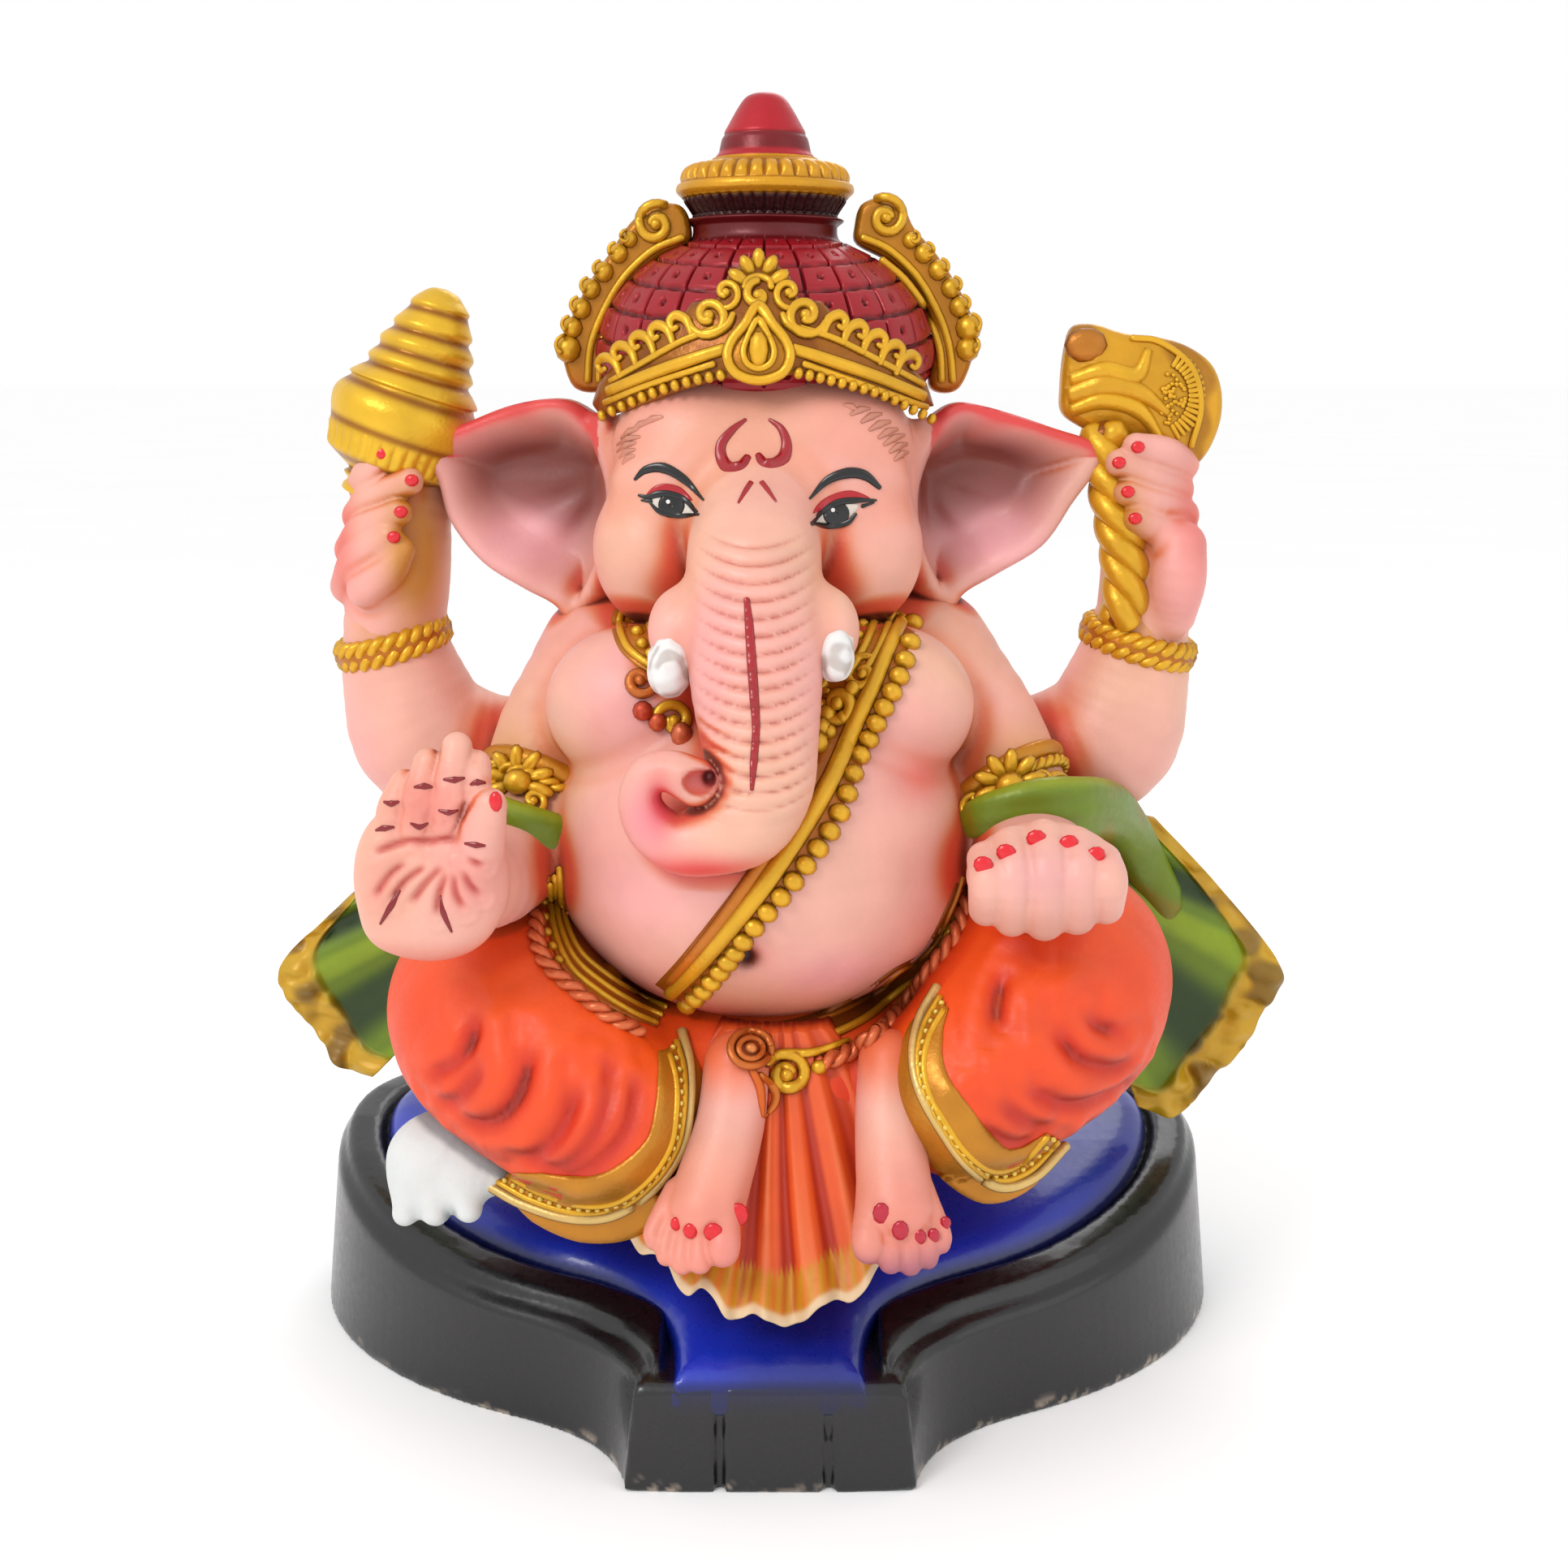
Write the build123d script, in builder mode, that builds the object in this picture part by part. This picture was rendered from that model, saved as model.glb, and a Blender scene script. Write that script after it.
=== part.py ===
from build123d import *
import os
from math import acos, cos, pi, sin

# Seated four-armed Ganesha idol in painted plaster, built as its separate castings and applied
# ornaments. Frame: millimetres, +Z up, -Y is the front, origin on the underside at the centre of
# the whole idol. "left" pieces lie on the -X side and "right" pieces on the +X side, as seen from
# the front.

os.makedirs("parts", exist_ok=True)

# ---------------------------------------------------------------- driving dimensions
PLINTH_HALF_WIDTH = 117.0
PLINTH_FRONT_REACH = 87.0
PLINTH_BACK_REACH = 65.0
PLINTH_CENTRE_Y = 20.0
PLINTH_WALL = 9.0
PLINTH_LEAN_IN = 6.0
NOSE_HALF_WIDTH = 30.0
NOSE_FRONT_Y = -85.0
NOSE_CORNER_R = 5.0
PLINTH_TOP = [(-95, 25), (-62, 26), (-34, 31), (0, 41), (32, 46), (95, 47)]
PLINTH_TALLEST = 60.0
SEAT_INSET = 10.0
SEAT_THICK = 8.0
SEAT_NOSE_HALF_WIDTH = 21.0
SEAT_NOSE_REACH = 1.5

BELLY = (-1.0, -28.0, 132.0)
BELLY_HALF_WIDTH, BELLY_R = 48.0, 42.0
CHEST = (0.0, -6.0, 165.0)
CHEST_HALF_WIDTH, CHEST_R = 44.0, 24.0
LEFT_BREAST, RIGHT_BREAST, BREAST_R = (-26.0, -30.0, 163.0), (23.0, -30.0, 163.0), 19.0
HIPS = (0.0, 14.0, 80.0)
HIPS_HALF_WIDTH, HIPS_R = 64.0, 37.0

HEAD = (0.0, 0.0, 208.0)
HEAD_DEPTH_R, HEAD_R = 41.0, 36.0
LEFT_CHEEK, RIGHT_CHEEK, CHEEK_R = (-22.0, -27.0, 193.0), (19.0, -27.0, 193.0), 13.0
TRUNK = [
    ((-1.0, -32.0, 206.0), 13.5),
    ((-2.0, -52.0, 190.0), 14.5),
    ((-1.5, -64.0, 173.0), 14.0),
    ((-1.0, -71.0, 157.0), 13.0),
    ((-7.5, -73.5, 146.5), 10.5),
    ((-16.5, -74.5, 144.5), 9.0),
    ((-24.0, -74.5, 150.5), 7.6),
    ((-22.0, -74.5, 158.5), 6.4),
    ((-15.5, -74.5, 161.0), 5.6),
]
TUSK_R = 4.6

CROWN_Y = 5.0
CROWN_BASE_Z = 230.0
NECK_Z = 269.0
COLLAR_TOP_Z = 285.0
TOTAL_HEIGHT = 300.0

JOINT_SWELL = 1.03
BAND_THICK = 3.2
BAND_CLEARANCE = 1.0
BORDER_WIDTH = 13.0
BRACELET_WIDTH = 7.0
ARMLET_WIDTH = 9.0
ARMLET_PLACE = 0.72
WAISTBAND_WIDTH = 7.0
THREAD_WIDTH = 10.0
BEAD_R = 2.4
CLASP_R, CLASP_THICK = 5.0, 6.0

EAR_FRONT_Y, EAR_BACK_Y = -12.0, -3.0
FRAME_FRONT_Y, FRAME_BACK_Y = -3.0, 9.0
AXE_FRONT_Y, AXE_BACK_Y = -9.0, 3.0
PALM_FRONT_Y, PALM_BACK_Y = -80.0, -66.0
SHAWL_FRONT_Y, SHAWL_BACK_Y = -4.0, 12.0
SHAWL_BAND_BOTTOM, SHAWL_BAND_TOP = 118.0, 140.0


# ---------------------------------------------------------------- shapes used by many pieces
def limb(start, end, start_radius, end_radius):
    """A round tapered limb with a ball at each end, added to the piece being built."""
    start, end = Vector(start), Vector(end)
    along = end - start
    length = along.length
    lean = acos((start_radius - end_radius) / length)
    with BuildSketch(Plane(origin=start, x_dir=along, z_dir=square_to(along))) as profile:
        with BuildLine():
            first = (start_radius * cos(lean), start_radius * sin(lean))
            last = (length + end_radius * cos(lean), end_radius * sin(lean))
            middle = (pi + lean) / 2
            ThreePointArc(
                (-start_radius, 0), (start_radius * cos(middle), start_radius * sin(middle)), first
            )
            Line(first, last)
            middle = lean / 2
            ThreePointArc(
                last,
                (length + end_radius * cos(middle), end_radius * sin(middle)),
                (length + end_radius, 0),
            )
            Line((length + end_radius, 0), (-start_radius, 0))
        make_face()
    revolve(profile.sketch, axis=Axis(start, along))


def square_to(direction):
    """Any direction at right angles to this one."""
    helper = Vector(0, 1, 0) if abs(direction.normalized().Y) < 0.9 else Vector(1, 0, 0)
    return direction.cross(helper)


def chain(stations):
    """Limbs joined end to end through (point, radius) stations."""
    for (start, start_radius), (end, end_radius) in zip(stations, stations[1:]):
        limb(start, end, start_radius * JOINT_SWELL, end_radius)


def pill(centre, axis, half_length, radius):
    """A round-ended pill centred here, half_length from its middle to either tip."""
    centre, axis = Vector(*centre), Vector(*axis).normalized()
    reach = axis * (half_length - radius)
    limb(centre - reach, centre + reach, radius, radius)


def ball(centre, radius):
    with Locations(centre):
        Sphere(radius)


def band_round(start, end, share, radius, width):
    """A straight round band about the line from start to end, centred at that share of it."""
    start, end = Vector(*start), Vector(*end)
    along = end - start
    with Locations(Plane(origin=start + along * share, z_dir=along)):
        Cylinder(radius, width)


def cut_away(*pieces):
    """Removes the space that other pieces already fill, so that the castings meet face to face."""
    for piece in pieces:
        add(piece.part, mode=Mode.SUBTRACT)


def front_prism(outline, y_front, y_back, mode=Mode.INTERSECT):
    """A closed outline of (x, z) points, run from y_front to y_back."""
    with BuildSketch(Plane.XZ.offset(-y_back)) as face:
        with BuildLine():
            Polyline(*outline, close=True)
        make_face()
    extrude(face.sketch, amount=y_back - y_front, mode=mode)


def front_ribbon(path, width, y_front, y_back, mode=Mode.INTERSECT):
    """A ribbon of this width along (x, z) points, run from y_front to y_back."""
    with BuildSketch(Plane.XZ.offset(-y_back)) as face:
        with BuildLine() as line:
            Spline(*path)
        trace(line.line, line_width=width)
    extrude(face.sketch, amount=y_back - y_front, mode=mode)


def crown_turned(points):
    """A turned piece on the crown's upright axis, from (radius, height) points."""
    with BuildSketch(Plane.XZ.offset(-CROWN_Y)) as face:
        with BuildLine():
            Polyline(*points, close=True)
        make_face()
    revolve(face.sketch, axis=Axis((0, CROWN_Y, 0), (0, 0, 1)))


def mirrored(point):
    return (-point[0], point[1], point[2])


def plinth_plan(inset, height=0.0):
    """The plinth's plan: two half ellipses and the square nose, drawn in by inset."""
    with BuildSketch(Plane.XY.offset(height)) as plan:
        with BuildLine():
            half = PLINTH_HALF_WIDTH - inset
            middle = (0, PLINTH_CENTRE_Y)
            EllipticalCenterArc(middle, half, PLINTH_BACK_REACH - inset, arc_size=180)
            EllipticalCenterArc(middle, half, PLINTH_FRONT_REACH - inset, 180, arc_size=180)
        make_face()
        with Locations((0, (NOSE_FRONT_Y + inset) / 2)):
            Rectangle(2 * (NOSE_HALF_WIDTH - inset), -NOSE_FRONT_Y - inset)
        corners = plan.vertices().group_by(Axis.Y)[0]
        fillet(corners, min(NOSE_CORNER_R, NOSE_HALF_WIDTH - inset - 1))
    return plan.sketch


def plinth_block(inset):
    """The plan run upwards, leaning in towards the top."""
    loft([plinth_plan(inset), plinth_plan(inset + PLINTH_LEAN_IN, PLINTH_TALLEST)], ruled=True)


def under_top(drop, mode=Mode.INTERSECT):
    """Keeps what lies under the plinth's swept top, lowered by drop."""
    with BuildSketch(Plane.YZ.offset(-2 * PLINTH_HALF_WIDTH)) as side:
        with BuildLine():
            top = Spline(*[(y, z - drop) for y, z in PLINTH_TOP])
            Polyline(top @ 1, (PLINTH_TOP[-1][0], -1), (PLINTH_TOP[0][0], -1), top @ 0)
        make_face()
    extrude(side.sketch, amount=4 * PLINTH_HALF_WIDTH, mode=mode)


finished = []


def finish(piece, name):
    piece.part.label = name
    export_step(piece.part, f"parts/{name}.step")
    finished.append(name)


# ---------------------------------------------------------------- plinth and seat
with BuildPart() as plinth:
    plinth_block(0.0)
    under_top(0.0)

with BuildPart() as cavity:
    plinth_block(PLINTH_WALL)
    under_top(PLINTH_WALL)

with BuildPart() as plinth_shell:
    add(plinth.part)
    add(cavity.part, mode=Mode.SUBTRACT)
finish(plinth_shell, "plinth_shell")

SEAT_DRAWN_IN = SEAT_INSET + 5.0
with BuildPart() as seat_cushion:
    extrude(plinth_plan(SEAT_DRAWN_IN), amount=PLINTH_TALLEST)
    with Locations((0, (NOSE_FRONT_Y + SEAT_NOSE_REACH) / 2 - 5, PLINTH_TALLEST / 2)):
        Box(2 * SEAT_NOSE_HALF_WIDTH, -NOSE_FRONT_Y - SEAT_NOSE_REACH - 10, PLINTH_TALLEST)
    under_top(-SEAT_THICK)
    add(plinth.part, mode=Mode.SUBTRACT)
finish(seat_cushion, "seat_cushion")

# ---------------------------------------------------------------- torso and lap
def body_form(swell):
    """The belly, chest and breasts, all grown outwards by swell."""
    pill(BELLY, (1, 0, 0), BELLY_HALF_WIDTH + swell, BELLY_R + swell)
    pill(CHEST, (1, 0, 0), CHEST_HALF_WIDTH + swell, CHEST_R + swell)
    ball(LEFT_BREAST, BREAST_R + swell)
    ball(RIGHT_BREAST, BREAST_R + swell)


with BuildPart() as torso:
    body_form(0.0)
finish(torso, "torso")

# The thin layer round the torso from which the ornaments lying on it are cut.
with BuildPart() as torso_layer:
    body_form(BAND_THICK)
    add(torso.part, mode=Mode.SUBTRACT)

with BuildPart() as hips:
    pill(HIPS, (1, 0, 0), HIPS_HALF_WIDTH, HIPS_R)
    cut_away(plinth, seat_cushion, torso)
finish(hips, "hips_wrap")

LEFT_HIP, LEFT_KNEE, LEFT_ANKLE = (-36.0, 6.0, 84.0), (-60.0, -28.0, 92.0), (-27.0, -54.0, 76.0)
RIGHT_HIP, RIGHT_KNEE, RIGHT_ANKLE = (38.0, 6.0, 86.0), (65.0, -28.0, 96.0), (44.0, -52.0, 80.0)
HIP_R, KNEE_R, ANKLE_R = 29.0, 29.0, 19.0


def leg(hip, knee, ankle, others):
    with BuildPart() as made:
        chain([(hip, HIP_R), (knee, KNEE_R), (ankle, ANKLE_R)])
        cut_away(plinth, seat_cushion, torso, hips, *others)
    return made


left_leg = leg(LEFT_HIP, LEFT_KNEE, LEFT_ANKLE, [])
finish(left_leg, "left_leg")
right_leg = leg(RIGHT_HIP, RIGHT_KNEE, RIGHT_ANKLE, [left_leg])
finish(right_leg, "right_leg")
LAP = [plinth, seat_cushion, torso, hips, left_leg, right_leg]


# ---------------------------------------------------------------- feet, pleats, borders
def foot(ankle, ball_of_foot, toe_row):
    """A bare foot sloping down the pleats, with five toes; toe_row is each toe's tip and radius."""
    with BuildPart() as made:
        limb(ankle, ball_of_foot, 9.5, 9.0)
        for tip, radius in toe_row:
            root = (Vector(*ball_of_foot) + Vector(*tip)) * 0.5
            limb((root.X, root.Y, root.Z), tip, radius + 1.5, radius)
        cut_away(*LAP)
    return made


LEFT_TOES = [
    ((-6.0, -80.0, 55.0), 4.2),
    ((-11.0, -81.0, 51.5), 3.0),
    ((-15.5, -80.5, 52.0), 2.8),
    ((-19.0, -79.0, 53.0), 2.6),
    ((-22.0, -77.0, 55.0), 2.4),
]
RIGHT_TOES = [
    ((24.5, -80.0, 55.5), 4.2),
    ((28.5, -81.0, 51.5), 3.0),
    ((32.5, -80.5, 50.5), 2.8),
    ((36.0, -79.5, 51.0), 2.6),
    ((39.0, -77.0, 53.5), 2.4),
]
left_foot = foot((-8.0, -58.0, 86.0), (-12.0, -74.0, 61.0), LEFT_TOES)
finish(left_foot, "left_foot")
right_foot = foot((28.0, -57.0, 86.0), (29.5, -74.0, 61.0), RIGHT_TOES)
finish(right_foot, "right_foot")

PLEAT_LEAN = Plane(origin=(3.0, -62.0, 64.0), x_dir=(1, 0, 0), z_dir=(0, -0.9, 0.43))
PLEAT_OUTLINE = [(-12, 30), (12, 30), (25, 5), (37, -12), (18, -24), (0, -29), (-18, -23), (-33, -9)]
PLEAT_THICK = 14.0
with BuildPart() as pleats:
    with BuildSketch(PLEAT_LEAN) as panel:
        with BuildLine():
            Polyline(*PLEAT_OUTLINE, close=True)
        make_face()
    extrude(panel.sketch, amount=-PLEAT_THICK)
    cut_away(*LAP, left_foot, right_foot)
finish(pleats, "dhoti_pleats")
LOWER = LAP + [left_foot, right_foot, pleats]


def ankle_border(knee, ankle):
    with BuildPart() as made:
        band_round(knee, ankle, 1.0, ANKLE_R + BAND_THICK, BORDER_WIDTH)
        cut_away(*LOWER)
    return made


left_border = ankle_border(LEFT_KNEE, LEFT_ANKLE)
finish(left_border, "left_ankle_border")
right_border = ankle_border(RIGHT_KNEE, RIGHT_ANKLE)
finish(right_border, "right_ankle_border")
LOWER += [left_border, right_border]

# ---------------------------------------------------------------- head, trunk, tusks, ears
with BuildPart() as head:
    pill(HEAD, (0, 1, 0), HEAD_DEPTH_R, HEAD_R)
    ball(LEFT_CHEEK, CHEEK_R)
    ball(RIGHT_CHEEK, CHEEK_R)
    cut_away(torso)
finish(head, "head")

with BuildPart() as trunk:
    chain(TRUNK)
    cut_away(torso, head)
finish(trunk, "trunk")


def tusk(root, tip):
    with BuildPart() as made:
        limb(root, tip, TUSK_R - 0.5, TUSK_R)
        cut_away(torso, head, trunk)
    return made


left_tusk = tusk((-16.5, -48.0, 183.0), (-19.5, -64.0, 176.5))
finish(left_tusk, "left_tusk")
right_tusk = tusk((12.0, -48.0, 185.0), (14.5, -63.0, 179.5))
finish(right_tusk, "right_tusk")

EAR_OUTLINE = [
    (-30, 226), (-38, 229), (-46, 231), (-57, 230), (-68, 226), (-79, 221), (-76, 212), (-73, 203),
    (-66, 194), (-56, 188), (-49, 183), (-44.5, 176), (-35, 184), (-28, 192), (-26, 208),
]


def ear(outline):
    with BuildPart() as made:
        front_prism(outline, EAR_FRONT_Y, EAR_BACK_Y, Mode.ADD)
        cut_away(torso, head, trunk)
    return made


left_ear = ear(EAR_OUTLINE)
finish(left_ear, "left_ear")
right_ear = ear([(-x, z) for x, z in EAR_OUTLINE])
finish(right_ear, "right_ear")
FACE = [torso, head, trunk, left_tusk, right_tusk, left_ear, right_ear]

# ---------------------------------------------------------------- crown
DOME = [
    (0, CROWN_BASE_Z), (37, CROWN_BASE_Z), (39.3, 237), (39.3, 243), (37.5, 250), (33, 257),
    (26.5, 263), (19, 267), (17, NECK_Z), (0, NECK_Z),
]
with BuildPart() as crown_dome:
    crown_turned(DOME)
    cut_away(head, left_ear, right_ear)
finish(crown_dome, "crown_dome")

COLLAR = [
    (0, NECK_Z), (17, NECK_Z), (17, 272), (19, 275.5), (20, 277.5), (19.6, 279.5), (17, 282),
    (15, 284), (11, COLLAR_TOP_Z), (0, COLLAR_TOP_Z),
]
with BuildPart() as crown_collar:
    crown_turned(COLLAR)
finish(crown_collar, "crown_collar")

FINIAL = [
    (0, COLLAR_TOP_Z), (10.6, COLLAR_TOP_Z), (10.2, 289), (9.2, 291.8), (8.4, 293.5), (6.2, 297),
    (4.0, 299.2), (1.5, TOTAL_HEIGHT), (0, TOTAL_HEIGHT),
]
with BuildPart() as crown_finial:
    crown_turned(FINIAL)
finish(crown_finial, "crown_finial")

TIARA_SHELL = [
    (34, 226), (43, 226), (45, 238), (43, 248), (36, 259), (31, 264), (26, 262), (33, 252), (37, 244),
]
TIARA_OUTLINE = [
    (-39, 228), (-24, 231), (-12, 234), (-5, 231), (5, 231), (12, 234), (26, 231), (40, 228),
    (37, 236), (21, 244), (11, 250), (6, 258), (0, 263), (-6, 258), (-11, 250), (-22, 244), (-37, 236),
]
with BuildPart() as crown_tiara:
    crown_turned(TIARA_SHELL)
    front_prism(TIARA_OUTLINE, -60.0, 0.0)
    cut_away(head, crown_dome, left_ear, right_ear)
finish(crown_tiara, "crown_tiara")

FRAME_OUTLINE = [
    (-46, 230), (-49.5, 245), (-44, 258), (-37.5, 266), (-31.5, 273), (-24, 276.5), (-18, 274.5),
    (-17, 269), (-29, 263), (-36, 253), (-39, 243), (-38, 231),
]


def crown_frame(outline):
    with BuildPart() as made:
        front_prism(outline, FRAME_FRONT_Y, FRAME_BACK_Y, Mode.ADD)
        cut_away(head, left_ear, right_ear, crown_dome, crown_collar, crown_tiara)
    return made


left_frame = crown_frame(FRAME_OUTLINE)
finish(left_frame, "left_crown_frame")
right_frame = crown_frame([(-x, z) for x, z in FRAME_OUTLINE])
finish(right_frame, "right_crown_frame")

# ---------------------------------------------------------------- arms and hands
SHOULDER_R, ELBOW_R, WRIST_R = 17.5, 14.0, 10.5
REAR_SHOULDER, REAR_ELBOW, REAR_WRIST = (-40.0, 6.0, 158.0), (-82.5, 1.0, 149.0), (-89.5, -1.0, 174.0)
REAR_SHOULDER_R, REAR_ELBOW_R, REAR_WRIST_R = 17.0, 17.5, 11.5

FRONT_SHOULDER, FRONT_ELBOW = (-39.0, -8.0, 167.0), (-55.0, -28.0, 134.0)
LEFT_WRIST = (-65.0, -62.0, 127.0)
RIGHT_ELBOW, RIGHT_WRIST = (61.0, -28.0, 134.0), (60.0, -58.0, 131.0)


def front_arm(shoulder, elbow, wrist):
    with BuildPart() as made:
        chain([(shoulder, SHOULDER_R), (elbow, ELBOW_R), (wrist, WRIST_R)])
        cut_away(*FACE, *LAP)
    return made


left_arm = front_arm(FRONT_SHOULDER, FRONT_ELBOW, LEFT_WRIST)
finish(left_arm, "left_front_arm")
right_arm = front_arm(mirrored(FRONT_SHOULDER), RIGHT_ELBOW, RIGHT_WRIST)
finish(right_arm, "right_front_arm")


def rear_arm(shoulder, elbow, wrist, front):
    with BuildPart() as made:
        chain([(shoulder, REAR_SHOULDER_R), (elbow, REAR_ELBOW_R), (wrist, REAR_WRIST_R)])
        cut_away(*FACE, front)
    return made


left_rear_arm = rear_arm(REAR_SHOULDER, REAR_ELBOW, REAR_WRIST, left_arm)
finish(left_rear_arm, "left_rear_arm")
right_rear_arm = rear_arm(
    mirrored(REAR_SHOULDER), mirrored(REAR_ELBOW), mirrored(REAR_WRIST), right_arm
)
finish(right_rear_arm, "right_rear_arm")

CONCH_FOOT, CONCH_AXIS = (-91.5, -2.0, 209.0), (17, 0, 46)
CONCH_ACROSS = (CONCH_AXIS[2], 0, -CONCH_AXIS[0])
with BuildPart() as conch:
    with BuildSketch(Plane(origin=CONCH_FOOT, x_dir=CONCH_ACROSS, z_dir=(0, -1, 0))) as turned:
        with BuildLine():
            Polyline(
                (0, 0), (6, 0), (11, 5), (15.5, 10), (17.3, 16), (16.5, 22), (13, 26), (11.6, 30),
                (11, 36), (9.6, 42), (7.4, 48), (3.6, 51.5), (0, 52), close=True,
            )
        make_face()
    revolve(turned.sketch, axis=Axis(CONCH_FOOT, CONCH_AXIS))
    cut_away(left_ear)
finish(conch, "conch")

FINGER_R = 3.6


def rear_hand(palm_centre, finger_ends, wrist, others):
    """A hand gripping upwards, with its four fingers lying across the front."""
    with BuildPart() as made:
        pill(palm_centre, (0, 0, 1), 22.0, 12.0)
        for root, tip in finger_ends:
            limb(root, tip, FINGER_R + 0.5, FINGER_R)
        cut_away(wrist, *others)
    return made


LEFT_FINGERS = [((-97, -7, 188 + 7.5 * i), (-84 - i, -14, 197 + 7.0 * i)) for i in range(4)]
left_rear_hand = rear_hand((-87.5, -2.0, 194.0), LEFT_FINGERS, left_rear_arm, [left_ear, conch])
finish(left_rear_hand, "left_rear_hand")

AXE_OUTLINE = [
    (71, 247.5), (68.5, 237), (68.5, 227), (76, 222), (84, 219), (92, 213), (98, 213), (104, 220),
    (106.5, 229), (105, 238), (97, 243.5), (84, 246), (77, 247),
]
with BuildPart() as axe_head:
    front_prism(AXE_OUTLINE, AXE_FRONT_Y, AXE_BACK_Y, Mode.ADD)
    cut_away(right_ear)

RIGHT_FINGERS = [((97, -7, 189 + 7.5 * i), (86 - i, -15, 196 + 7.0 * i)) for i in range(4)]
right_rear_hand = rear_hand((89.5, -2.0, 194.0), RIGHT_FINGERS, right_rear_arm, [right_ear, axe_head])
finish(right_rear_hand, "right_rear_hand")
finish(axe_head, "axe_head")

with BuildPart() as axe_grip:
    limb((78.0, -8.0, 219.0), (84.0, -10.0, 183.0), 5.5, 6.0)
    cut_away(axe_head, right_rear_hand, right_ear, right_rear_arm)
finish(axe_grip, "axe_grip")


def bracelet(elbow, wrist, others):
    with BuildPart() as made:
        band_round(elbow, wrist, 1.0, REAR_WRIST_R + BAND_THICK, BRACELET_WIDTH)
        cut_away(*others)
    return made


left_bracelet = bracelet(REAR_ELBOW, REAR_WRIST, [left_rear_arm, left_rear_hand])
finish(left_bracelet, "left_bracelet")
right_bracelet = bracelet(
    mirrored(REAR_ELBOW), mirrored(REAR_WRIST), [right_rear_arm, right_rear_hand, axe_grip]
)
finish(right_bracelet, "right_bracelet")

# The raised palm of blessing.
PALM_OUTLINE = [
    (-79, 124), (-82.5, 135), (-81, 146), (-76, 150), (-56, 150), (-52.5, 140), (-54, 129), (-61, 121),
    (-70, 119),
]
BLESSING_FINGERS = [
    ((-77.0, -74.0, 146.0), (-75.0, -75.0, 153.0), 3.4),
    ((-71.0, -74.0, 147.0), (-68.8, -76.0, 158.0), 3.7),
    ((-64.5, -74.0, 147.0), (-62.8, -76.5, 161.5), 3.8),
    ((-58.0, -74.0, 146.0), (-57.5, -76.0, 157.0), 3.7),
    ((-57.5, -76.0, 134.0), (-54.5, -80.0, 149.0), 4.4),
]
with BuildPart() as blessing_hand:
    front_prism(PALM_OUTLINE, PALM_FRONT_Y, PALM_BACK_Y, Mode.ADD)
    for root, tip, radius in BLESSING_FINGERS:
        limb(root, tip, radius + 0.6, radius)
    cut_away(*LAP, left_arm)
finish(blessing_hand, "blessing_hand")

# The open hand of offering, seen from its curled finger tips.
OFFERING_FINGERS = [(46.5, 3.6), (52.5, 3.9), (59.5, 4.1), (66.5, 3.9), (72.5, 3.5)]
with BuildPart() as offering_hand:
    pill((59.5, -66.0, 132.0), (1, 0, 0), 17.0, 10.5)
    for x, radius in OFFERING_FINGERS:
        limb((x, -74.0, 128.0), (x, -73.0, 140.0), radius + 0.4, radius)
    cut_away(*LAP, right_arm)
finish(offering_hand, "offering_hand")

# ---------------------------------------------------------------- applied ornaments
NECKLACE_OUTLINE = [
    (-38, 192), (-35, 178), (-24, 164), (-12, 155), (14, 155), (24, 164), (36, 180), (38, 192),
]
with BuildPart() as necklace:
    add(torso_layer.part)
    front_prism(NECKLACE_OUTLINE, -70.0, 0.0)
    cut_away(head, trunk, left_tusk, right_tusk, left_ear, right_ear, left_arm, right_arm)
finish(necklace, "necklace")

BELT_PATH = [(-38, 106), (-30, 100), (-16, 95.5), (1.5, 94), (20, 98), (31, 104)]
with BuildPart() as waistband:
    add(torso_layer.part)
    front_ribbon(BELT_PATH, WAISTBAND_WIDTH, -80.0, -32.0)
    cut_away(trunk, left_arm, right_arm, *LOWER)
finish(waistband, "waistband")

THREAD_PATH = [(33, 186), (28.7, 171), (20.4, 153.5), (12, 138), (1.5, 125), (-10.5, 112.5), (-20, 101)]
with BuildPart() as thread:
    add(torso_layer.part)
    front_ribbon(THREAD_PATH, THREAD_WIDTH, -90.0, -18.0)
    cut_away(trunk, head, necklace, waistband, right_arm, right_ear, *LOWER)
finish(thread, "sacred_thread")

BELT_CHAIN = [
    (-52, -48, 118), (-42, -58, 105), (-28, -63, 96), (-12, -65, 91), (6, -66, 89.5), (22, -64, 93),
    (38, -59, 103), (49, -50, 116),
]
with BuildPart() as belt_chain:
    chain([(point, BEAD_R) for point in BELT_CHAIN])
    cut_away(*LOWER, thread, waistband, left_arm, right_arm)
finish(belt_chain, "belt_chain")

with BuildPart() as belt_clasp:
    with Locations(Plane(origin=(-2.0, -67.5, 91.0), z_dir=(0, -1, 0.3))):
        Cylinder(CLASP_R, CLASP_THICK)
    cut_away(*LOWER, thread, waistband, belt_chain)
finish(belt_clasp, "belt_clasp")


def armlet(shoulder, elbow, others):
    with BuildPart() as made:
        band_round(shoulder, elbow, ARMLET_PLACE, ELBOW_R + BAND_THICK + BAND_CLEARANCE, ARMLET_WIDTH)
        cut_away(*others)
    return made


left_armlet = armlet(FRONT_SHOULDER, FRONT_ELBOW, [left_arm, left_rear_arm, torso])
finish(left_armlet, "left_armlet")
right_armlet = armlet(mirrored(FRONT_SHOULDER), RIGHT_ELBOW, [right_arm, right_rear_arm, torso])
finish(right_armlet, "right_armlet")

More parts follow.
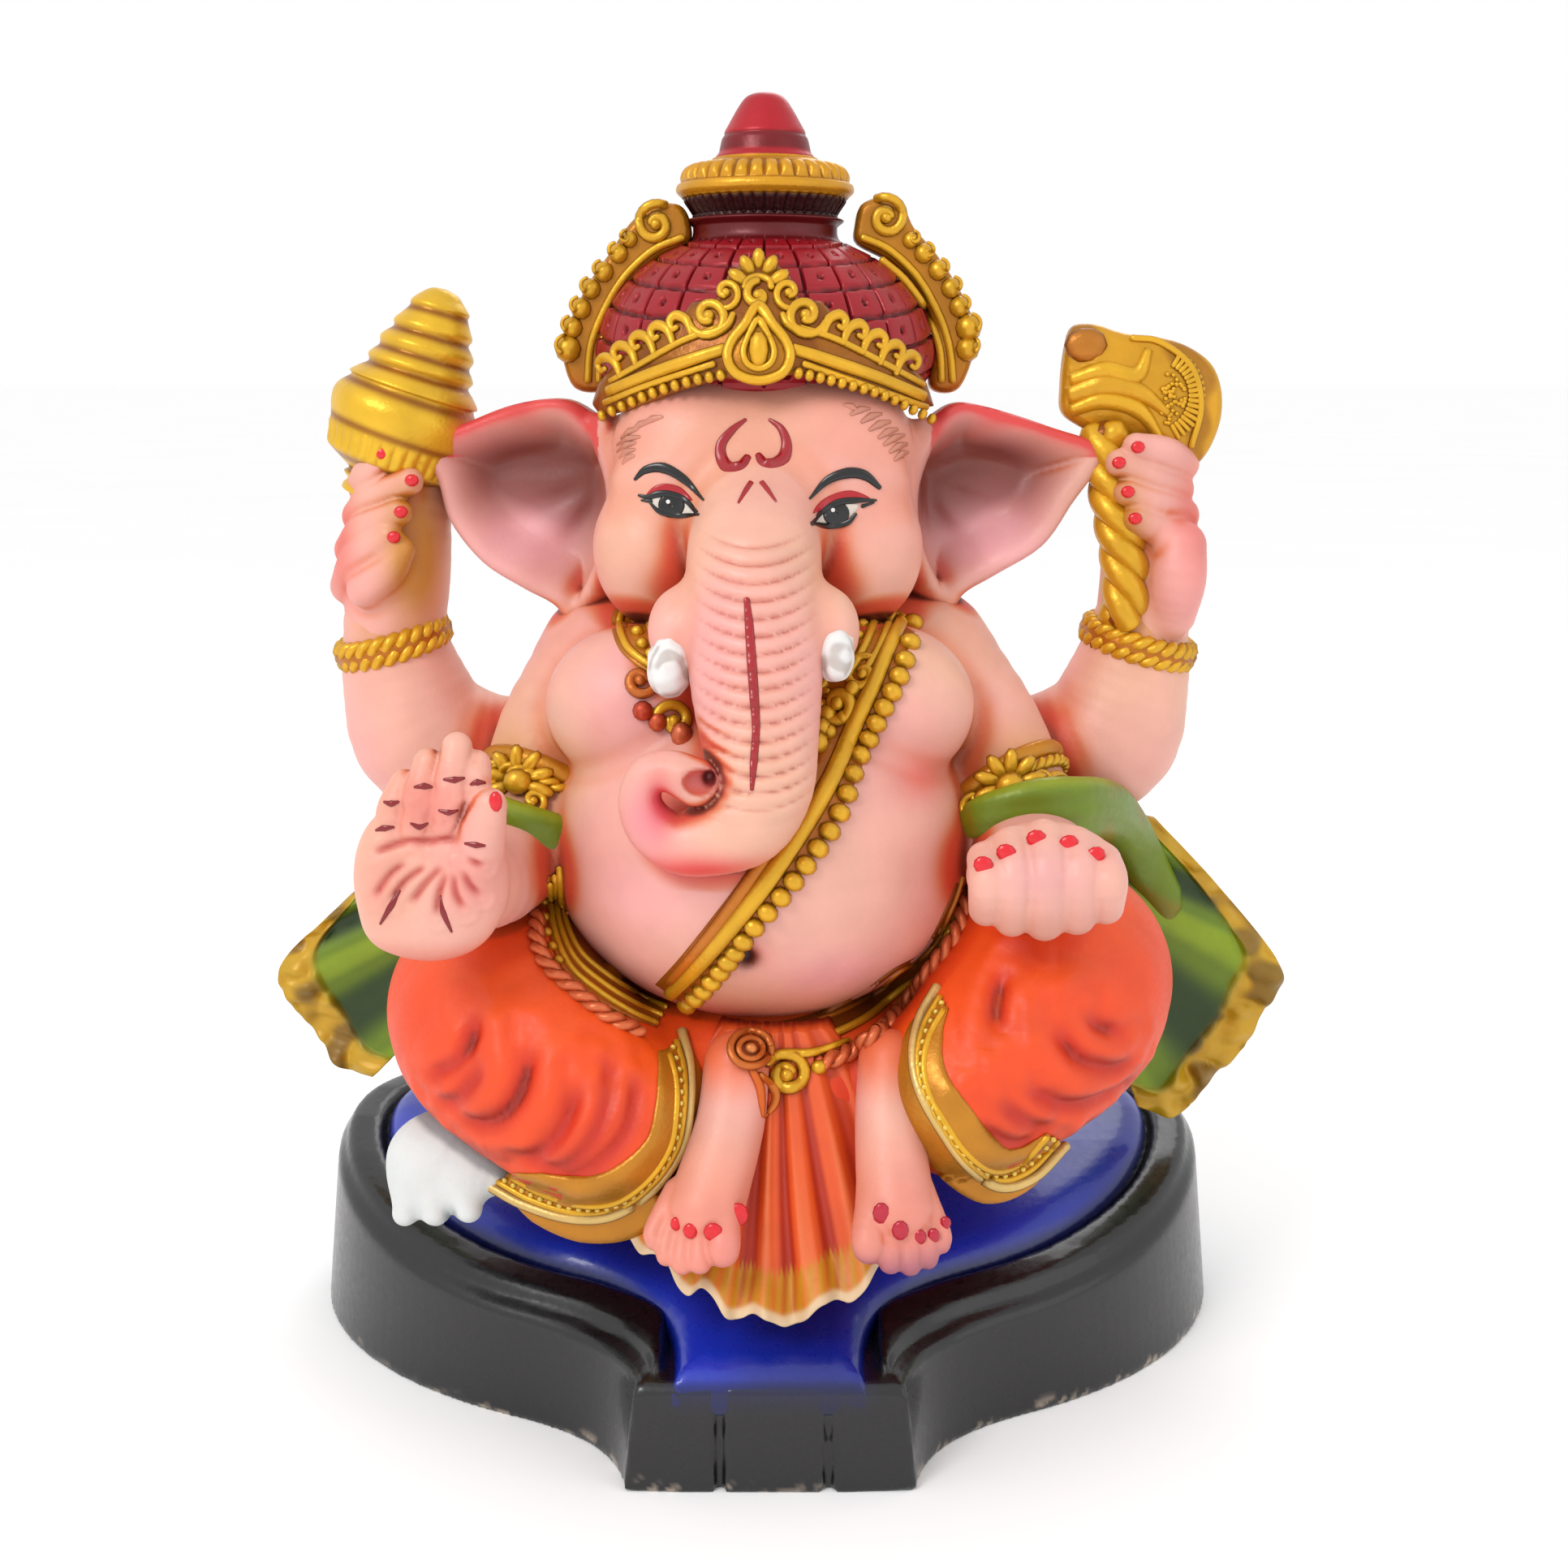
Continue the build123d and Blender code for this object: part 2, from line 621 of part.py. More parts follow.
# ---------------------------------------------------------------- shawl
SHAWL_LEFT = [
    (-46, 136), (-84, 128), (-101, 112), (-113, 103), (-127, 90), (-121, 75), (-114, 65), (-104, 60),
    (-82, 66), (-60, 96), (-45, 118),
]
SHAWL_RIGHT = [
    (46, 134), (70, 134), (93, 129), (110, 111), (127, 91), (125, 80), (120, 67), (110, 55), (96, 48),
    (88, 60), (72, 92), (47, 114),
]


def shawl_wing(outline, others):
    with BuildPart() as made:
        front_prism(outline, SHAWL_FRONT_Y, SHAWL_BACK_Y, Mode.ADD)
        cut_away(*LAP, *others)
    return made


left_shawl = shawl_wing(SHAWL_LEFT, [left_arm, left_rear_arm, left_armlet])
finish(left_shawl, "left_shawl")
right_shawl = shawl_wing(SHAWL_RIGHT, [right_arm, right_rear_arm, right_armlet])
finish(right_shawl, "right_shawl")

SHAWL_BAND = [
    (-60, SHAWL_BAND_BOTTOM), (60, SHAWL_BAND_BOTTOM), (60, SHAWL_BAND_TOP), (-60, SHAWL_BAND_TOP),
]
with BuildPart() as shawl_back:
    add(torso_layer.part)
    front_prism(SHAWL_BAND, 13.0, 40.0)
    cut_away(*LAP, left_arm, right_arm, left_rear_arm, right_rear_arm, left_shawl, right_shawl)
finish(shawl_back, "shawl_back")

# ---------------------------------------------------------------- the mouse beside the knee
MOUSE_BODY, MOUSE_NOSE = (-76.0, -44.0, 60.5), (-61.0, -50.0, 59.5)
with BuildPart() as mouse:
    pill(MOUSE_BODY, (0.9, -0.3, 0), 11.0, 9.5)
    limb(MOUSE_BODY, MOUSE_NOSE, 8.5, 3.0)
    for paw_x in (-78.0, -70.0):
        limb((paw_x, -50.0, 52.0), (paw_x + 3.0, -55.0, 49.5), 3.2, 2.6)
    cut_away(*LOWER)
finish(mouse, "mouse")

print(len(finished), "pieces written")
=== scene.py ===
import math

import bpy
import numpy as np
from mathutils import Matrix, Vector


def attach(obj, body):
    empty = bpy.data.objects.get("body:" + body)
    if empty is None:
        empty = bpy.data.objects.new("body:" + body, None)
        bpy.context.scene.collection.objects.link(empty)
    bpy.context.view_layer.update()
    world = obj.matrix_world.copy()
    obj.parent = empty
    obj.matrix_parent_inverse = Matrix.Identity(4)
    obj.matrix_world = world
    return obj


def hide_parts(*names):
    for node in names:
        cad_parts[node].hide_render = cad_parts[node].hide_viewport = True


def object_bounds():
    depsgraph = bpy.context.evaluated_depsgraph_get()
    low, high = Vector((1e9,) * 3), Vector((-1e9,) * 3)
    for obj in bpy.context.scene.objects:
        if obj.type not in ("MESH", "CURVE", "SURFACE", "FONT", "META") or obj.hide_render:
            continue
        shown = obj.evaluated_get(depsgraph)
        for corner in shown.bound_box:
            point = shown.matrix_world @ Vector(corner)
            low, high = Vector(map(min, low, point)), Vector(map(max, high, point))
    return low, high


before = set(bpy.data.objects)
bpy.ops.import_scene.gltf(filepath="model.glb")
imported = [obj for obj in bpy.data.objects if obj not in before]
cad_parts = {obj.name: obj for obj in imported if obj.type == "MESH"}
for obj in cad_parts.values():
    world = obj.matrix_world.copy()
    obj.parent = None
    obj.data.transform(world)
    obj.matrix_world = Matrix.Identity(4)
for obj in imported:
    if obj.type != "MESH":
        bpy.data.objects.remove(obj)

import openvdb
from mathutils import Vector
from mathutils.bvhtree import BVHTree

CAD_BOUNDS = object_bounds()
DESIGN_HEIGHT = 300.0
CAD_LOW, CAD_HIGH = (np.array(corner, float) for corner in CAD_BOUNDS)
MM = (CAD_HIGH[2] - CAD_LOW[2]) / DESIGN_HEIGHT
STAND = np.array([(CAD_LOW[0] + CAD_HIGH[0]) / 2, (CAD_LOW[1] + CAD_HIGH[1]) / 2, CAD_LOW[2]])
EYE = np.array([4.4, -458.0, 236.0])
PAINT_DEPTH, PAINT_LEVEL = 1.22, 0.86  # power and factor that deepen every painted colour


# ---------------------------------------------------------------- distance fields
class Field:
    """A box of signed distances in millimetres, and which piece each place belongs to."""

    def __init__(self, low, high, step):
        self.low, self.step = np.array(low, float), step
        counts = np.ceil((np.array(high, float) - self.low) / step).astype(int) + 1
        self.axes = [
            (self.low[i] + step * np.arange(counts[i])).astype(np.float32) for i in range(3)
        ]
        self.d = np.full(counts, 9.0, np.float32)
        self.near = np.full(counts, 9.0, np.float32)
        self.label = np.zeros(counts, np.int8)

    def window(self, low, high, pad=8.0):
        cut = []
        for axis, l, u in zip(self.axes, low, high):
            first, last = np.searchsorted(axis, [l - pad, u + pad])
            cut.append(slice(max(first - 1, 0), min(last + 1, len(axis))))
        grid = np.ix_(*[axis[c] for axis, c in zip(self.axes, cut)])
        return tuple(cut), grid

    def put(self, low, high, distance, blend=4.0, label=0, carve=False):
        cut, grid = self.window(low, high)
        new = distance(*grid).astype(np.float32)
        old = self.d[cut]
        if carve:
            mix = np.clip(0.5 - 0.5 * (old + new) / blend, 0, 1)
            self.d[cut] = old * (1 - mix) - new * mix + blend * mix * (1 - mix)
            return
        if blend > 0:
            mix = np.clip(0.5 + 0.5 * (old - new) / blend, 0, 1)
            self.d[cut] = old * (1 - mix) + new * mix - blend * mix * (1 - mix)
        else:
            self.d[cut] = np.minimum(old, new)
        closer = new < self.near[cut]
        self.near[cut] = np.where(closer, new, self.near[cut])
        self.label[cut] = np.where(closer, np.int8(label), self.label[cut])

    def egg(self, centre, radii, blend=4.0, label=0, turn=(0, 0, 0), carve=False):
        """An ellipsoid, turned by degrees about X, Y and Z."""
        c, r, m = np.array(centre, float), np.array(radii, float), turned(turn)
        reach = np.abs(m) @ r

        def distance(x, y, z):
            q = [m[0, i] * (x - c[0]) + m[1, i] * (y - c[1]) + m[2, i] * (z - c[2]) for i in range(3)]
            k0 = np.sqrt(sum((q[i] / r[i]) ** 2 for i in range(3)))
            k1 = np.sqrt(sum((q[i] / r[i] ** 2) ** 2 for i in range(3)))
            return k0 * (k0 - 1) / np.maximum(k1, 1e-6)

        self.put(c - reach, c + reach, distance, blend, label, carve)

    def limb(self, points, radii, blend=4.0, label=0, smooth=4, carve=False):
        """A round limb through the points, with a radius at each."""
        line = curve(np.column_stack([np.array(points, float), radii]), smooth)
        low = (line[:, :3] - line[:, 3:]).min(0)
        high = (line[:, :3] + line[:, 3:]).max(0)

        def distance(x, y, z):
            out = None
            for a, b in zip(line, line[1:]):
                ab = b[:3] - a[:3]
                t = (x - a[0]) * ab[0] + (y - a[1]) * ab[1] + (z - a[2]) * ab[2]
                t = np.clip(t / max(ab @ ab, 1e-9), 0, 1)
                gap = (x - a[0] - t * ab[0]) ** 2 + (y - a[1] - t * ab[1]) ** 2
                gap = np.sqrt(gap + (z - a[2] - t * ab[2]) ** 2) - (a[3] + (b[3] - a[3]) * t)
                out = gap if out is None else np.minimum(out, gap)
            return out

        self.put(low, high, distance, blend, label, carve)

    def plate(self, outline, middle, half, blend=3.0, label=0, edge=2.0):
        """A plate with an (x, z) outline; middle and half give its depth and half thickness."""
        line = closed_curve(np.array(outline, float), 5)
        low, high = line.min(0), line.max(0)
        (cx, _, cz), _ = self.window((low[0], -200, low[1]), (high[0], 200, high[1]))
        x, z = np.meshgrid(self.axes[0][cx], self.axes[2][cz], indexing="ij")
        inside = -polygon_distance(x, z, line)
        y0, t = middle(x, z, inside), half(x, z, inside)

        def distance(gx, gy, gz):
            side = edge - inside[:, None, :]
            deep = np.abs(gy - y0[:, None, :]) - t[:, None, :] + edge
            out = np.sqrt(np.maximum(side, 0) ** 2 + np.maximum(deep, 0) ** 2)
            return out + np.minimum(np.maximum(side, deep), 0) - edge

        near_corner = (low[0], (y0 - t).min(), low[1])
        far_corner = (high[0], (y0 + t).max(), high[1])
        self.put(near_corner, far_corner, distance, blend, label)

    def sample(self, p, array=None):
        array = self.d if array is None else array
        g = (p - self.low) / self.step
        g = np.clip(g, 0, np.array(array.shape) - 1.001)
        i = g.astype(int)
        f = g - i
        out = 0
        for dx in (0, 1):
            for dy in (0, 1):
                for dz in (0, 1):
                    w = (f[:, 0] if dx else 1 - f[:, 0]) * (f[:, 1] if dy else 1 - f[:, 1])
                    w = w * (f[:, 2] if dz else 1 - f[:, 2])
                    out = out + w * array[i[:, 0] + dx, i[:, 1] + dy, i[:, 2] + dz]
        return out

    def mesh(self):
        grid = openvdb.FloatGrid(background=9.0)
        grid.copyFromArray(np.clip(self.d, -9, 9))
        points, _, quads = grid.convertToPolygons(isovalue=0.0, adaptivity=0.0)
        points = points * self.step + self.low
        return points.astype(float), quads.astype(int)

    def labels_at(self, p):
        g = np.rint((p - self.low) / self.step).astype(int)
        g = np.clip(g, 0, np.array(self.label.shape) - 1)
        return self.label[g[:, 0], g[:, 1], g[:, 2]]


def turned(degrees):
    a, b, c = np.radians(degrees)
    rx = np.array([[1, 0, 0], [0, math.cos(a), -math.sin(a)], [0, math.sin(a), math.cos(a)]])
    ry = np.array([[math.cos(b), 0, math.sin(b)], [0, 1, 0], [-math.sin(b), 0, math.cos(b)]])
    rz = np.array([[math.cos(c), -math.sin(c), 0], [math.sin(c), math.cos(c), 0], [0, 0, 1]])
    return rz @ ry @ rx


def spline(a, b, c, d, t):
    """Catmull-Rom between b and c at the shares t."""
    squared, cubed = 2 * a - 5 * b + 4 * c - d, 3 * b - a - 3 * c + d
    return 0.5 * (2 * b + (c - a) * t + squared * t**2 + cubed * t**3)


def curve(points, steps):
    """Catmull-Rom through the rows of points."""
    p = np.array(points, float)
    if steps <= 1 or len(p) < 3:
        return p
    p = np.vstack([2 * p[0] - p[1], p, 2 * p[-1] - p[-2]])
    t = np.linspace(0, 1, steps, endpoint=False)[:, None]
    out = [spline(a, b, c, d, t) for a, b, c, d in zip(p, p[1:], p[2:], p[3:])]
    return np.vstack(out + [p[-2:-1]])


def closed_curve(points, steps):
    """Catmull-Rom through the rows of points and back to the first."""
    p = np.array(points, float)
    n = len(p)
    t = np.linspace(0, 1, steps, endpoint=False)[:, None]
    return np.vstack([spline(p[i - 1], p[i], p[(i + 1) % n], p[(i + 2) % n], t) for i in range(n)])


def polygon_distance(x, z, line):
    """Signed distance to a closed outline, negative inside."""
    best = np.full(x.shape, 1e9)
    inside = np.zeros(x.shape, bool)
    for (ax, az), (bx, bz) in zip(line, np.roll(line, -1, axis=0)):
        ex, ez = bx - ax, bz - az
        t = np.clip(((x - ax) * ex + (z - az) * ez) / max(ex * ex + ez * ez, 1e-9), 0, 1)
        best = np.minimum(best, (x - ax - t * ex) ** 2 + (z - az - t * ez) ** 2)
        crosses = (az > z) != (bz > z)
        if abs(ez) > 1e-12:
            inside ^= crosses & (x < ax + (z - az) * ex / ez)
    return np.where(inside, -1, 1) * np.sqrt(best)


def smooth(low, high, value):
    t = np.clip((value - low) / (high - low), 0, 1)
    return t * t * (3 - 2 * t)


# ---------------------------------------------------------------- meshes
def vertex_normals(points, quads):
    """A unit normal at each vertex, from the quads round it."""
    a, b, c, d = (points[quads[:, i]] for i in range(4))
    face = np.cross(c - a, d - b)
    out = np.zeros_like(points)
    for i in range(4):
        np.add.at(out, quads[:, i], face)
    return out / np.maximum(np.linalg.norm(out, axis=1, keepdims=True), 1e-9)


def make(name, points, faces, paint, material, nodes=(), normals=None):
    """A mesh object in metres, riding on the root, with its paint as a point colour."""
    mesh = bpy.data.meshes.new(name)
    mesh.vertices.add(len(points))
    mesh.vertices.foreach_set("co", (np.asarray(points) * MM + STAND).astype(np.float32).ravel())
    sizes = np.array([len(f) for f in faces])
    flat = np.concatenate([np.asarray(f) for f in faces])
    mesh.loops.add(len(flat))
    mesh.loops.foreach_set("vertex_index", flat.astype(np.int32))
    mesh.polygons.add(len(sizes))
    mesh.polygons.foreach_set("loop_start", np.concatenate([[0], np.cumsum(sizes)[:-1]]).astype(np.int32))
    mesh.polygons.foreach_set("use_smooth", np.ones(len(sizes), bool))
    mesh.update(calc_edges=True)
    mesh.validate()
    colour = mesh.attributes.new("paint", "FLOAT_COLOR", "POINT")
    paint = PAINT_LEVEL * np.broadcast_to(np.asarray(paint, float), (len(points), 3)) ** PAINT_DEPTH
    colour.data.foreach_set(
        "color", np.column_stack([paint, np.ones(len(points))]).astype(np.float32).ravel()
    )
    if normals is not None:
        mesh.normals_split_custom_set_from_vertices(np.asarray(normals).tolist())
    mesh.materials.append(material)
    thing = bpy.data.objects.new(name, mesh)
    bpy.context.scene.collection.objects.link(thing)
    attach(thing, "root")
    if nodes:
        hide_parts(*nodes)
    return thing


def split(points, quads, labels, wanted):
    """The faces of one label, with the vertices they use."""
    votes = (labels[quads] == wanted).sum(1)
    kept = quads[votes >= 3]
    ties = quads[(votes == 2) & (labels[quads[:, 0]] == wanted)]
    kept = np.vstack([kept, ties])
    used, inverse = np.unique(kept, return_inverse=True)
    return used, inverse.reshape(kept.shape)


def make_parts(meshed, paint, pieces, material):
    """One mesh object for each labelled part of a field's mesh."""
    p, quads, n, labels = meshed
    for name, label, node in pieces:
        used, faces = split(p, quads, labels, label)
        make(name, p[used], faces, paint[used], material, [node], n[used])


def srgb(r, g, b):
    """A colour in 0-255 as it looks on screen, as linear light."""
    c = np.array([r, g, b], float) / 255
    return np.where(c <= 0.04045, c / 12.92, ((c + 0.055) / 1.055) ** 2.4)


def mix(a, b, share):
    share = np.asarray(share)[:, None]
    return a * (1 - share) + np.asarray(b) * share


def noise(p, size, seed=0):
    """Smooth lumpy noise in about -1..1 from a few sines."""
    turn = np.random.default_rng(seed)
    out = np.zeros(len(p))
    for _ in range(6):
        k = turn.normal(size=3) / size * 2.2
        out += np.sin(p @ k + turn.uniform(0, 6.28))
    return out / 3.0


# ---------------------------------------------------------------- paints and materials
SKIN = srgb(238, 190, 168)
PINK = srgb(244, 178, 178)
RED_AIRBRUSH_AND_SHADE = srgb(226, 84, 60)
AMBER = srgb(226, 128, 66)
UMBER = srgb(112, 56, 38)
GOLD = srgb(222, 168, 44)
GOLD_DEEP = srgb(150, 88, 14)
GOLD_SPRAY = srgb(206, 148, 52)
ORANGE = srgb(240, 92, 14)
CRIMSON_DEEP = srgb(84, 6, 16)
BLUE = srgb(34, 66, 196)


def material(name, rough, metal=0.0, speck=0.06, bump=0.15, grain=900.0, coat=0.0, sheen=0.0):
    """Painted plaster: the piece's own paint, slightly mottled, with fine grain in gloss and surface."""
    made = bpy.data.materials.new(name)
    made.use_nodes = True
    nodes, links = made.node_tree.nodes, made.node_tree.links
    shader = nodes["Principled BSDF"]
    paint = nodes.new("ShaderNodeAttribute")
    paint.attribute_name = "paint"
    place = nodes.new("ShaderNodeTexCoord")
    broad = nodes.new("ShaderNodeTexNoise")
    broad.inputs["Scale"].default_value = grain * 0.12
    broad.inputs["Detail"].default_value = 4.0
    fine = nodes.new("ShaderNodeTexNoise")
    fine.inputs["Scale"].default_value = grain
    fine.inputs["Detail"].default_value = 3.0
    shade = nodes.new("ShaderNodeMapRange")
    shade.inputs["To Min"].default_value = 1.0 - speck * 2
    shade.inputs["To Max"].default_value = 1.0 + speck * 2
    tint = nodes.new("ShaderNodeVectorMath")
    tint.operation = "SCALE"
    gloss = nodes.new("ShaderNodeMapRange")
    gloss.inputs["To Min"].default_value = max(rough - 0.12, 0.05)
    gloss.inputs["To Max"].default_value = rough + 0.12
    lumps = nodes.new("ShaderNodeBump")
    lumps.inputs["Strength"].default_value = bump
    lumps.inputs["Distance"].default_value = 0.0004
    links.new(place.outputs["Object"], broad.inputs["Vector"])
    links.new(place.outputs["Object"], fine.inputs["Vector"])
    links.new(broad.outputs["Fac"], shade.inputs["Value"])
    links.new(paint.outputs["Color"], tint.inputs[0])
    links.new(shade.outputs["Result"], tint.inputs["Scale"])
    links.new(tint.outputs["Vector"], shader.inputs["Base Color"])
    links.new(fine.outputs["Fac"], gloss.inputs["Value"])
    links.new(gloss.outputs["Result"], shader.inputs["Roughness"])
    links.new(fine.outputs["Fac"], lumps.inputs["Height"])
    links.new(lumps.outputs["Normal"], shader.inputs["Normal"])
    shader.inputs["Metallic"].default_value = metal
    shader.inputs["Coat Weight"].default_value = coat
    shader.inputs["Sheen Weight"].default_value = sheen
    return made


SKIN_PAINT = material("skin_paint", 0.46)
CLOTH_PAINT = material("dhoti_paint", 0.5, speck=0.08)
GOLD_PAINT = material("gold_paint", 0.36, metal=0.45, speck=0.12, bump=0.3)
CROWN_PAINT = material("crown_paint", 0.38, metal=0.25, speck=0.1)
SATIN_PAINT = material("plinth_satin", 0.3, speck=0.1, bump=0.12, grain=500.0, coat=0.25)
WHITE_PAINT = material("white_paint", 0.6, speck=0.05, bump=0.3)
SHAWL_PAINT = material("shawl_paint", 0.42, metal=0.15, speck=0.12)


# ---------------------------------------------------------------- skin forms: head, trunk, ears
HEAD, TRUNK, EAR_L, EAR_R = 1, 2, 3, 4
TRUNK_LINE = [
    (-1.5, -30, 208, 14), (-2, -44, 199, 14.5), (-2, -55, 189, 14.5), (-1.5, -63, 176, 14),
    (-0.6, -69, 163, 12.2), (0, -72, 154, 10.6), (-3.5, -73.5, 147, 9.8), (-10, -74, 143.2, 8.0),
    (-17, -74.5, 142.0, 6.4), (-22.8, -74.5, 145.4, 5.4), (-25.2, -74.5, 151.0, 4.5),
    (-23.4, -75, 156.2, 4.1),
    (-18.8, -75.8, 157.4, 4.4), (-13.4, -77.2, 155.4, 5.0),
]
EAR_LEFT = [
    (-30, 226), (-36.8, 226.5), (-45.7, 231.1), (-57.1, 230.1), (-68.5, 225.9), (-79, 221.2),
    (-75.6, 212.8),
    (-73.1, 203.4), (-65.8, 193.8), (-56.4, 187.7), (-48.8, 183.3), (-44.7, 175.9), (-38, 182),
    (-32, 190), (-28, 203), (-28, 215),
]
EAR_RIGHT = [
    (29, 225), (35, 225), (42.9, 230), (50.4, 229.6), (65.7, 224.9), (78, 219.4), (71, 207.1),
    (64.5, 197.6), (54, 191), (46, 186), (42.5, 178.5), (36, 184), (30, 192), (26, 203), (26, 215),
]


def ear_plate(field, outline, label):
    def front(inside):
        return -13.0 + 8.5 * smooth(1.5, 13, inside)

    field.plate(
        outline,
        lambda x, z, i: (front(i) + 2.0) / 2,
        lambda x, z, i: (2.0 - front(i)) / 2,
        blend=3.0,
        label=label,
        edge=2.2,
    )


head = Field((-82, -88, 130), (82, 46, 250), 0.62)
head.egg((0, 3, 209), (38, 37, 36), 0, HEAD)
for side in (-1, 1):
    head.egg((13 * side - 0.5, -19, 221), (20, 19, 17), 10, HEAD)
    head.egg((23 * side - 1.5, -25, 197), (14, 15, 17), 7, HEAD, (0, 12 * side, 0))
    head.egg((19.5 * side - 1, -30, 214), (12, 7, 6), 7, HEAD)
    head.egg((18.5 * side - 1.2, -33.5, 208), (8.5, 4.6, 4.8), 2.5, HEAD)
    head.egg((15.8 * side - 2, -55, 184), (6.5, 8, 9), 5, TRUNK, (-35, 0, 10 * side))
head.egg((-1, -30, 205), (15, 13, 14), 6, HEAD)
line = np.array(TRUNK_LINE, float)
head.limb(line[:, :3], line[:, 3], 4.5, TRUNK)
head.egg((-12.2, -82.0, 156.2), (4.0, 3.4, 2.9), 0.8, TRUNK, carve=True)
head.egg((-10.8, -79.5, 156.6), (1.5, 3.0, 1.7), 0.5, TRUNK, carve=True)
ear_plate(head, EAR_LEFT, EAR_L)
ear_plate(head, EAR_RIGHT, EAR_R)
head.limb(
    [(-37, -12, 224), (-32.5, -15, 210), (-35, -14, 196), (-43, -11, 182)], [3.5, 3.4, 3.4, 2.4], 3, EAR_L
)
head.limb(
    [(36, -12, 223), (31, -15, 210), (33.5, -14, 196), (41, -11, 184)], [3.5, 3.4, 3.4, 2.4], 3, EAR_R
)

# ---------------------------------------------------------------- skin forms: torso and arms
TORSO, FRONT_L, FRONT_R, REAR_L, REAR_R = 1, 2, 3, 4, 5
body = Field((-106, -80, 84), (106, 34, 200), 0.8)
body.egg((-1, -25, 131), (49, 46, 41), 0, TORSO)
body.egg((0, -4, 150), (44, 27, 40), 9, TORSO)
body.limb([(-36, -4, 169), (36, -4, 169)], [17, 17], 9, TORSO)
body.limb([(0, -2, 178), (0, -1, 199)], [27, 25], 9, TORSO)
for side in (-1, 1):
    body.egg((27 * side - 1, -34, 164), (21, 19, 18.5), 3.5, TORSO)
body.egg((-3.8, -70, 114.8), (2.6, 6, 2.8), 2.5, TORSO, carve=True)
for side, label in ((-1, REAR_L), (1, REAR_R)):
    body.limb(
        [
            (38 * side, 8, 151), (62 * side, 4, 145), (81 * side, 1, 149), (87 * side, 0, 162),
            (89.8 * side, -1, 178)
        ],
        [15, 14.5, 17.5, 15, 11.3], 5, label,
    )
body.limb(
    [(-37, -6, 169), (-49, -17, 154), (-54.5, -28, 135), (-60, -46, 128), (-65, -62, 130)],
    [17, 13.8, 13, 11.5, 9.5], 5, FRONT_L
)
body.limb(
    [(37, -6, 170), (51, -17, 155), (58, -28, 137), (60, -44, 130), (60, -60, 131)],
    [17, 13.8, 13.5, 12.5, 11], 5, FRONT_R
)


def openness(p, n, reach, fields):
    """1 in the open, falling to 0 deep in a crease, looking this far out from the surface."""
    seen = np.full(len(p), float(reach))
    for field in fields:
        q = p + n * reach
        low, high = field.low, field.low + field.step * (np.array(field.d.shape) - 1)
        within = ((q > low) & (q < high)).all(1)
        values = np.where(within, field.sample(q), reach)
        seen = np.minimum(seen, values)
    return np.clip(seen / reach, 0, 1)


def skin_paint(p, n, fields, crease_airbrush_and_shade=1.0):
    paint = mix(np.broadcast_to(SKIN, p.shape), PINK, 0.35 + 0.35 * np.clip(noise(p, 30, 3), -1, 1))
    # Amber and red grow towards creases and umber deep in them: partly the idol's airbrushed crease colour,
    # partly painted shade in the creases.
    far, near = openness(p, n, 7.5, fields), openness(p, n, 2.2, fields)
    paint = mix(paint, AMBER, 0.72 * smooth(0.95, 0.45, far) * crease_airbrush_and_shade)
    paint = mix(paint, RED_AIRBRUSH_AND_SHADE, 0.75 * smooth(0.7, 0.2, far) * crease_airbrush_and_shade)
    return mix(paint, UMBER, 0.85 * smooth(0.75, 0.15, near))


def spot(p, centre, size):
    """1 at the centre, fading over size."""
    return np.exp(-(((p - np.array(centre)) / np.array(size)) ** 2).sum(1))


def along_line(p, line, steps=12):
    """Share along the line of the nearest place on it, and the distance to it."""
    fine = curve(np.array(line, float)[:, :3], steps)
    best, at = np.full(len(p), 1e9), np.zeros(len(p))
    for i, c in enumerate(fine):
        gap = ((p - c) ** 2).sum(1)
        closer = gap < best
        best, at = np.where(closer, gap, best), np.where(closer, i / (len(fine) - 1), at)
    return at, np.sqrt(best)


def tree(points, quads):
    corners = [tuple(v) for v in points.tolist()]
    return BVHTree.FromPolygons(corners, [tuple(f) for f in np.asarray(quads).tolist()])


def lay(points, surfaces, lift=0.0):
    """Guide points moved along the line of sight from the front viewpoint onto the nearest surface."""
    out = []
    for p in np.atleast_2d(np.asarray(points, float)):
        ray = Vector(p - EYE).normalized()
        best = None
        for surface in surfaces:
            hit = surface.ray_cast(Vector(EYE), ray)
            if hit[0] is not None and (best is None or hit[3] < best[1]):
                best = (np.array(hit[0]), hit[3])
        place = best[0] if best is not None else p
        out.append(place - np.array(ray) * lift)
    return np.array(out)


def crease(p, n, paint, guides, width, depth, tint, steps=6):
    """Soft grooves along guides laid on the mesh from the front; returns the paint darkened along them with
    painted shade.
    """
    surface = tree(*p)
    points = p[0]
    for guide in guides:
        path = lay(curve(np.array(guide, float), steps), [surface])
        close = ((points > path.min(0) - 4 * width) & (points < path.max(0) + 4 * width)).all(1)
        if not close.any():
            continue
        share, gap = along_line(points[close], path, 3)
        ends = [np.linalg.norm(points[close] - end, axis=1) for end in (path[0], path[-1])]
        tips = np.minimum(*ends)
        fade = smooth(0.3 * width, 4.0 * width, tips)
        groove = np.exp(-((gap / width) ** 2)) * fade
        ridge = np.exp(-(((gap - 2.6 * width) / (1.5 * width)) ** 2)) * fade
        points[close] += n[close] * (0.35 * depth * ridge - depth * groove)[:, None]
        # The tint laid along each groove is painted shade.
        paint[close] = mix(paint[close], tint, 0.8 * groove)
    return paint


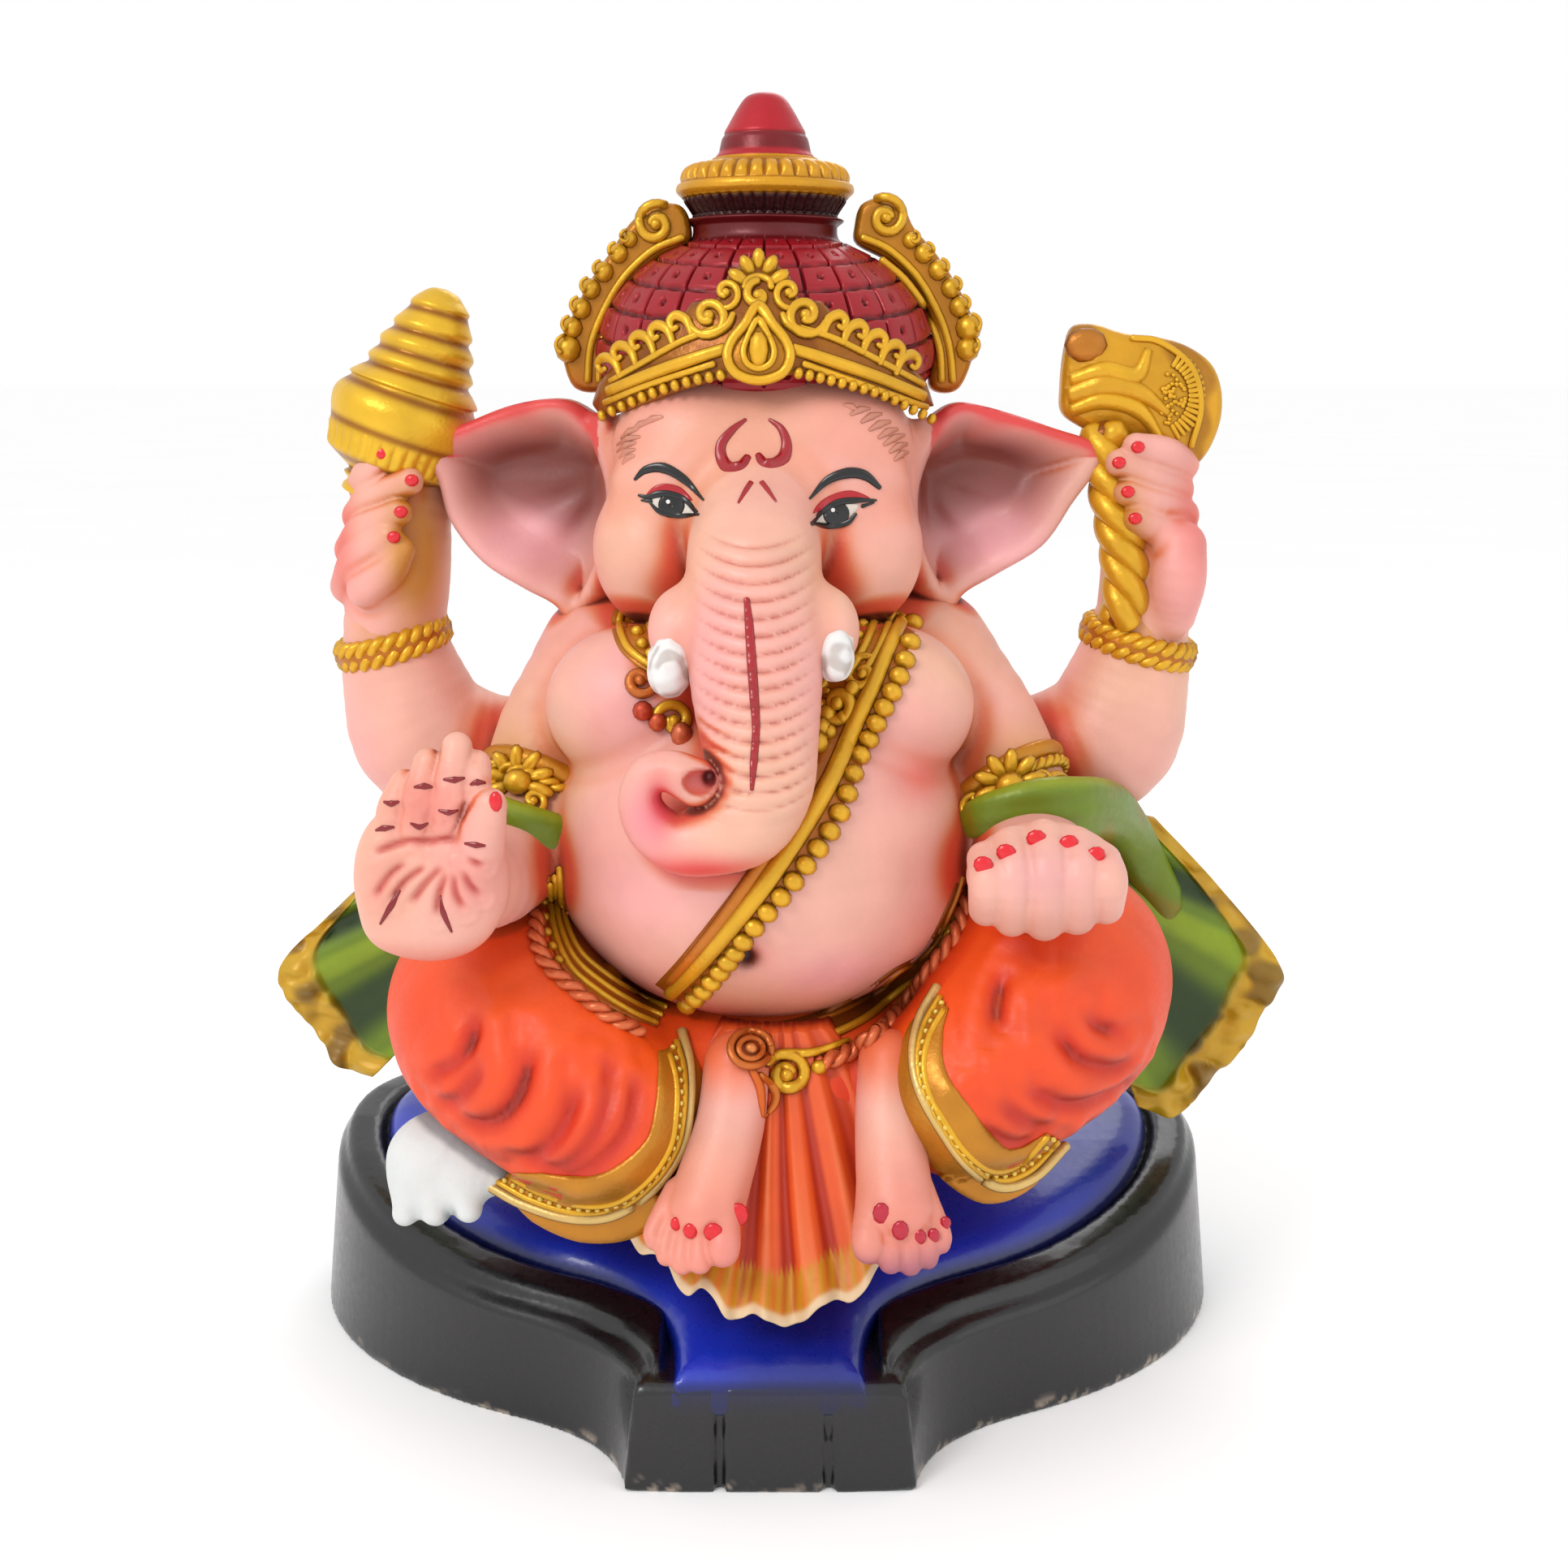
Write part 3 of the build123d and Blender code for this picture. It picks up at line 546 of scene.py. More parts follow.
# Meshes of the head field, with wrinkles across the trunk.
p, quads = head.mesh()
n = vertex_normals(p, quads)
labels = head.labels_at(p)
wrinkle_groove_shade = np.zeros(len(p))
front = (p[:, 1] < -34) & (np.abs(p[:, 0] + 1.5) < 19)
q = p[front]
down = 212 - q[:, 2] + 0.02 * (q[:, 0] + 1.5) ** 2
amount = smooth(206, 200, q[:, 2]) * smooth(146, 156, q[:, 2]) * smooth(14, 6, np.abs(q[:, 0] + 1.5))
amount *= smooth(0.1, -0.35, n[front][:, 1])
amount *= smooth(5.5, 9.0, np.linalg.norm(q - line[-1, :3], axis=1))
wave = np.sin(down * np.pi / 3.4)
p[front] += n[front] * (1.15 * (np.abs(wave) ** 0.7 - 0.6) * amount)[:, None]
wrinkle_groove_shade[front] = amount * smooth(0.4, 0.0, np.abs(wave))
# Folds in the ears, fanning out from the inner lower corner.
for label, hub, out in ((EAR_L, (-36, 214), -1), (EAR_R, (34, 214), 1)):
    ear = (labels == label) & (n[:, 1] < -0.3)
    q = p[ear]
    angle = np.arctan2(q[:, 2] - hub[1], (q[:, 0] - hub[0]) * out)
    away = np.hypot(q[:, 0] - hub[0], q[:, 2] - hub[1])
    p[ear, 1] += 0.5 * np.sin(angle * 11) * smooth(6, 14, away) * smooth(38, 24, away)
n = vertex_normals(p, quads)
head_paint = skin_paint(p, n, (head, body))
# Darker red in the grooves of the trunk's wrinkles is painted shade.
head_paint = mix(head_paint, srgb(196, 84, 74), 0.55 * wrinkle_groove_shade)
for x in (-56, 52):
    # Brown in the upper hollow of each ear is painted shade.
    hollow = spot(p, (x, -6, 214), (17, 9, 11)) + 0.7 * spot(p, (x * 0.8, -6, 207), (9, 9, 14))
    inside = (np.abs(p[:, 0]) > 34) * (n[:, 1] < 0.2)
    head_paint = mix(head_paint, srgb(128, 54, 44), np.clip(1.1 * hollow, 0, 0.9) * inside)
    pale = spot(p, (x * 1.02, -6, 198), (13, 9, 8))
    head_paint = mix(head_paint, srgb(248, 190, 196), np.clip(pale, 0, 0.75) * (np.abs(p[:, 0]) > 36))
rim = (np.abs(p[:, 0]) > 38) & (p[:, 2] > 218) & (p[:, 1] < -8)
head_paint = mix(head_paint, srgb(222, 50, 52), 0.85 * rim * smooth(-0.9, 0.2, n[:, 2]))
# Red inside and under the trunk's curl: partly the trunk's red paint, partly painted shade in the curl.
curl = spot(p, (-20.8, -77, 151.5), (2.6, 8, 6)) + spot(p, (-13, -80, 137.6), (13, 8, 3.4))
head_paint = mix(head_paint, srgb(232, 70, 70), 0.85 * np.clip(curl, 0, 1))
head_paint = mix(head_paint, srgb(240, 130, 160), 0.5 * np.clip(spot(p, (-24, -80, 148), (6, 9, 8)), 0, 1))
# Dark red round the opening at the trunk's tip and near black inside it are painted shade in the hollow.
head_paint = mix(
    head_paint, srgb(198, 84, 104), 0.8 * np.clip(spot(p, (-12.6, -80, 156.2), (4.0, 3, 2.6)), 0, 1)
)
head_paint = mix(
    head_paint, srgb(84, 20, 34), 0.9 * np.clip(spot(p, (-10.8, -79, 156.6), (1.5, 4, 1.7)), 0, 1)
)
head_mesh = (p, quads)
HEAD_PIECES = (
    ("head_skin", HEAD, "head"),
    ("trunk_skin", TRUNK, "trunk"),
    ("left_ear_skin", EAR_L, "left_ear"),
    ("right_ear_skin", EAR_R, "right_ear"),
)
make_parts((p, quads, n, labels), head_paint, HEAD_PIECES, SKIN_PAINT)

p, quads = body.mesh()
n = vertex_normals(p, quads)
labels = body.labels_at(p)
body_paint = skin_paint(p, n, (body, head))
# Amber on the lower front of the belly, stronger towards the bottom where it meets the lap: partly
# airbrushed amber, partly painted shade.
lower_belly_amber_shade = smooth(118, 94, p[:, 2] + 0.12 * np.abs(p[:, 0])) * (n[:, 1] < 0)
body_paint = mix(body_paint, srgb(206, 108, 50), 0.55 * lower_belly_amber_shade)
for place, size in (
    ((-58, -34, 150), (13, 14, 9)), ((60, -34, 150), (13, 14, 9)), ((90, -8, 182), (9, 14, 9)),
    ((-88, -8, 180), (8, 14, 8))
):
    body_paint = mix(body_paint, GOLD_SPRAY, 0.7 * np.clip(spot(p, place, size), 0, 1))
# Red under the right chest lobe and beside the navel: partly airbrushed red, partly painted shade in these
# folds.
red = spot(p, (33, -46, 150), (8, 10, 5)) + spot(p, (-6, -66, 116), (6, 8, 4))
body_paint = mix(body_paint, srgb(226, 70, 56), 0.6 * np.clip(red, 0, 1))
rose = spot(p, (-22, -60, 128), (14, 14, 12)) + spot(p, (18, -66, 108), (14, 14, 8))
body_paint = mix(body_paint, srgb(244, 160, 190), 0.35 * np.clip(rose, 0, 1))
# Near black in the navel is painted shade in the hollow.
body_paint = mix(
    body_paint, srgb(48, 20, 18), 0.95 * np.clip(1.3 * spot(p, (-3.8, -68, 114.8), (2.5, 9, 2.5)), 0, 1)
)
body_mesh = (p, quads)
BODY_PIECES = (
    ("torso_skin", TORSO, "torso"),
    ("left_front_arm_skin", FRONT_L, "left_front_arm"),
    ("right_front_arm_skin", FRONT_R, "right_front_arm"),
    ("left_rear_arm_skin", REAR_L, "left_rear_arm"),
    ("right_rear_arm_skin", REAR_R, "right_rear_arm"),
)
make_parts((p, quads, n, labels), body_paint, BODY_PIECES, SKIN_PAINT)


# ---------------------------------------------------------------- hands
def hand_piece(name, field, paint, nodes, creases=()):
    p, quads = field.mesh()
    n = vertex_normals(p, quads)
    tint = crease((p, quads), n, paint(p, n), creases, 0.75, 0.75, srgb(196, 70, 60))
    n = vertex_normals(p, quads)
    make(name, p, quads, tint, SKIN_PAINT, nodes, n)
    return p, quads


palm = Field((-88, -86, 112), (-44, -56, 172), 0.5)
palm.egg((-68.5, -73, 136), (14.8, 6.5, 17.5), 0)
palm.egg((-60.4, -75, 135.4), (7.5, 6.5, 12), 3, 0, (0, -12, 0))
palm.egg((-78.0, -75, 133.7), (6.5, 6, 13), 3)
palm.egg((-69.6, -74, 124.8), (13, 6.5, 8), 3)
FINGERS = [
    [(-77.7, -75, 142.3, 3.3), (-75.1, -76, 150.6, 3.3), (-73.3, -75, 154.8, 2.9)],
    [(-71.8, -76, 142.5, 3.5), (-69.5, -77.5, 152.3, 3.6), (-68.1, -76, 159.3, 3.0)],
    [(-65.6, -76, 142.8, 3.6), (-63.2, -78, 154.1, 3.8), (-62.1, -76, 162.5, 3.1)],
    [(-59.9, -75, 147.7, 3.4), (-58.6, -77, 155.2, 3.4), (-58.4, -75, 158.8, 2.9)],
]
for finger in FINGERS:
    palm.limb([f[:3] for f in finger], [f[3] for f in finger], 1.0)
palm.limb([(-58.8, -76, 137.1), (-57.1, -79, 144.6), (-55.1, -80, 151.2)], [5.5, 4.8, 3.4], 1.6)
palm.limb([(-64, -62, 130), (-66, -72, 130)], [9.5, 9], 3)
CREASES = [
    [(-79.7, -81, 141.4), (-72.9, -82, 144.0), (-66.7, -82, 144.3), (-61.2, -82, 145.0)],
    [(-71.6, -81, 140.0), (-75.7, -81, 137.0), (-80.1, -80, 131.3)],
    [(-67.8, -81, 139.4), (-72.8, -81, 135.6), (-76.5, -80, 130.6)],
    [(-64.5, -81, 139.4), (-68.9, -81, 135.0), (-72.6, -80, 129.9)],
    [(-63.9, -81, 138.3), (-66.0, -81, 132.9), (-67.1, -80, 127.2)],
    [(-62.6, -81, 138.3), (-62.7, -81, 133.3), (-60.8, -80, 128.6)],
    [(-61.3, -81, 138.7), (-59.6, -82, 135.2), (-57.1, -80, 131.6)],
    [(-60.9, -81, 140.7), (-58.0, -83, 139.9), (-55.6, -82, 138.6)],
    [(-76.9, -80, 150.5), (-73.4, -80, 150.5)],
    [(-70.5, -82, 154.6), (-65.7, -82, 154.6)],
    [(-72.3, -82, 150.0), (-66.9, -82, 149.3)],
    [(-65.2, -82, 151.0), (-60.7, -82, 150.6)],
    [(-64.0, -82, 157.4), (-59.1, -82, 157.2)],
    [(-59.4, -81, 155.0), (-54.2, -81, 155.0)],
]


def palm_paint(p, n):
    paint = skin_paint(p, n, (palm,))
    rosy = spot(p, (-68.4, -80, 151.5), (9, 9, 9)) + 0.5 * spot(p, (-78.0, -80, 134.0), (5, 9, 9))
    rosy = rosy + 0.6 * spot(p, (-59.6, -80, 135.0), (6, 9, 6))
    paint = mix(paint, srgb(232, 120, 108), 0.55 * np.clip(rosy, 0, 1))
    return mix(paint, srgb(230, 80, 50), 0.5 * smooth(124, 116, p[:, 2]))


palm_mesh = hand_piece("blessing_hand_skin", palm, palm_paint, ["blessing_hand"], creases=CREASES)

fist = Field((38, -84, 108), (82, -50, 152), 0.5)
fist.egg((59.5, -66, 133), (16.5, 9.5, 11.5), 0)
for x, top, low, r in (
    (46.5, 137, 127, 3.7), (52, 140, 125, 4.0), (58.8, 141.2, 124.5, 4.4), (65.6, 139.8, 125.5, 4.1),
    (71.6, 136.5, 127.5, 3.8)
):
    knuckle = (x, -74.5, (top + low) / 2 + 2)
    fist.limb([(x, -68, top), knuckle, (x + 0.3, -71, low)], [r, r + 0.3, r], 1.1)
fist.limb([(60, -56, 131), (60, -66, 132)], [11, 10], 3)
for a, b in (
    ((48.9, -80, 130.2), (49.6, -79, 127.1)), ((54.7, -80, 132.6), (55.5, -79, 126.0)),
    ((62.1, -80, 134.3), (62.5, -79, 127.7)), ((71.0, -79, 129.9), (71.2, -78, 128.5))
):
    fist.limb([a, b], [1.1, 0.5], 0.9, carve=True)


def fist_paint(p, n):
    paint = skin_paint(p, n, (fist,), 0.5)
    paint = mix(paint, srgb(236, 176, 186), 0.5 * spot(p, (57, -76, 136), (10, 9, 6)))
    return mix(paint, srgb(196, 130, 110), 0.5 * smooth(130, 122, p[:, 2]))


fist_mesh = hand_piece("offering_hand_skin", fist, fist_paint, ["offering_hand"])

grip_l = Field((-108, -24, 168), (-66, 18, 226), 0.5)
grip_l.limb([(-89, -1, 174), (-88, -1, 190), (-86, 0, 206), (-85, 0, 214)], [11.2, 12.6, 11.0, 8.0], 0)
for a, b, c in (
    ((-98.9, -4, 187.6), (-94.8, -11, 195.0), (-86.4, -16, 200.5)),
    ((-97.5, -4, 196.1), (-92.7, -11, 201.6), (-83.8, -16, 205.8)),
    ((-95.3, -4, 204.0), (-90.0, -11, 209.3), (-81.1, -16, 212.8)),
    ((-93.8, -4, 211.3), (-91.0, -11, 214.6), (-87.5, -14, 218.6)),
):
    grip_l.limb([a, b, c], [4.4, 4.0, 3.1], 1.0)
grip_l.limb([(-92.9, -13, 187.9), (-86.9, -15, 192.3), (-83.5, -16, 197.2)], [4.5, 4, 3], 2)

grip_r = Field((66, -24, 168), (108, 18, 226), 0.5)
grip_r.limb([(90, -1, 174), (91, -1, 190), (90, 0, 206), (89, 0, 212)], [11.2, 11.0, 10.0, 8.0], 0)
for a, b, c in (
    ((97.3, -4, 216.3), (91.6, -11, 218.9), (84.8, -15, 220.5)),
    ((96.3, -4, 210.3), (89.4, -11, 213.6), (81.1, -15, 216.9)),
    ((97.8, -4, 204.2), (90.9, -11, 207.1), (83.1, -15, 210.3)),
    ((99.3, -4, 198.1), (92.3, -11, 201.1), (85.4, -15, 204.3)),
):
    grip_r.limb([a, b, c], [4.4, 4.0, 3.2], 1.0)
grip_r.limb([(95.7, -10, 181.7), (96.0, -13, 189.9), (96.5, -12, 197.6)], [5.5, 6.5, 6], 2.5)


def grip_paint(field, side):
    def paint(p, n):
        out = skin_paint(p, n, (field,))
        out = mix(out, srgb(224, 60, 40), 0.65 * spot(p, (side * 99, -8, 200), (5, 12, 16)))
        gilt = spot(p, (side * 81, -14, 196), (6.5, 12, 17))
        return mix(out, GOLD_SPRAY, 0.9 * np.clip(1.4 * gilt, 0, 1))

    return paint


grip_l_mesh = hand_piece("left_rear_hand_skin", grip_l, grip_paint(grip_l, -1), ["left_rear_hand"])
grip_r_mesh = hand_piece("right_rear_hand_skin", grip_r, grip_paint(grip_r, 1), ["right_rear_hand"])

# ---------------------------------------------------------------- dhoti: hips and legs
HIPS, LEG_L, LEG_R = 1, 2, 3
LEG_LINE_L = [(-30, 16, 84), (-50, -10, 90), (-60, -31, 91.5), (-50, -46, 84), (-35, -56, 75)]
LEG_LINE_R = [(31, 16, 86), (54, -12, 95), (66, -31, 99), (58, -44, 90), (45, -54, 81)]
lap = Field((-100, -84, 40), (100, 60, 134), 0.8)
lap.egg((0, 14, 80), (64, 36, 37), 0, HIPS)
lap.egg((0, -34, 74), (44, 26, 24), 8, HIPS)
lap.limb(LEG_LINE_L, [31, 29, 28, 25, 20.5], 8, LEG_L)
lap.limb(LEG_LINE_R, [31, 30, 28.5, 25, 20.5], 8, LEG_R)
p, quads = lap.mesh()
n = vertex_normals(p, quads)
labels = lap.labels_at(p)
lap_paint = np.broadcast_to(ORANGE, p.shape).copy()
CREASES_L = [
    [(-65.0, -60, 102.5), (-63.6, -60, 96.5), (-67.1, -60, 89.1), (-74.9, -60, 84.4)],
    [(-62.5, -60, 92.5), (-63.4, -60, 85.8), (-68.0, -60, 80.4), (-73.1, -60, 80.0)],
    [(-53.2, -60, 94.5), (-52.1, -60, 88.5), (-54.6, -60, 80.4), (-60.5, -60, 74.6), (-68.8, -60, 76.3)],
    [(-41.0, -60, 86.4), (-41.8, -60, 80.4), (-45.2, -60, 72.2), (-51.1, -60, 66.7), (-56.9, -60, 67.1)],
    [(-36.4, -60, 93.1), (-34.1, -60, 84.4), (-36.8, -60, 73.6), (-44.1, -60, 64.7), (-53.1, -60, 64.7)],
    [(-29.2, -60, 88.5), (-28.4, -60, 80.4), (-31.7, -60, 70.8), (-40.3, -60, 62.6), (-48.1, -60, 60.5)],
]
CREASES_R = [
    [(70.4, -60, 103.3), (71.8, -60, 98.8), (75.5, -60, 95.9), (81.1, -60, 95.3)],
    [(64.5, -60, 100.1), (65.8, -60, 94.3), (70.2, -60, 89.1), (76.4, -60, 87.5), (82.5, -60, 89.8)],
    [(56.5, -60, 85.9), (60.6, -60, 81.3), (66.9, -60, 79.0), (74.2, -60, 80.7), (81.4, -60, 85.2)],
    [(54.6, -60, 112.2), (51.4, -60, 106.5), (50.7, -60, 98.8), (52.4, -60, 92.4)],
    [(50.1, -60, 82.6), (54.6, -60, 77.4), (60.8, -60, 74.1), (66.4, -60, 75.8)],
    [(45.9, -60, 78.1), (49.8, -60, 72.5), (56.0, -60, 69.8), (63.4, -60, 72.5)],
]
# The dark red along the dhoti's fold grooves is painted shade.
lap_paint = crease((p, quads), n, lap_paint, CREASES_L + CREASES_R, 2.0, 1.9, srgb(190, 26, 4))
n = vertex_normals(p, quads)
# Red and dark brown deepen towards the creases of the cloth: painted shade.
far = openness(p, n, 7.5, (lap, body))
lap_paint = mix(lap_paint, srgb(222, 60, 6), 0.8 * smooth(0.95, 0.4, far))
lap_paint = mix(lap_paint, srgb(120, 30, 8), 0.8 * smooth(0.5, 0.1, openness(p, n, 2.5, (lap, body))))
# Lighter orange on upward faces is painted light, dark red on downward faces painted shade.
lap_paint = mix(lap_paint, srgb(255, 124, 40), 0.4 * smooth(0.3, 0.95, n[:, 2]))
lap_paint = mix(lap_paint, srgb(120, 24, 10), 0.5 * smooth(-0.2, -0.9, n[:, 2]))
lap_mesh = (p, quads)
LAP_PIECES = (
    ("hips_wrap_cloth", HIPS, "hips_wrap"),
    ("left_leg_cloth", LEG_L, "left_leg"),
    ("right_leg_cloth", LEG_R, "right_leg"),
)
make_parts((p, quads, n, labels), lap_paint, LAP_PIECES, CLOTH_PAINT)


# ---------------------------------------------------------------- feet
def foot(name, ankle, shin, ball, toes, node, shaded=False):
    """A bare foot hanging out of the cloth; each toe is a place and a radius."""
    field = Field((min(ankle[0], ball[0]) - 22, -92, 40), (max(ankle[0], ball[0]) + 22, -40, 102), 0.5)
    field.limb([ankle, shin, ball], [7.2, 7.6, 8.4], 0)
    for x, y, z, r in toes:
        root = (ball[0] + (x - ball[0]) * 0.55, ball[1] + 2, ball[2] + 2.5)
        field.limb([root, (x, y + 1.5, z + 2), (x, y, z)], [r + 1.4, r + 0.2, r], 0.9)
    p, quads = field.mesh()
    n = vertex_normals(p, quads)
    paint = skin_paint(p, n, (field,))
    paint = mix(paint, srgb(232, 120, 90), 0.45 * smooth(84, 62, p[:, 2]))
    paint = mix(paint, srgb(236, 116, 60), 0.85 * smooth(80, 92, p[:, 2]))
    # Dark purple over the right foot's toes is a painted shadow.
    if shaded:
        paint = mix(paint, srgb(120, 60, 120), 0.6 * smooth(58, 50, p[:, 2]))
    make(name, p, quads, paint, SKIN_PAINT, [node], n)
    return p, quads


TOES_L = [
    (-8.6, -82, 55.0, 3.6), (-13.4, -82.5, 52.6, 2.6), (-17.2, -82, 52.0, 2.4), (-20.6, -80.5, 53.0, 2.2),
    (-23.4, -78.5, 55.5, 2.0)
]
TOES_R = [
    (22.5, -81.5, 55.5, 3.6), (27.0, -82.5, 52.6, 2.6), (31.2, -82, 51.8, 2.5), (35.0, -80.5, 52.4, 2.3),
    (38.0, -78, 54.5, 2.1)
]
foot_l_mesh = foot("left_foot_skin", (-6, -58, 88), (-7.5, -64, 76), (-12.5, -74, 61), TOES_L, "left_foot")
foot_r_mesh = foot(
    "right_foot_skin", (28, -57, 88), (27.5, -64, 76), (28.5, -74, 61), TOES_R, "right_foot", True
)

# ---------------------------------------------------------------- pleats hanging between the legs
ACROSS, DOWN = 240, 130
u, v = np.meshgrid(np.linspace(-1, 1, ACROSS), np.linspace(0, 1, DOWN), indexing="xy")
half = 12 + 20 * v**0.8 + 3.5 * v**4
phase = u * 21 + 1.6 * np.sin(2.3 * u + 0.7) + 0.5 * np.sin(5 * u + 3 * v)
folds = (np.cos(phase) + 0.25 * np.cos(2.3 * phase + 1)) * (0.5 + 1.2 * v) * (1 - 0.25 * np.abs(u))
hem = 1.7 * np.cos(phase * 0.8 + 0.6) * smooth(0.75, 1.0, v)
x = 2.5 + u * half
y = -55 - 22 * v + 12 * u**2 * v + 4 * u**2 - folds * 0.9 - 3.0 * smooth(0.85, 1.0, v)
z = 94 - (57 - 17 * np.abs(u) ** 1.6) * v + hem
front = np.stack([x, y, z], -1).reshape(-1, 3)
back = front + [0, 5.0, 0.8]
index = np.arange(ACROSS * DOWN).reshape(DOWN, ACROSS)
quad = np.stack([index[:-1, :-1], index[1:, :-1], index[1:, 1:], index[:-1, 1:]], -1).reshape(-1, 4)
loop = np.concatenate([index[0], index[1:, -1], index[-1, -2::-1], index[-2:0:-1, 0]])
side = np.stack([loop, np.roll(loop, -1), np.roll(loop, -1) + len(front), loop + len(front)], -1)
pleat_quads = np.vstack([quad, quad[:, ::-1] + len(front), side])
paint = np.broadcast_to(srgb(238, 112, 50), front.shape).copy()
# The pleats' fold valleys are darker and their crests lighter: painted shade and painted highlight.
valley_shade = smooth(0.2, -1.1, folds).ravel()
paint = mix(paint, srgb(186, 50, 22), 0.85 * valley_shade)
paint = mix(paint, srgb(246, 160, 110), 0.4 * smooth(0.6, 1.2, folds).ravel())
glints = 0.75 + 0.25 * np.sin(u.ravel() * 90 + 20 * v.ravel())
gilt = smooth(0.83, 0.86, v + 0.015 * np.sin(9 * phase)).ravel() * glints
paint = mix(paint, srgb(214, 158, 40), gilt)
paint = mix(paint, srgb(232, 206, 170), smooth(0.955, 0.975, v).ravel())
pleat_points = np.vstack([front, back])
PLEAT_TREE = tree(pleat_points, pleat_quads)
make(
    "dhoti_pleats_cloth", pleat_points, pleat_quads, np.vstack([paint, paint]), CLOTH_PAINT,
    ["dhoti_pleats"]
)

# ---------------------------------------------------------------- plinth and seat
BACK_REACH, FRONT_REACH, HALF_WIDTH, MIDDLE_Y = 65.0, 87.0, 117.0, 20.0  # of the oval plan
NOSE_X, GROOVES_X = (-30.0, 33.0), (-9.5, 14.0)
NOSE_BLEND, SEAT_BLEND = 30.0, 26.0  # how softly the nose runs into the oval
angle = np.linspace(0, 2 * np.pi, 160, endpoint=False)
reach = np.where(np.sin(angle) > 0, BACK_REACH, FRONT_REACH)
oval = np.column_stack([HALF_WIDTH * np.cos(angle), MIDDLE_Y + reach * np.sin(angle)])


def top_height(y):
    """Height of the plinth's top at a depth, rising towards the back."""
    depths, heights = [-90, -62, -48, -34, -18, 0, 16, 32, 90], [25.5, 26, 28, 31, 35.5, 40.5, 44, 46, 47.5]
    return np.interp(y, depths, heights)


plinth = Field((-124, -92, -4), (124, 92, 62), 1.0)
gx, gy = np.meshgrid(plinth.axes[0], plinth.axes[1], indexing="ij")
d_oval = polygon_distance(gx, gy, oval)
nose_box = np.maximum(np.maximum(NOSE_X[0] - gx, gx - NOSE_X[1]), np.maximum(-85 - gy, gy + 20))
blend = np.clip(0.5 + 0.5 * (nose_box - d_oval) / NOSE_BLEND, 0, 1)
plan = nose_box * (1 - blend) + d_oval * blend - NOSE_BLEND * blend * (1 - blend)
plan3, z3, top3 = plan[:, :, None], plinth.axes[2][None, None, :], top_height(gy)[:, :, None]
in_nose = (smooth(25, 19, np.abs(gx - 1.5)) * smooth(-44, -56, gy))[:, :, None]


def meet(a, b, k):
    """The space in both, with a rounded edge."""
    m = np.clip(0.5 - 0.5 * (a - b) / k, 0, 1)
    return a * (1 - m) + b * m + k * m * (1 - m)


wall = meet(plan3 + 0.1 * z3 + 0.6, z3 - top3 + 1.5, 3.0)
wall = meet(wall, -z3 - 0.02, 0.6)
rim = meet(np.abs(plan3 + 8.5 + 3.0) - 4.6, np.abs(z3 - top3 + 1.0) - 3.2, 3.0) + 14 * in_nose
m = np.clip(0.5 + 0.5 * (wall - rim) / 2.5, 0, 1)
plinth.d[:] = wall * (1 - m) + rim * m - 2.5 * m * (1 - m)
hollow = meet(plan3 + 12, z3 - top3 + 9, 3.0)
plinth.d[:] = np.maximum(plinth.d, -hollow)
for x in GROOVES_X:
    plinth.limb([(x, -85.2, -3), (x, -83.0, 21), (x, -80, 26.5), (x, -70, 28)], [1.1] * 4, 0.6, carve=True)
p, quads = plinth.mesh()
n = vertex_normals(p, quads)
p[:, 2] = np.maximum(p[:, 2], 0.0)
plinth_paint = np.broadcast_to(srgb(28, 28, 32), p.shape).copy()
chips = smooth(0.35, 0.75, noise(p, 3.0, 21)) * smooth(3.2, 0.4, p[:, 2] + 1.2 * noise(p, 9, 22))
plinth_paint = mix(plinth_paint, srgb(178, 164, 148), 0.9 * chips * (n[:, 2] < 0.5))
blueish = smooth(-60, -76, p[:, 1]) * smooth(24, 18, np.abs(p[:, 0] - 1.5)) * smooth(16, 27, p[:, 2])
plinth_paint = mix(plinth_paint, srgb(20, 30, 96), 0.9 * blueish)
make("plinth_body", p, quads, plinth_paint, SATIN_PAINT, ["plinth_shell"], n)

seat = Field((-112, -92, 8), (112, 84, 66), 1.0)
gx, gy = np.meshgrid(seat.axes[0], seat.axes[1], indexing="ij")
d_oval = polygon_distance(gx, gy, oval)
nose_box = np.maximum(np.maximum(-20.5 - gx, gx - 23.0), np.maximum(-83.5 - gy, gy + 20))
inset = d_oval + 17.0
blend = np.clip(0.5 + 0.5 * (nose_box - inset) / SEAT_BLEND, 0, 1)
plan = (nose_box * (1 - blend) + inset * blend - SEAT_BLEND * blend * (1 - blend))[:, :, None]
z3 = seat.axes[2][None, None, :]
top3 = (top_height(gy) + 5.5 - 3.5 * smooth(-60, -82, gy))[:, :, None]
seat.d[:] = meet(meet(plan, z3 - top3, 9.0), top3 - 11 - z3, 2.0)
for x in GROOVES_X:
    seat.limb([(x, -86, 20), (x, -83.6, 26), (x, -78, 28.6), (x, -66, 31.6)], [0.9] * 4, 0.8, carve=True)
p, quads = seat.mesh()
n = vertex_normals(p, quads)
seat_paint = np.broadcast_to(BLUE, p.shape).copy()
cloud = noise(p, 34, 31)
seat_paint = mix(seat_paint, srgb(14, 24, 92), 0.6 * smooth(0.1, 1.0, cloud))
# Near black on the seat's sides is painted shade, and near the lap a painted shadow of the idol.
seat_paint = mix(seat_paint, srgb(6, 8, 26), 0.8 * smooth(0.75, 0.25, n[:, 2]))
seat_paint = mix(seat_paint, srgb(8, 10, 34), 0.8 * smooth(0.8, 0.2, openness(p, n, 8.0, (lap,))))
make("seat_satin", p, quads, seat_paint, SATIN_PAINT, ["seat_cushion"], n)


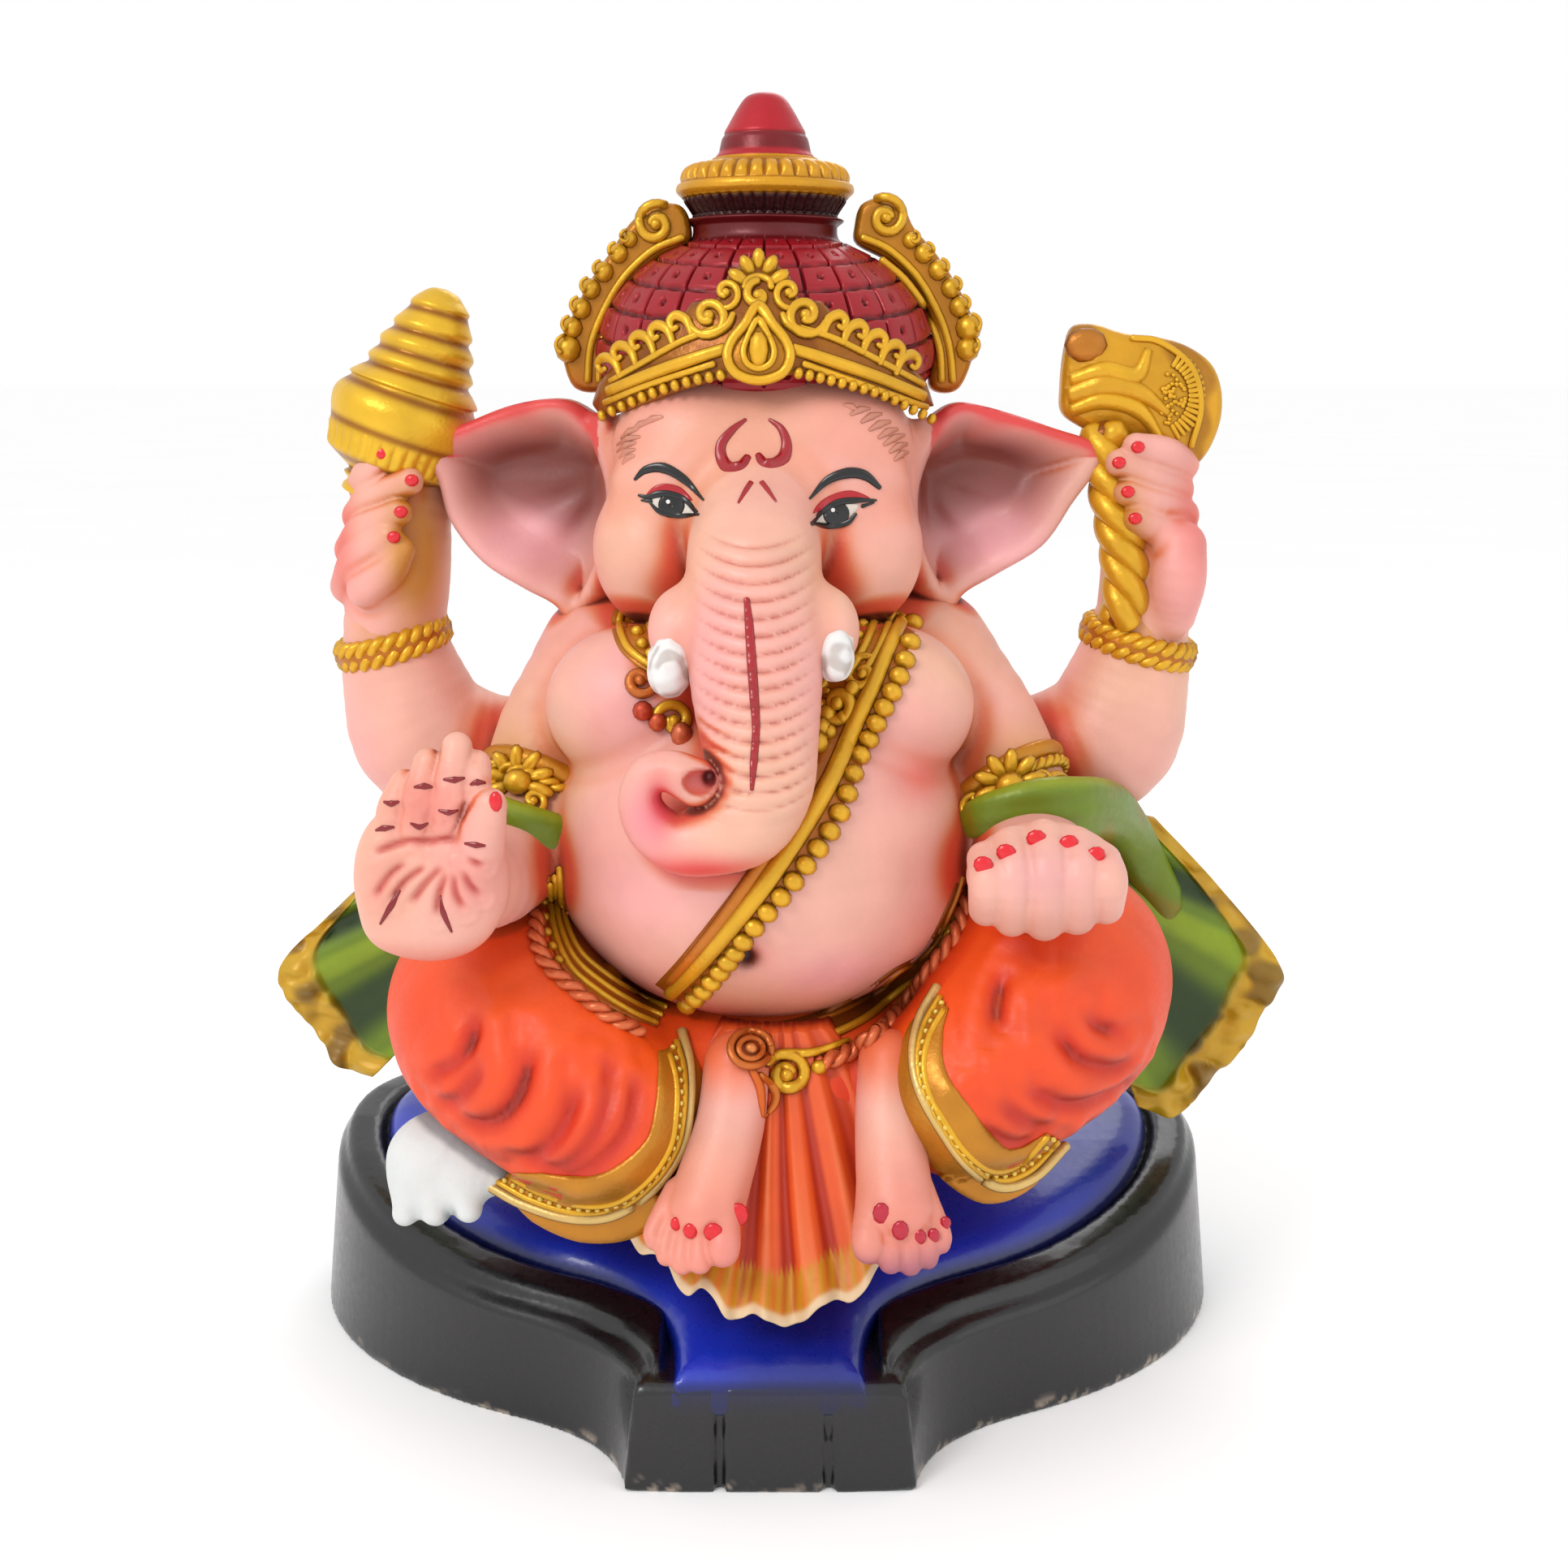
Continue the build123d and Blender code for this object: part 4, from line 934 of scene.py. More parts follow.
# ---------------------------------------------------------------- crown, turned about its upright axis
def turned_piece(name, profile, paint, relief, material, nodes, count=720, steps=10):
    """A closed turned form; relief(angle, share, height) moves the skin outwards in millimetres."""
    line = curve(np.array(profile, float), steps)
    step = np.linalg.norm(np.diff(line, axis=0), axis=1)
    share = np.concatenate([[0], np.cumsum(step)])
    tangent = np.gradient(line, axis=0)
    normal = np.column_stack([-tangent[:, 1], tangent[:, 0]])
    normal /= np.maximum(np.linalg.norm(normal, axis=1, keepdims=True), 1e-9)
    if normal[len(line) // 2, 0] < 0:
        normal = -normal
    angle = np.linspace(0, 2 * np.pi, count, endpoint=False)
    a, i = np.meshgrid(angle, np.arange(len(line)), indexing="xy")
    out = relief(a, share[i], line[i, 1])
    r = line[i, 0] + out * normal[i, 0]
    z = line[i, 1] + out * normal[i, 1]
    points = np.stack([r * np.sin(a), 5 - r * np.cos(a), z], -1).reshape(-1, 3)
    index = np.arange(len(points)).reshape(len(line), count)
    ahead = np.roll(index, -1, axis=1)
    quad = np.stack([index[:-1], ahead[:-1], ahead[1:], index[1:]], -1).reshape(-1, 4)
    make(name, points, quad, paint(a, share[i], line[i, 1], out).reshape(-1, 3), material, nodes)


ROWS_PITCH, COLUMNS = 7.6, 24


def dome_relief(a, s, z):
    s = s - 36
    column = np.abs((a * COLUMNS / (2 * np.pi) + 0.5) % 1 - 0.5)
    row = np.abs((s / ROWS_PITCH + 0.9 * np.cos(a) + 0.5) % 1 - 0.5)
    lines = np.maximum(smooth(0.07, 0.015, column), smooth(0.09, 0.02, row))
    dimple = smooth(0.13, 0.05, np.hypot(0.5 - column, 0.5 - row))
    fade = smooth(46, 43, s) * smooth(1, 4, s)
    return fade * (0.6 - 1.3 * lines - 1.5 * dimple)


DOME = [
    (0.05, 232), (33, 232), (37.4, 235.5), (39.2, 239.5), (39.2, 243.5), (36.8, 251), (31.5, 258),
    (25.5, 262.6), (19.5, 265.6), (17.2, 267.5), (16.8, 270), (17.2, 272), (0.05, 272)
]


def dome_paint(a, s, z, out):
    flat = out.ravel()
    base = np.broadcast_to(srgb(176, 22, 44), (flat.size, 3))
    # Deep crimson in the sunk lattice lines and dimples is painted shade in the recesses.
    base = mix(base, CRIMSON_DEEP, 0.85 * smooth(0.1, -0.6, flat) * (z.ravel() < 265))
    return mix(base, srgb(96, 22, 26), 0.75 * smooth(265, 267, z.ravel())).reshape(out.shape + (3,))


turned_piece(
    "crown_dome_lattice", DOME, dome_paint, dome_relief, CROWN_PAINT, ["crown_dome"], 1200,
    14
)

COLLAR = [
    (0.05, 271.5), (15.5, 271.5), (16.2, 273), (18.4, 276.2), (19.4, 276.8), (20.6, 278), (20.4, 279.4),
    (19.2, 280.2), (17.6, 282.4), (14.6, 284.2), (12.4, 285), (11.0, 285.6), (0.05, 286)
]


def collar_relief(a, s, z):
    flute = np.abs(np.sin(a * 22)) * 0.7 * smooth(271.5, 272.5, z) * smooth(277, 276, z)
    bead = np.sqrt(np.clip(1 - ((((a * 34 / (2 * np.pi)) % 1) - 0.5) / 0.42) ** 2, 0, 1))
    bead = bead * np.sqrt(np.clip(1 - ((z - 281.9) / 1.9) ** 2, 0, 1))
    return flute + 1.3 * bead


def collar_paint(a, s, z, out):
    z, raised = z.ravel(), out.ravel()
    base = mix(np.broadcast_to(GOLD, (z.size, 3)), srgb(70, 12, 14), smooth(277.0, 276.3, z))
    # Darker gold between the collar's beads is painted shade.
    bead_gap_shade = 0.7 * smooth(0.3, 0.0, raised) * smooth(279.6, 280.2, z) * smooth(284.4, 284, z)
    return mix(base, srgb(150, 92, 16), bead_gap_shade).reshape(out.shape + (3,))


turned_piece(
    "crown_collar_beads", COLLAR, collar_paint, collar_relief, GOLD_PAINT, ["crown_collar"]
)

FINIAL = [
    (0.05, 285), (10.8, 285), (10.6, 287), (10.0, 289.6), (9.4, 290.6), (9.3, 291.4), (8.4, 293),
    (6.4, 296.4), (4.6, 298.8), (2.6, 299.8), (0.05, 300)
]


def finial_paint(a, s, z, out):
    groove = smooth(291.3, 290.4, z.ravel()) * smooth(286.5, 287.5, z.ravel())
    base = np.broadcast_to(srgb(190, 22, 46), (z.size, 3))
    return mix(base, srgb(120, 8, 22), 0.8 * groove).reshape(z.shape + (3,))


def no_relief(a, s, z):
    return 0 * a


turned_piece(
    "crown_finial_tip", FINIAL, finial_paint, no_relief, CROWN_PAINT, ["crown_finial"], 240
)


# ---------------------------------------------------------------- strokes laid onto the modelled skin
def ball_form(sides=10, rings=6):
    """Points and faces of a unit ball with its poles along Y."""
    polar = np.linspace(0, np.pi, rings + 1)
    angle = np.linspace(0, 2 * np.pi, sides, endpoint=False)
    spots = [[np.sin(t) * np.cos(a), -np.cos(t), np.sin(t) * np.sin(a)] for t in polar[1:-1] for a in angle]
    points = np.array(spots)
    points = np.vstack([[0, -1, 0], points, [0, 1, 0]])
    faces = []
    for i in range(rings - 2):
        for j in range(sides):
            a, b = 1 + i * sides + j, 1 + i * sides + (j + 1) % sides
            faces.append((a, b, b + sides, a + sides))
    last = len(points) - 1
    for j in range(sides):
        k = (j + 1) % sides
        faces.append((0, 1 + k, 1 + j))
        faces.append((last, last - sides + j, last - sides + k))
    return points, faces


BALL_POINTS, BALL_FACES = ball_form()


def even(values, count):
    """One value, or several spread evenly, at count places in a row."""
    return np.interp(np.linspace(0, 1, count), np.linspace(0, 1, np.size(values)), np.atleast_1d(values))


def lying(line):
    """Unit directions along a line, out of it towards EYE, and across it."""
    t = np.gradient(line, axis=0)
    t /= np.maximum(np.linalg.norm(t, axis=1, keepdims=True), 1e-9)
    return t, *facing(line, t)


def facing(line, t):
    """Unit directions out of a line towards EYE and across it, given those along it."""
    out = EYE - line
    out -= (out * t).sum(1, keepdims=True) * t
    out /= np.maximum(np.linalg.norm(out, axis=1, keepdims=True), 1e-9)
    return out, np.cross(t, out)


class Strokes:
    """Raised lines, beads, bands and patches that together make one applied ornament."""

    def __init__(self, surfaces=(), lift=0.3):
        self.points, self.faces, self.colours, self.count = [], [], [], 0
        self.surfaces, self.lift = list(surfaces), lift

    def add(self, points, faces, colours):
        self.points.append(points)
        self.faces.extend([tuple(int(i) + self.count for i in f) for f in faces])
        self.colours.append(np.broadcast_to(colours, points.shape))
        self.count += len(points)

    def on(self, guide, smooth_steps=0, lift=None):
        """The guide laid on this ornament's surfaces, or as it is when there are none."""
        guide = np.array(guide, float)
        if smooth_steps:
            guide = curve(guide, smooth_steps)
        if not self.surfaces:
            return guide
        return lay(guide, self.surfaces, self.lift if lift is None else lift)

    def tube(
        self, guide, radius, colour=None, steps=5, flat=0.75, sides=10, lift=None, taper=True, low=None,
        laid=False
    ):
        """A rounded cord along the guide; colour on its crest, the side facing the front viewpoint, fading
        to low, its painted shade, at its foot.
        """
        line = np.array(guide, float) if laid else self.on(guide, steps, lift)
        colour = GOLD if colour is None else colour
        low = colour * 0.45 if low is None else low
        size = even(radius, len(line))
        t = np.gradient(line, axis=0)
        t /= np.maximum(np.linalg.norm(t, axis=1, keepdims=True), 1e-9)
        if taper:
            before = [line[0] - t[0] * size[0] * share for share in (0.55, 0.35)]
            after = [line[-1] + t[-1] * size[-1] * share for share in (0.35, 0.55)]
            line = np.vstack(before + [line] + after)
            size = np.concatenate([[size[0] * 0.1, size[0] * 0.6], size, [size[-1] * 0.6, size[-1] * 0.1]])
            t = np.vstack([t[0], t[0], t, t[-1], t[-1]])
        out, across = facing(line, t)
        a = np.linspace(0, 2 * np.pi, sides, endpoint=False)
        wide = np.cos(a)[None, :, None] * across[:, None]
        deep = flat * np.sin(a)[None, :, None] * out[:, None]
        ring = line[:, None] + size[:, None, None] * (wide + deep)
        index = np.arange(len(line) * sides).reshape(len(line), sides)
        ahead = np.roll(index, -1, axis=1)
        quad = np.stack([index[:-1], ahead[:-1], ahead[1:], index[1:]], -1).reshape(-1, 4)
        # The side facing the front viewpoint has the lit colour, the foot and sides low, a painted shade.
        shade = smooth(-0.1, 0.75, np.sin(a))[None, :, None]
        tint = low * (1 - shade) + colour * shade
        caps = [tuple(index[0][::-1].tolist()), tuple(index[-1].tolist())]
        faces = [tuple(q) for q in quad.tolist()] + caps
        self.add(ring.reshape(-1, 3), faces, np.broadcast_to(tint, ring.shape).reshape(-1, 3))
        return line

    def bead(self, guide, size, colour=None, lift=None, laid=False, low=None, turn=0.0):
        """A rounded bead: size is its half width, half depth and half height; its colour in front fades to
        low, its painted shade, at the back.
        """
        centre = np.array(guide, float) if laid else self.on([guide], 0, lift)[0]
        size = (size, size, size) if np.isscalar(size) else size
        colour = GOLD if colour is None else colour
        low = colour * 0.4 if low is None else low
        c, s = math.cos(turn), math.sin(turn)
        local = BALL_POINTS * size
        x, y, z = local.T
        local = np.column_stack([x * c + z * s, y, -x * s + z * c])
        # Front of the bead lit, back in painted shade.
        shade = smooth(0.35, -0.75, BALL_POINTS[:, 1])[:, None]
        self.add(centre + local, BALL_FACES, low * (1 - shade) + colour * shade)

    def beads(self, guide, pitch, size, colour=None, lift=None, steps=12, low=None, aspect=1.0):
        """Beads in a row along the guide, turned to follow it."""
        line = curve(np.array(guide, float), steps)
        step = np.linalg.norm(np.diff(line, axis=0), axis=1)
        at = np.concatenate([[0], np.cumsum(step)])
        number = max(int(round(at[-1] / pitch)), 1)
        for k in range(number + 1):
            here = at[-1] * k / number
            place = np.array([np.interp(here, at, line[:, i]) for i in range(3)])
            after = [np.interp(min(here + 0.5, at[-1]), at, line[:, i]) for i in range(3)]
            before = [np.interp(max(here - 0.5, 0), at, line[:, i]) for i in range(3)]
            ahead = np.array(after) - np.array(before)
            turn = -math.atan2(ahead[2], ahead[0])
            self.bead(place, (size * aspect, size * 0.8, size), colour, lift, turn=turn, low=low)

    def scroll(self, guide, reach, start, turns, radius, colour=None, lift=None, low=None):
        """A spiral curl round the guide point, wound inwards from reach."""
        s = np.linspace(0, 1, 26)
        angle = math.radians(start) + turns * 2 * np.pi * s
        r = reach * (1 - 0.82 * s)
        centre = np.array(guide, float)
        path = centre + np.column_stack([r * np.cos(angle), 0 * r, r * np.sin(angle)])
        self.tube(path, [radius * 0.8, radius, radius * 0.9], colour, 1, lift=lift, low=low)
        self.bead(centre, radius * 1.15, colour, lift, low=low)

    def band(self, guide, width, colour, steps=8, lift=None, thick=0.8, across=7, crown=0.3):
        """A flat ribbon along the guide with its edges brought down to the surface."""
        middle = curve(np.array(guide, float), steps)
        t = np.gradient(middle, axis=0)
        wide = np.column_stack([-t[:, 2], 0 * t[:, 0], t[:, 0]])
        wide /= np.maximum(np.linalg.norm(wide, axis=1, keepdims=True), 1e-9)
        half = even(width, len(middle)) / 2
        rows = []
        for s in np.linspace(-1, 1, across):
            high = (self.lift if lift is None else lift) + crown * (1 - s * s)
            rows.append(self.on(middle + wide * (half * s)[:, None], 0, high))
        front = np.stack(rows, 1)
        ray = EYE - front
        ray /= np.linalg.norm(ray, axis=2, keepdims=True)
        self.sheet(front, front - ray * thick, colour)

    def patch(self, outline, colour, lift=None, thick=0.4, rings=6, dome=0.0, steps=4):
        """A filled, slightly raised shape inside a closed outline."""
        edge = closed_curve(np.array(outline, float), steps) if steps else np.array(outline, float)
        centre = edge.mean(0)
        base = self.lift if lift is None else lift
        rows = []
        for s in np.linspace(0.02, 1, rings):
            rows.append(self.on(centre + (edge - centre) * s, 0, base + dome * (1 - s * s)))
        front = np.stack(rows, 0)
        ray = EYE - front
        ray /= np.linalg.norm(ray, axis=2, keepdims=True)
        self.sheet(front, front - ray * thick, colour, closed=True)

    def sheet(self, front, back, colour, closed=False):
        """A thin closed sheet from a grid of front points and the grid behind it."""
        rows, columns = front.shape[:2]
        index = np.arange(rows * columns).reshape(rows, columns)
        if closed:
            ahead = np.roll(index, -1, axis=1)
            quad = np.stack([index[:-1], index[1:], ahead[1:], ahead[:-1]], -1).reshape(-1, 4)
            rims = [(index[0], ahead[0]), (ahead[-1], index[-1])]
        else:
            quad = np.stack(
                [index[:-1, :-1], index[1:, :-1], index[1:, 1:], index[:-1, 1:]], -1
            ).reshape(-1, 4)
            rims = [(index[0, :-1], index[0, 1:]), (index[-1, 1:], index[-1, :-1])]
            rims += [(index[1:, 0], index[:-1, 0]), (index[:-1, -1], index[1:, -1])]
        size = rows * columns
        faces = [tuple(q) for q in quad.tolist()]
        faces += [tuple(corner + size for corner in reversed(q)) for q in quad.tolist()]
        for a, b in rims:
            faces.extend((int(i), int(j), int(j) + size, int(i) + size) for i, j in zip(a, b))
        points = np.vstack([front.reshape(-1, 3), back.reshape(-1, 3)])
        tint = np.broadcast_to(colour, front.shape).reshape(-1, 3)
        # The back takes 0.6 of the colour, a painted shade on the back.
        self.add(points, faces, np.vstack([tint, tint * 0.6]))

    def rope(
        self, guide, radius, strands=2, pitch=9.0, colour=None, steps=10, lift=None, low=None, laid=False
    ):
        """A twisted rope laid along the guide."""
        line = np.array(guide, float) if laid else self.on(guide, steps, lift)
        t, out, across = lying(line)
        far = np.concatenate([[0], np.cumsum(np.linalg.norm(np.diff(line, axis=0), axis=1))])
        fine = np.linspace(0, far[-1], max(int(far[-1] / 0.7), 8))
        rows = [
            np.stack([np.interp(fine, far, v[:, i]) for i in range(3)], -1) for v in (line, out, across)
        ]
        for k in range(strands):
            angle = 2 * np.pi * (fine / pitch + k / strands)
            offset = radius * 0.5 * (np.cos(angle)[:, None] * rows[2] + np.sin(angle)[:, None] * rows[1])
            self.tube(rows[0] + offset, radius * 0.62, colour, laid=True, flat=1.0, low=low)

    def make(self, name, material, nodes, slot):
        make(name, np.vstack(self.points), self.faces, np.vstack(self.colours), material, nodes)


def ring_round(start, end, share, radius, count=72):
    """Points of a ring about a limb, for bracelets and armlets; its first point comes again at the end."""
    start, end = np.array(start, float), np.array(end, float)
    axis = (end - start) / np.linalg.norm(end - start)
    side = np.cross(axis, [0, 1, 0])
    side /= np.linalg.norm(side)
    front = np.cross(axis, side)
    a = np.linspace(0, 2 * np.pi, count)
    centre = start + (end - start) * share
    return centre + radius * (np.cos(a)[:, None] * side + np.sin(a)[:, None] * front)


HEAD_TREE = tree(*head_mesh)
BODY_TREE = tree(*body_mesh)
LAP_TREE = tree(*lap_mesh)
INK = srgb(10, 9, 10)

# ---------------------------------------------------------------- painted face
face = Strokes([HEAD_TREE], 0.12)
EYES = [
    (
        [
            (-25.0, -37, 209.3), (-22.6, -37, 207.5), (-18.8, -37, 206.8), (-14.8, -37, 207.0),
            (-16.7, -37, 209.3), (-20.5, -37, 210.9), (-23.8, -37, 210.7)
        ],
        (-20.2, -37, 208.7)
    ),
    (
        [
            (10.6, -37, 205.3), (13.8, -37, 204.8), (17.4, -37, 205.3), (20.0, -37, 207.3),
            (20.6, -37, 208.9), (17.0, -37, 209.4), (13.1, -37, 208.0)
        ],
        (15.8, -37, 206.9)
    ),
]
for outline, iris in EYES:
    face.patch(outline, srgb(226, 216, 206), 0.12, dome=0.15)
    at = np.array(iris)
    turn = np.linspace(0, 2 * np.pi, 24, endpoint=False)
    face.patch(at + np.column_stack([2.9 * np.cos(turn), 0 * turn, 2.7 * np.sin(turn)]), INK, 0.34, steps=0)
    glint = at + [-0.7, 0, 0.8] + np.column_stack([0.45 * np.cos(turn), 0 * turn, 0.45 * np.sin(turn)])
    face.patch(glint, srgb(240, 240, 240), 0.5, steps=0)
LIDS = [
    [
        (-25.6, -37, 211.0), (-23.9, -37, 212.8), (-21.2, -37, 213.4), (-18.0, -37, 212.5),
        (-15.6, -37, 209.8), (-17.8, -37, 210.5), (-21.0, -37, 211.6), (-23.7, -37, 211.2)
    ],
    [
        (10.7, -37, 207.1), (12.7, -37, 209.8), (16.5, -37, 211.6), (19.8, -37, 211.8), (23.2, -37, 210.2),
        (19.4, -37, 210.0), (15.3, -37, 209.1), (12.5, -37, 207.6)
    ],
]
for outline in LIDS:
    face.patch(outline, srgb(190, 12, 40), 0.2, dome=0.1)
for line, size in (
    (
        [
            (-27.4, -37, 210.9), (-25.4, -37, 210.5), (-23.2, -37, 211.1), (-20.5, -37, 211.2),
            (-17.3, -37, 210.0), (-14.6, -37, 207.1)
        ],
        [0.25, 0.55, 0.8, 0.7, 0.6, 0.5]
    ),
    (
        [(-24.9, -37, 209.3), (-22.7, -37, 207.3), (-18.8, -37, 206.5), (-14.2, -37, 206.7)],
        [0.25, 0.55, 0.6, 0.35]
    ),
    ([(-26.8, -37, 209.8), (-24.5, -37, 209.6)], [0.2, 0.45]),
    (
        [
            (10.4, -37, 204.6), (12.6, -37, 207.3), (16.1, -37, 209.3), (19.8, -37, 209.8),
            (24.6, -37, 209.8)
        ],
        [0.5, 0.6, 0.75, 0.7, 0.25]
    ),
    (
        [(10.4, -37, 204.8), (14.3, -37, 204.2), (18.2, -37, 204.9), (20.2, -37, 206.9)],
        [0.45, 0.65, 0.6, 0.3]
    ),
    ([(21.4, -37, 208.5), (24.1, -37, 209.3)], [0.45, 0.2]),
    (
        [
            (-28.1, -38, 214.3), (-25.6, -38, 216.4), (-21.7, -38, 216.8), (-17.2, -38, 214.3),
            (-13.1, -38, 209.9)
        ],
        [0.3, 0.9, 1.15, 0.9, 0.25]
    ),
    (
        [
            (10.0, -38, 210.2), (13.8, -38, 214.1), (18.2, -38, 215.7), (22.0, -38, 215.2),
            (25.3, -38, 212.5)
        ],
        [0.25, 0.9, 1.2, 1.1, 0.5]
    ),
):
    face.tube(line, size, INK, 8, 0.35, lift=0.3, low=INK)
for line, size in (
    (
        [
            (-3.8, -39, 227.2), (-6.7, -39, 225.0), (-9.1, -39, 222.0), (-9.1, -39, 219.0),
            (-7.4, -39, 216.8), (-4.9, -39, 217.0), (-3.3, -39, 219.3)
        ],
        [0.35, 0.8, 1.1, 1.3, 1.5, 1.6, 0.9]
    ),
    (
        [
            (1.2, -39, 227.2), (3.7, -39, 225.3), (4.9, -39, 222.3), (4.4, -39, 219.3), (2.3, -39, 217.6),
            (0.1, -39, 217.7), (-1.3, -39, 219.8)
        ],
        [0.35, 0.8, 1.1, 1.4, 1.5, 1.5, 0.7]
    ),
    ([(-2.6, -39, 213.8), (-3.9, -39, 211.9), (-5.5, -39, 209.4)], [0.7, 0.65, 0.3]),
    ([(-0.6, -39, 213.8), (0.7, -39, 212.2), (2.6, -39, 209.7)], [0.7, 0.65, 0.3]),
    (
        [
            (-3.1, -75, 192.6), (-2.6, -75, 187.1), (-2.1, -75, 179.5), (-1.6, -75, 171.9),
            (-1.3, -75, 165.9), (-1.8, -75, 159.0), (-2.2, -75, 153.3)
        ],
        [0.6, 0.9, 1.0, 0.95, 0.8, 0.8, 0.4]
    ),
):
    face.tube(line, size, srgb(176, 8, 34), 8, 0.3, lift=0.22, low=srgb(150, 8, 30))
TEMPLE_HAIR = (
    (-31.5, 222.8, -27.8, 224.9), (-32.4, 221.4, -27.4, 223.2), (-32.4, 219.9, -28.3, 221.9),
    (-31.8, 218.6, -28.5, 220.4), (-31.3, 217.3, -28.7, 219.0), (-29.3, 224.1, -25.1, 226.7),
    (-26.9, 225.6, -22.3, 227.5), (17.5, 230.1, 20.8, 228.4), (19.1, 228.0, 23.3, 229.3),
    (21.4, 226.4, 25.9, 228.2), (23.2, 224.7, 27.9, 226.5), (25.2, 223.0, 29.5, 224.9),
    (26.4, 221.5, 31.0, 223.6), (27.7, 219.9, 31.7, 221.7), (28.8, 218.2, 31.9, 219.9),
)
for x0, z0, x1, z1 in TEMPLE_HAIR:
    ends = [(x0, -30, z0), ((x0 + x1) / 2, -30, (z0 + z1) / 2 + 0.4), (x1, -30, z1)]
    face.tube(ends, [0.35, 0.9, 0.35], srgb(214, 150, 128), 4, 0.6, lift=0.1, low=srgb(150, 84, 62))
face.make("face_paint", SATIN_PAINT, ["head"], "skin_pink")

# ---------------------------------------------------------------- nails, on every hand and foot
NAIL_RED = srgb(230, 12, 44)


def nail(strokes, guide, wide, high, turn=0.0, colour=NAIL_RED):
    """A flat red bead, wide and high giving its half sizes before they are enlarged."""
    strokes.bead(guide, (1.15 * wide, 0.75, 1.15 * high), colour, lift=0.2, turn=turn, low=colour * 0.85)


nails = Strokes([tree(*palm_mesh)], 0.1)
nail(nails, (-54.0, -80, 152.0), 1.2, 1.9)
for line in (
    [(-70.4, -80, 155.0), (-68.3, -80, 155.2), (-66.7, -80, 155.0)],
    [(-64.4, -80, 156.6), (-62.2, -80, 156.5), (-60.1, -80, 156.9)],
    [(-59.0, -80, 155.5), (-57.6, -80, 156.0), (-55.9, -80, 155.9)],
    [(-76.7, -80, 152.0), (-75.2, -80, 151.6), (-73.6, -80, 152.0)],
    [(-78.6, -80, 146.0), (-76.8, -80, 146.5), (-74.8, -80, 146.7)],
    [(-71.4, -80, 147.5), (-69.6, -80, 146.8), (-67.9, -80, 147.5)],
    [(-65.6, -80, 150.2), (-63.6, -80, 149.8), (-61.7, -80, 150.2)],
    [(-60.6, -80, 143.3), (-58.3, -80, 143.0), (-56.4, -80, 142.8)],
    [(-73.9, -81, 133.6), (-75.8, -81, 130.6), (-78.3, -81, 126.5)],
    [(-65.6, -81, 132.6), (-65.2, -81, 128.9), (-63.7, -81, 124.8)],
):
    nails.tube(line, [0.25, 0.7, 0.25], srgb(150, 8, 26), 5, 0.4, lift=0.1, low=srgb(110, 5, 20))
nails.make("blessing_hand_paint", SATIN_PAINT, ["blessing_hand"], "skin_pink")

nails = Strokes([tree(*fist_mesh)], 0.1)
for guide, turn in (
    ((45.3, -78, 138.2), 0.5), ((49.9, -78, 140.8), 0.4), ((56.0, -78, 143.8), 0.1),
    ((62.6, -78, 142.7), -0.4), ((68.2, -78, 140.2), -0.6)
):
    nail(nails, guide, 1.9, 1.7, turn)
nails.make("offering_hand_paint", SATIN_PAINT, ["offering_hand"], "skin_pink")

for name, mesh, node, spots in (
    (
        "left_rear_hand_paint", grip_l_mesh, "left_rear_hand",
        ((-87.6, -14, 219.0), (-81.1, -14, 212.9), (-83.9, -14, 205.7), (-85.8, -14, 199.9))
    ),
    (
        "right_rear_hand_paint", grip_r_mesh, "right_rear_hand",
        ((85.4, -14, 220.4), (81.2, -14, 216.9), (83.5, -14, 210.3), (85.4, -14, 204.2))
    ),
):
    nails = Strokes([tree(*mesh)], 0.1)
    for guide in spots:
        nail(nails, guide, 1.45, 1.25)
    nails.make(name, SATIN_PAINT, [node], "skin_pink")
for name, mesh, node, spots, tint in (
    (
        "left_foot_paint", foot_l_mesh, "left_foot",
        (
            ((-5.2, -82, 63.1), 1.9, 2.4), ((-10.6, -82, 59.1), 1.8, 1.9), ((-15.4, -82, 59.4), 1.4, 1.6),
            ((-18.4, -82, 61.0), 1.1, 1.4)
        ),
        NAIL_RED
    ),
    (
        "right_foot_paint", foot_r_mesh, "right_foot",
        (
            ((24.9, -82, 63.4), 1.6, 2.2), ((29.0, -82, 59.5), 1.6, 2.0), ((33.1, -82, 58.0), 1.3, 1.6),
            ((36.0, -82, 58.3), 1.2, 1.6), ((38.5, -82, 61.2), 1.1, 1.4)
        ),
        srgb(196, 10, 62)
    ),
):
    nails = Strokes([tree(*mesh)], 0.1)
    for guide, wide, high in spots:
        nail(nails, guide, wide, high, 0.0, tint)
    nails.make(name, SATIN_PAINT, [node], "feet_pink")

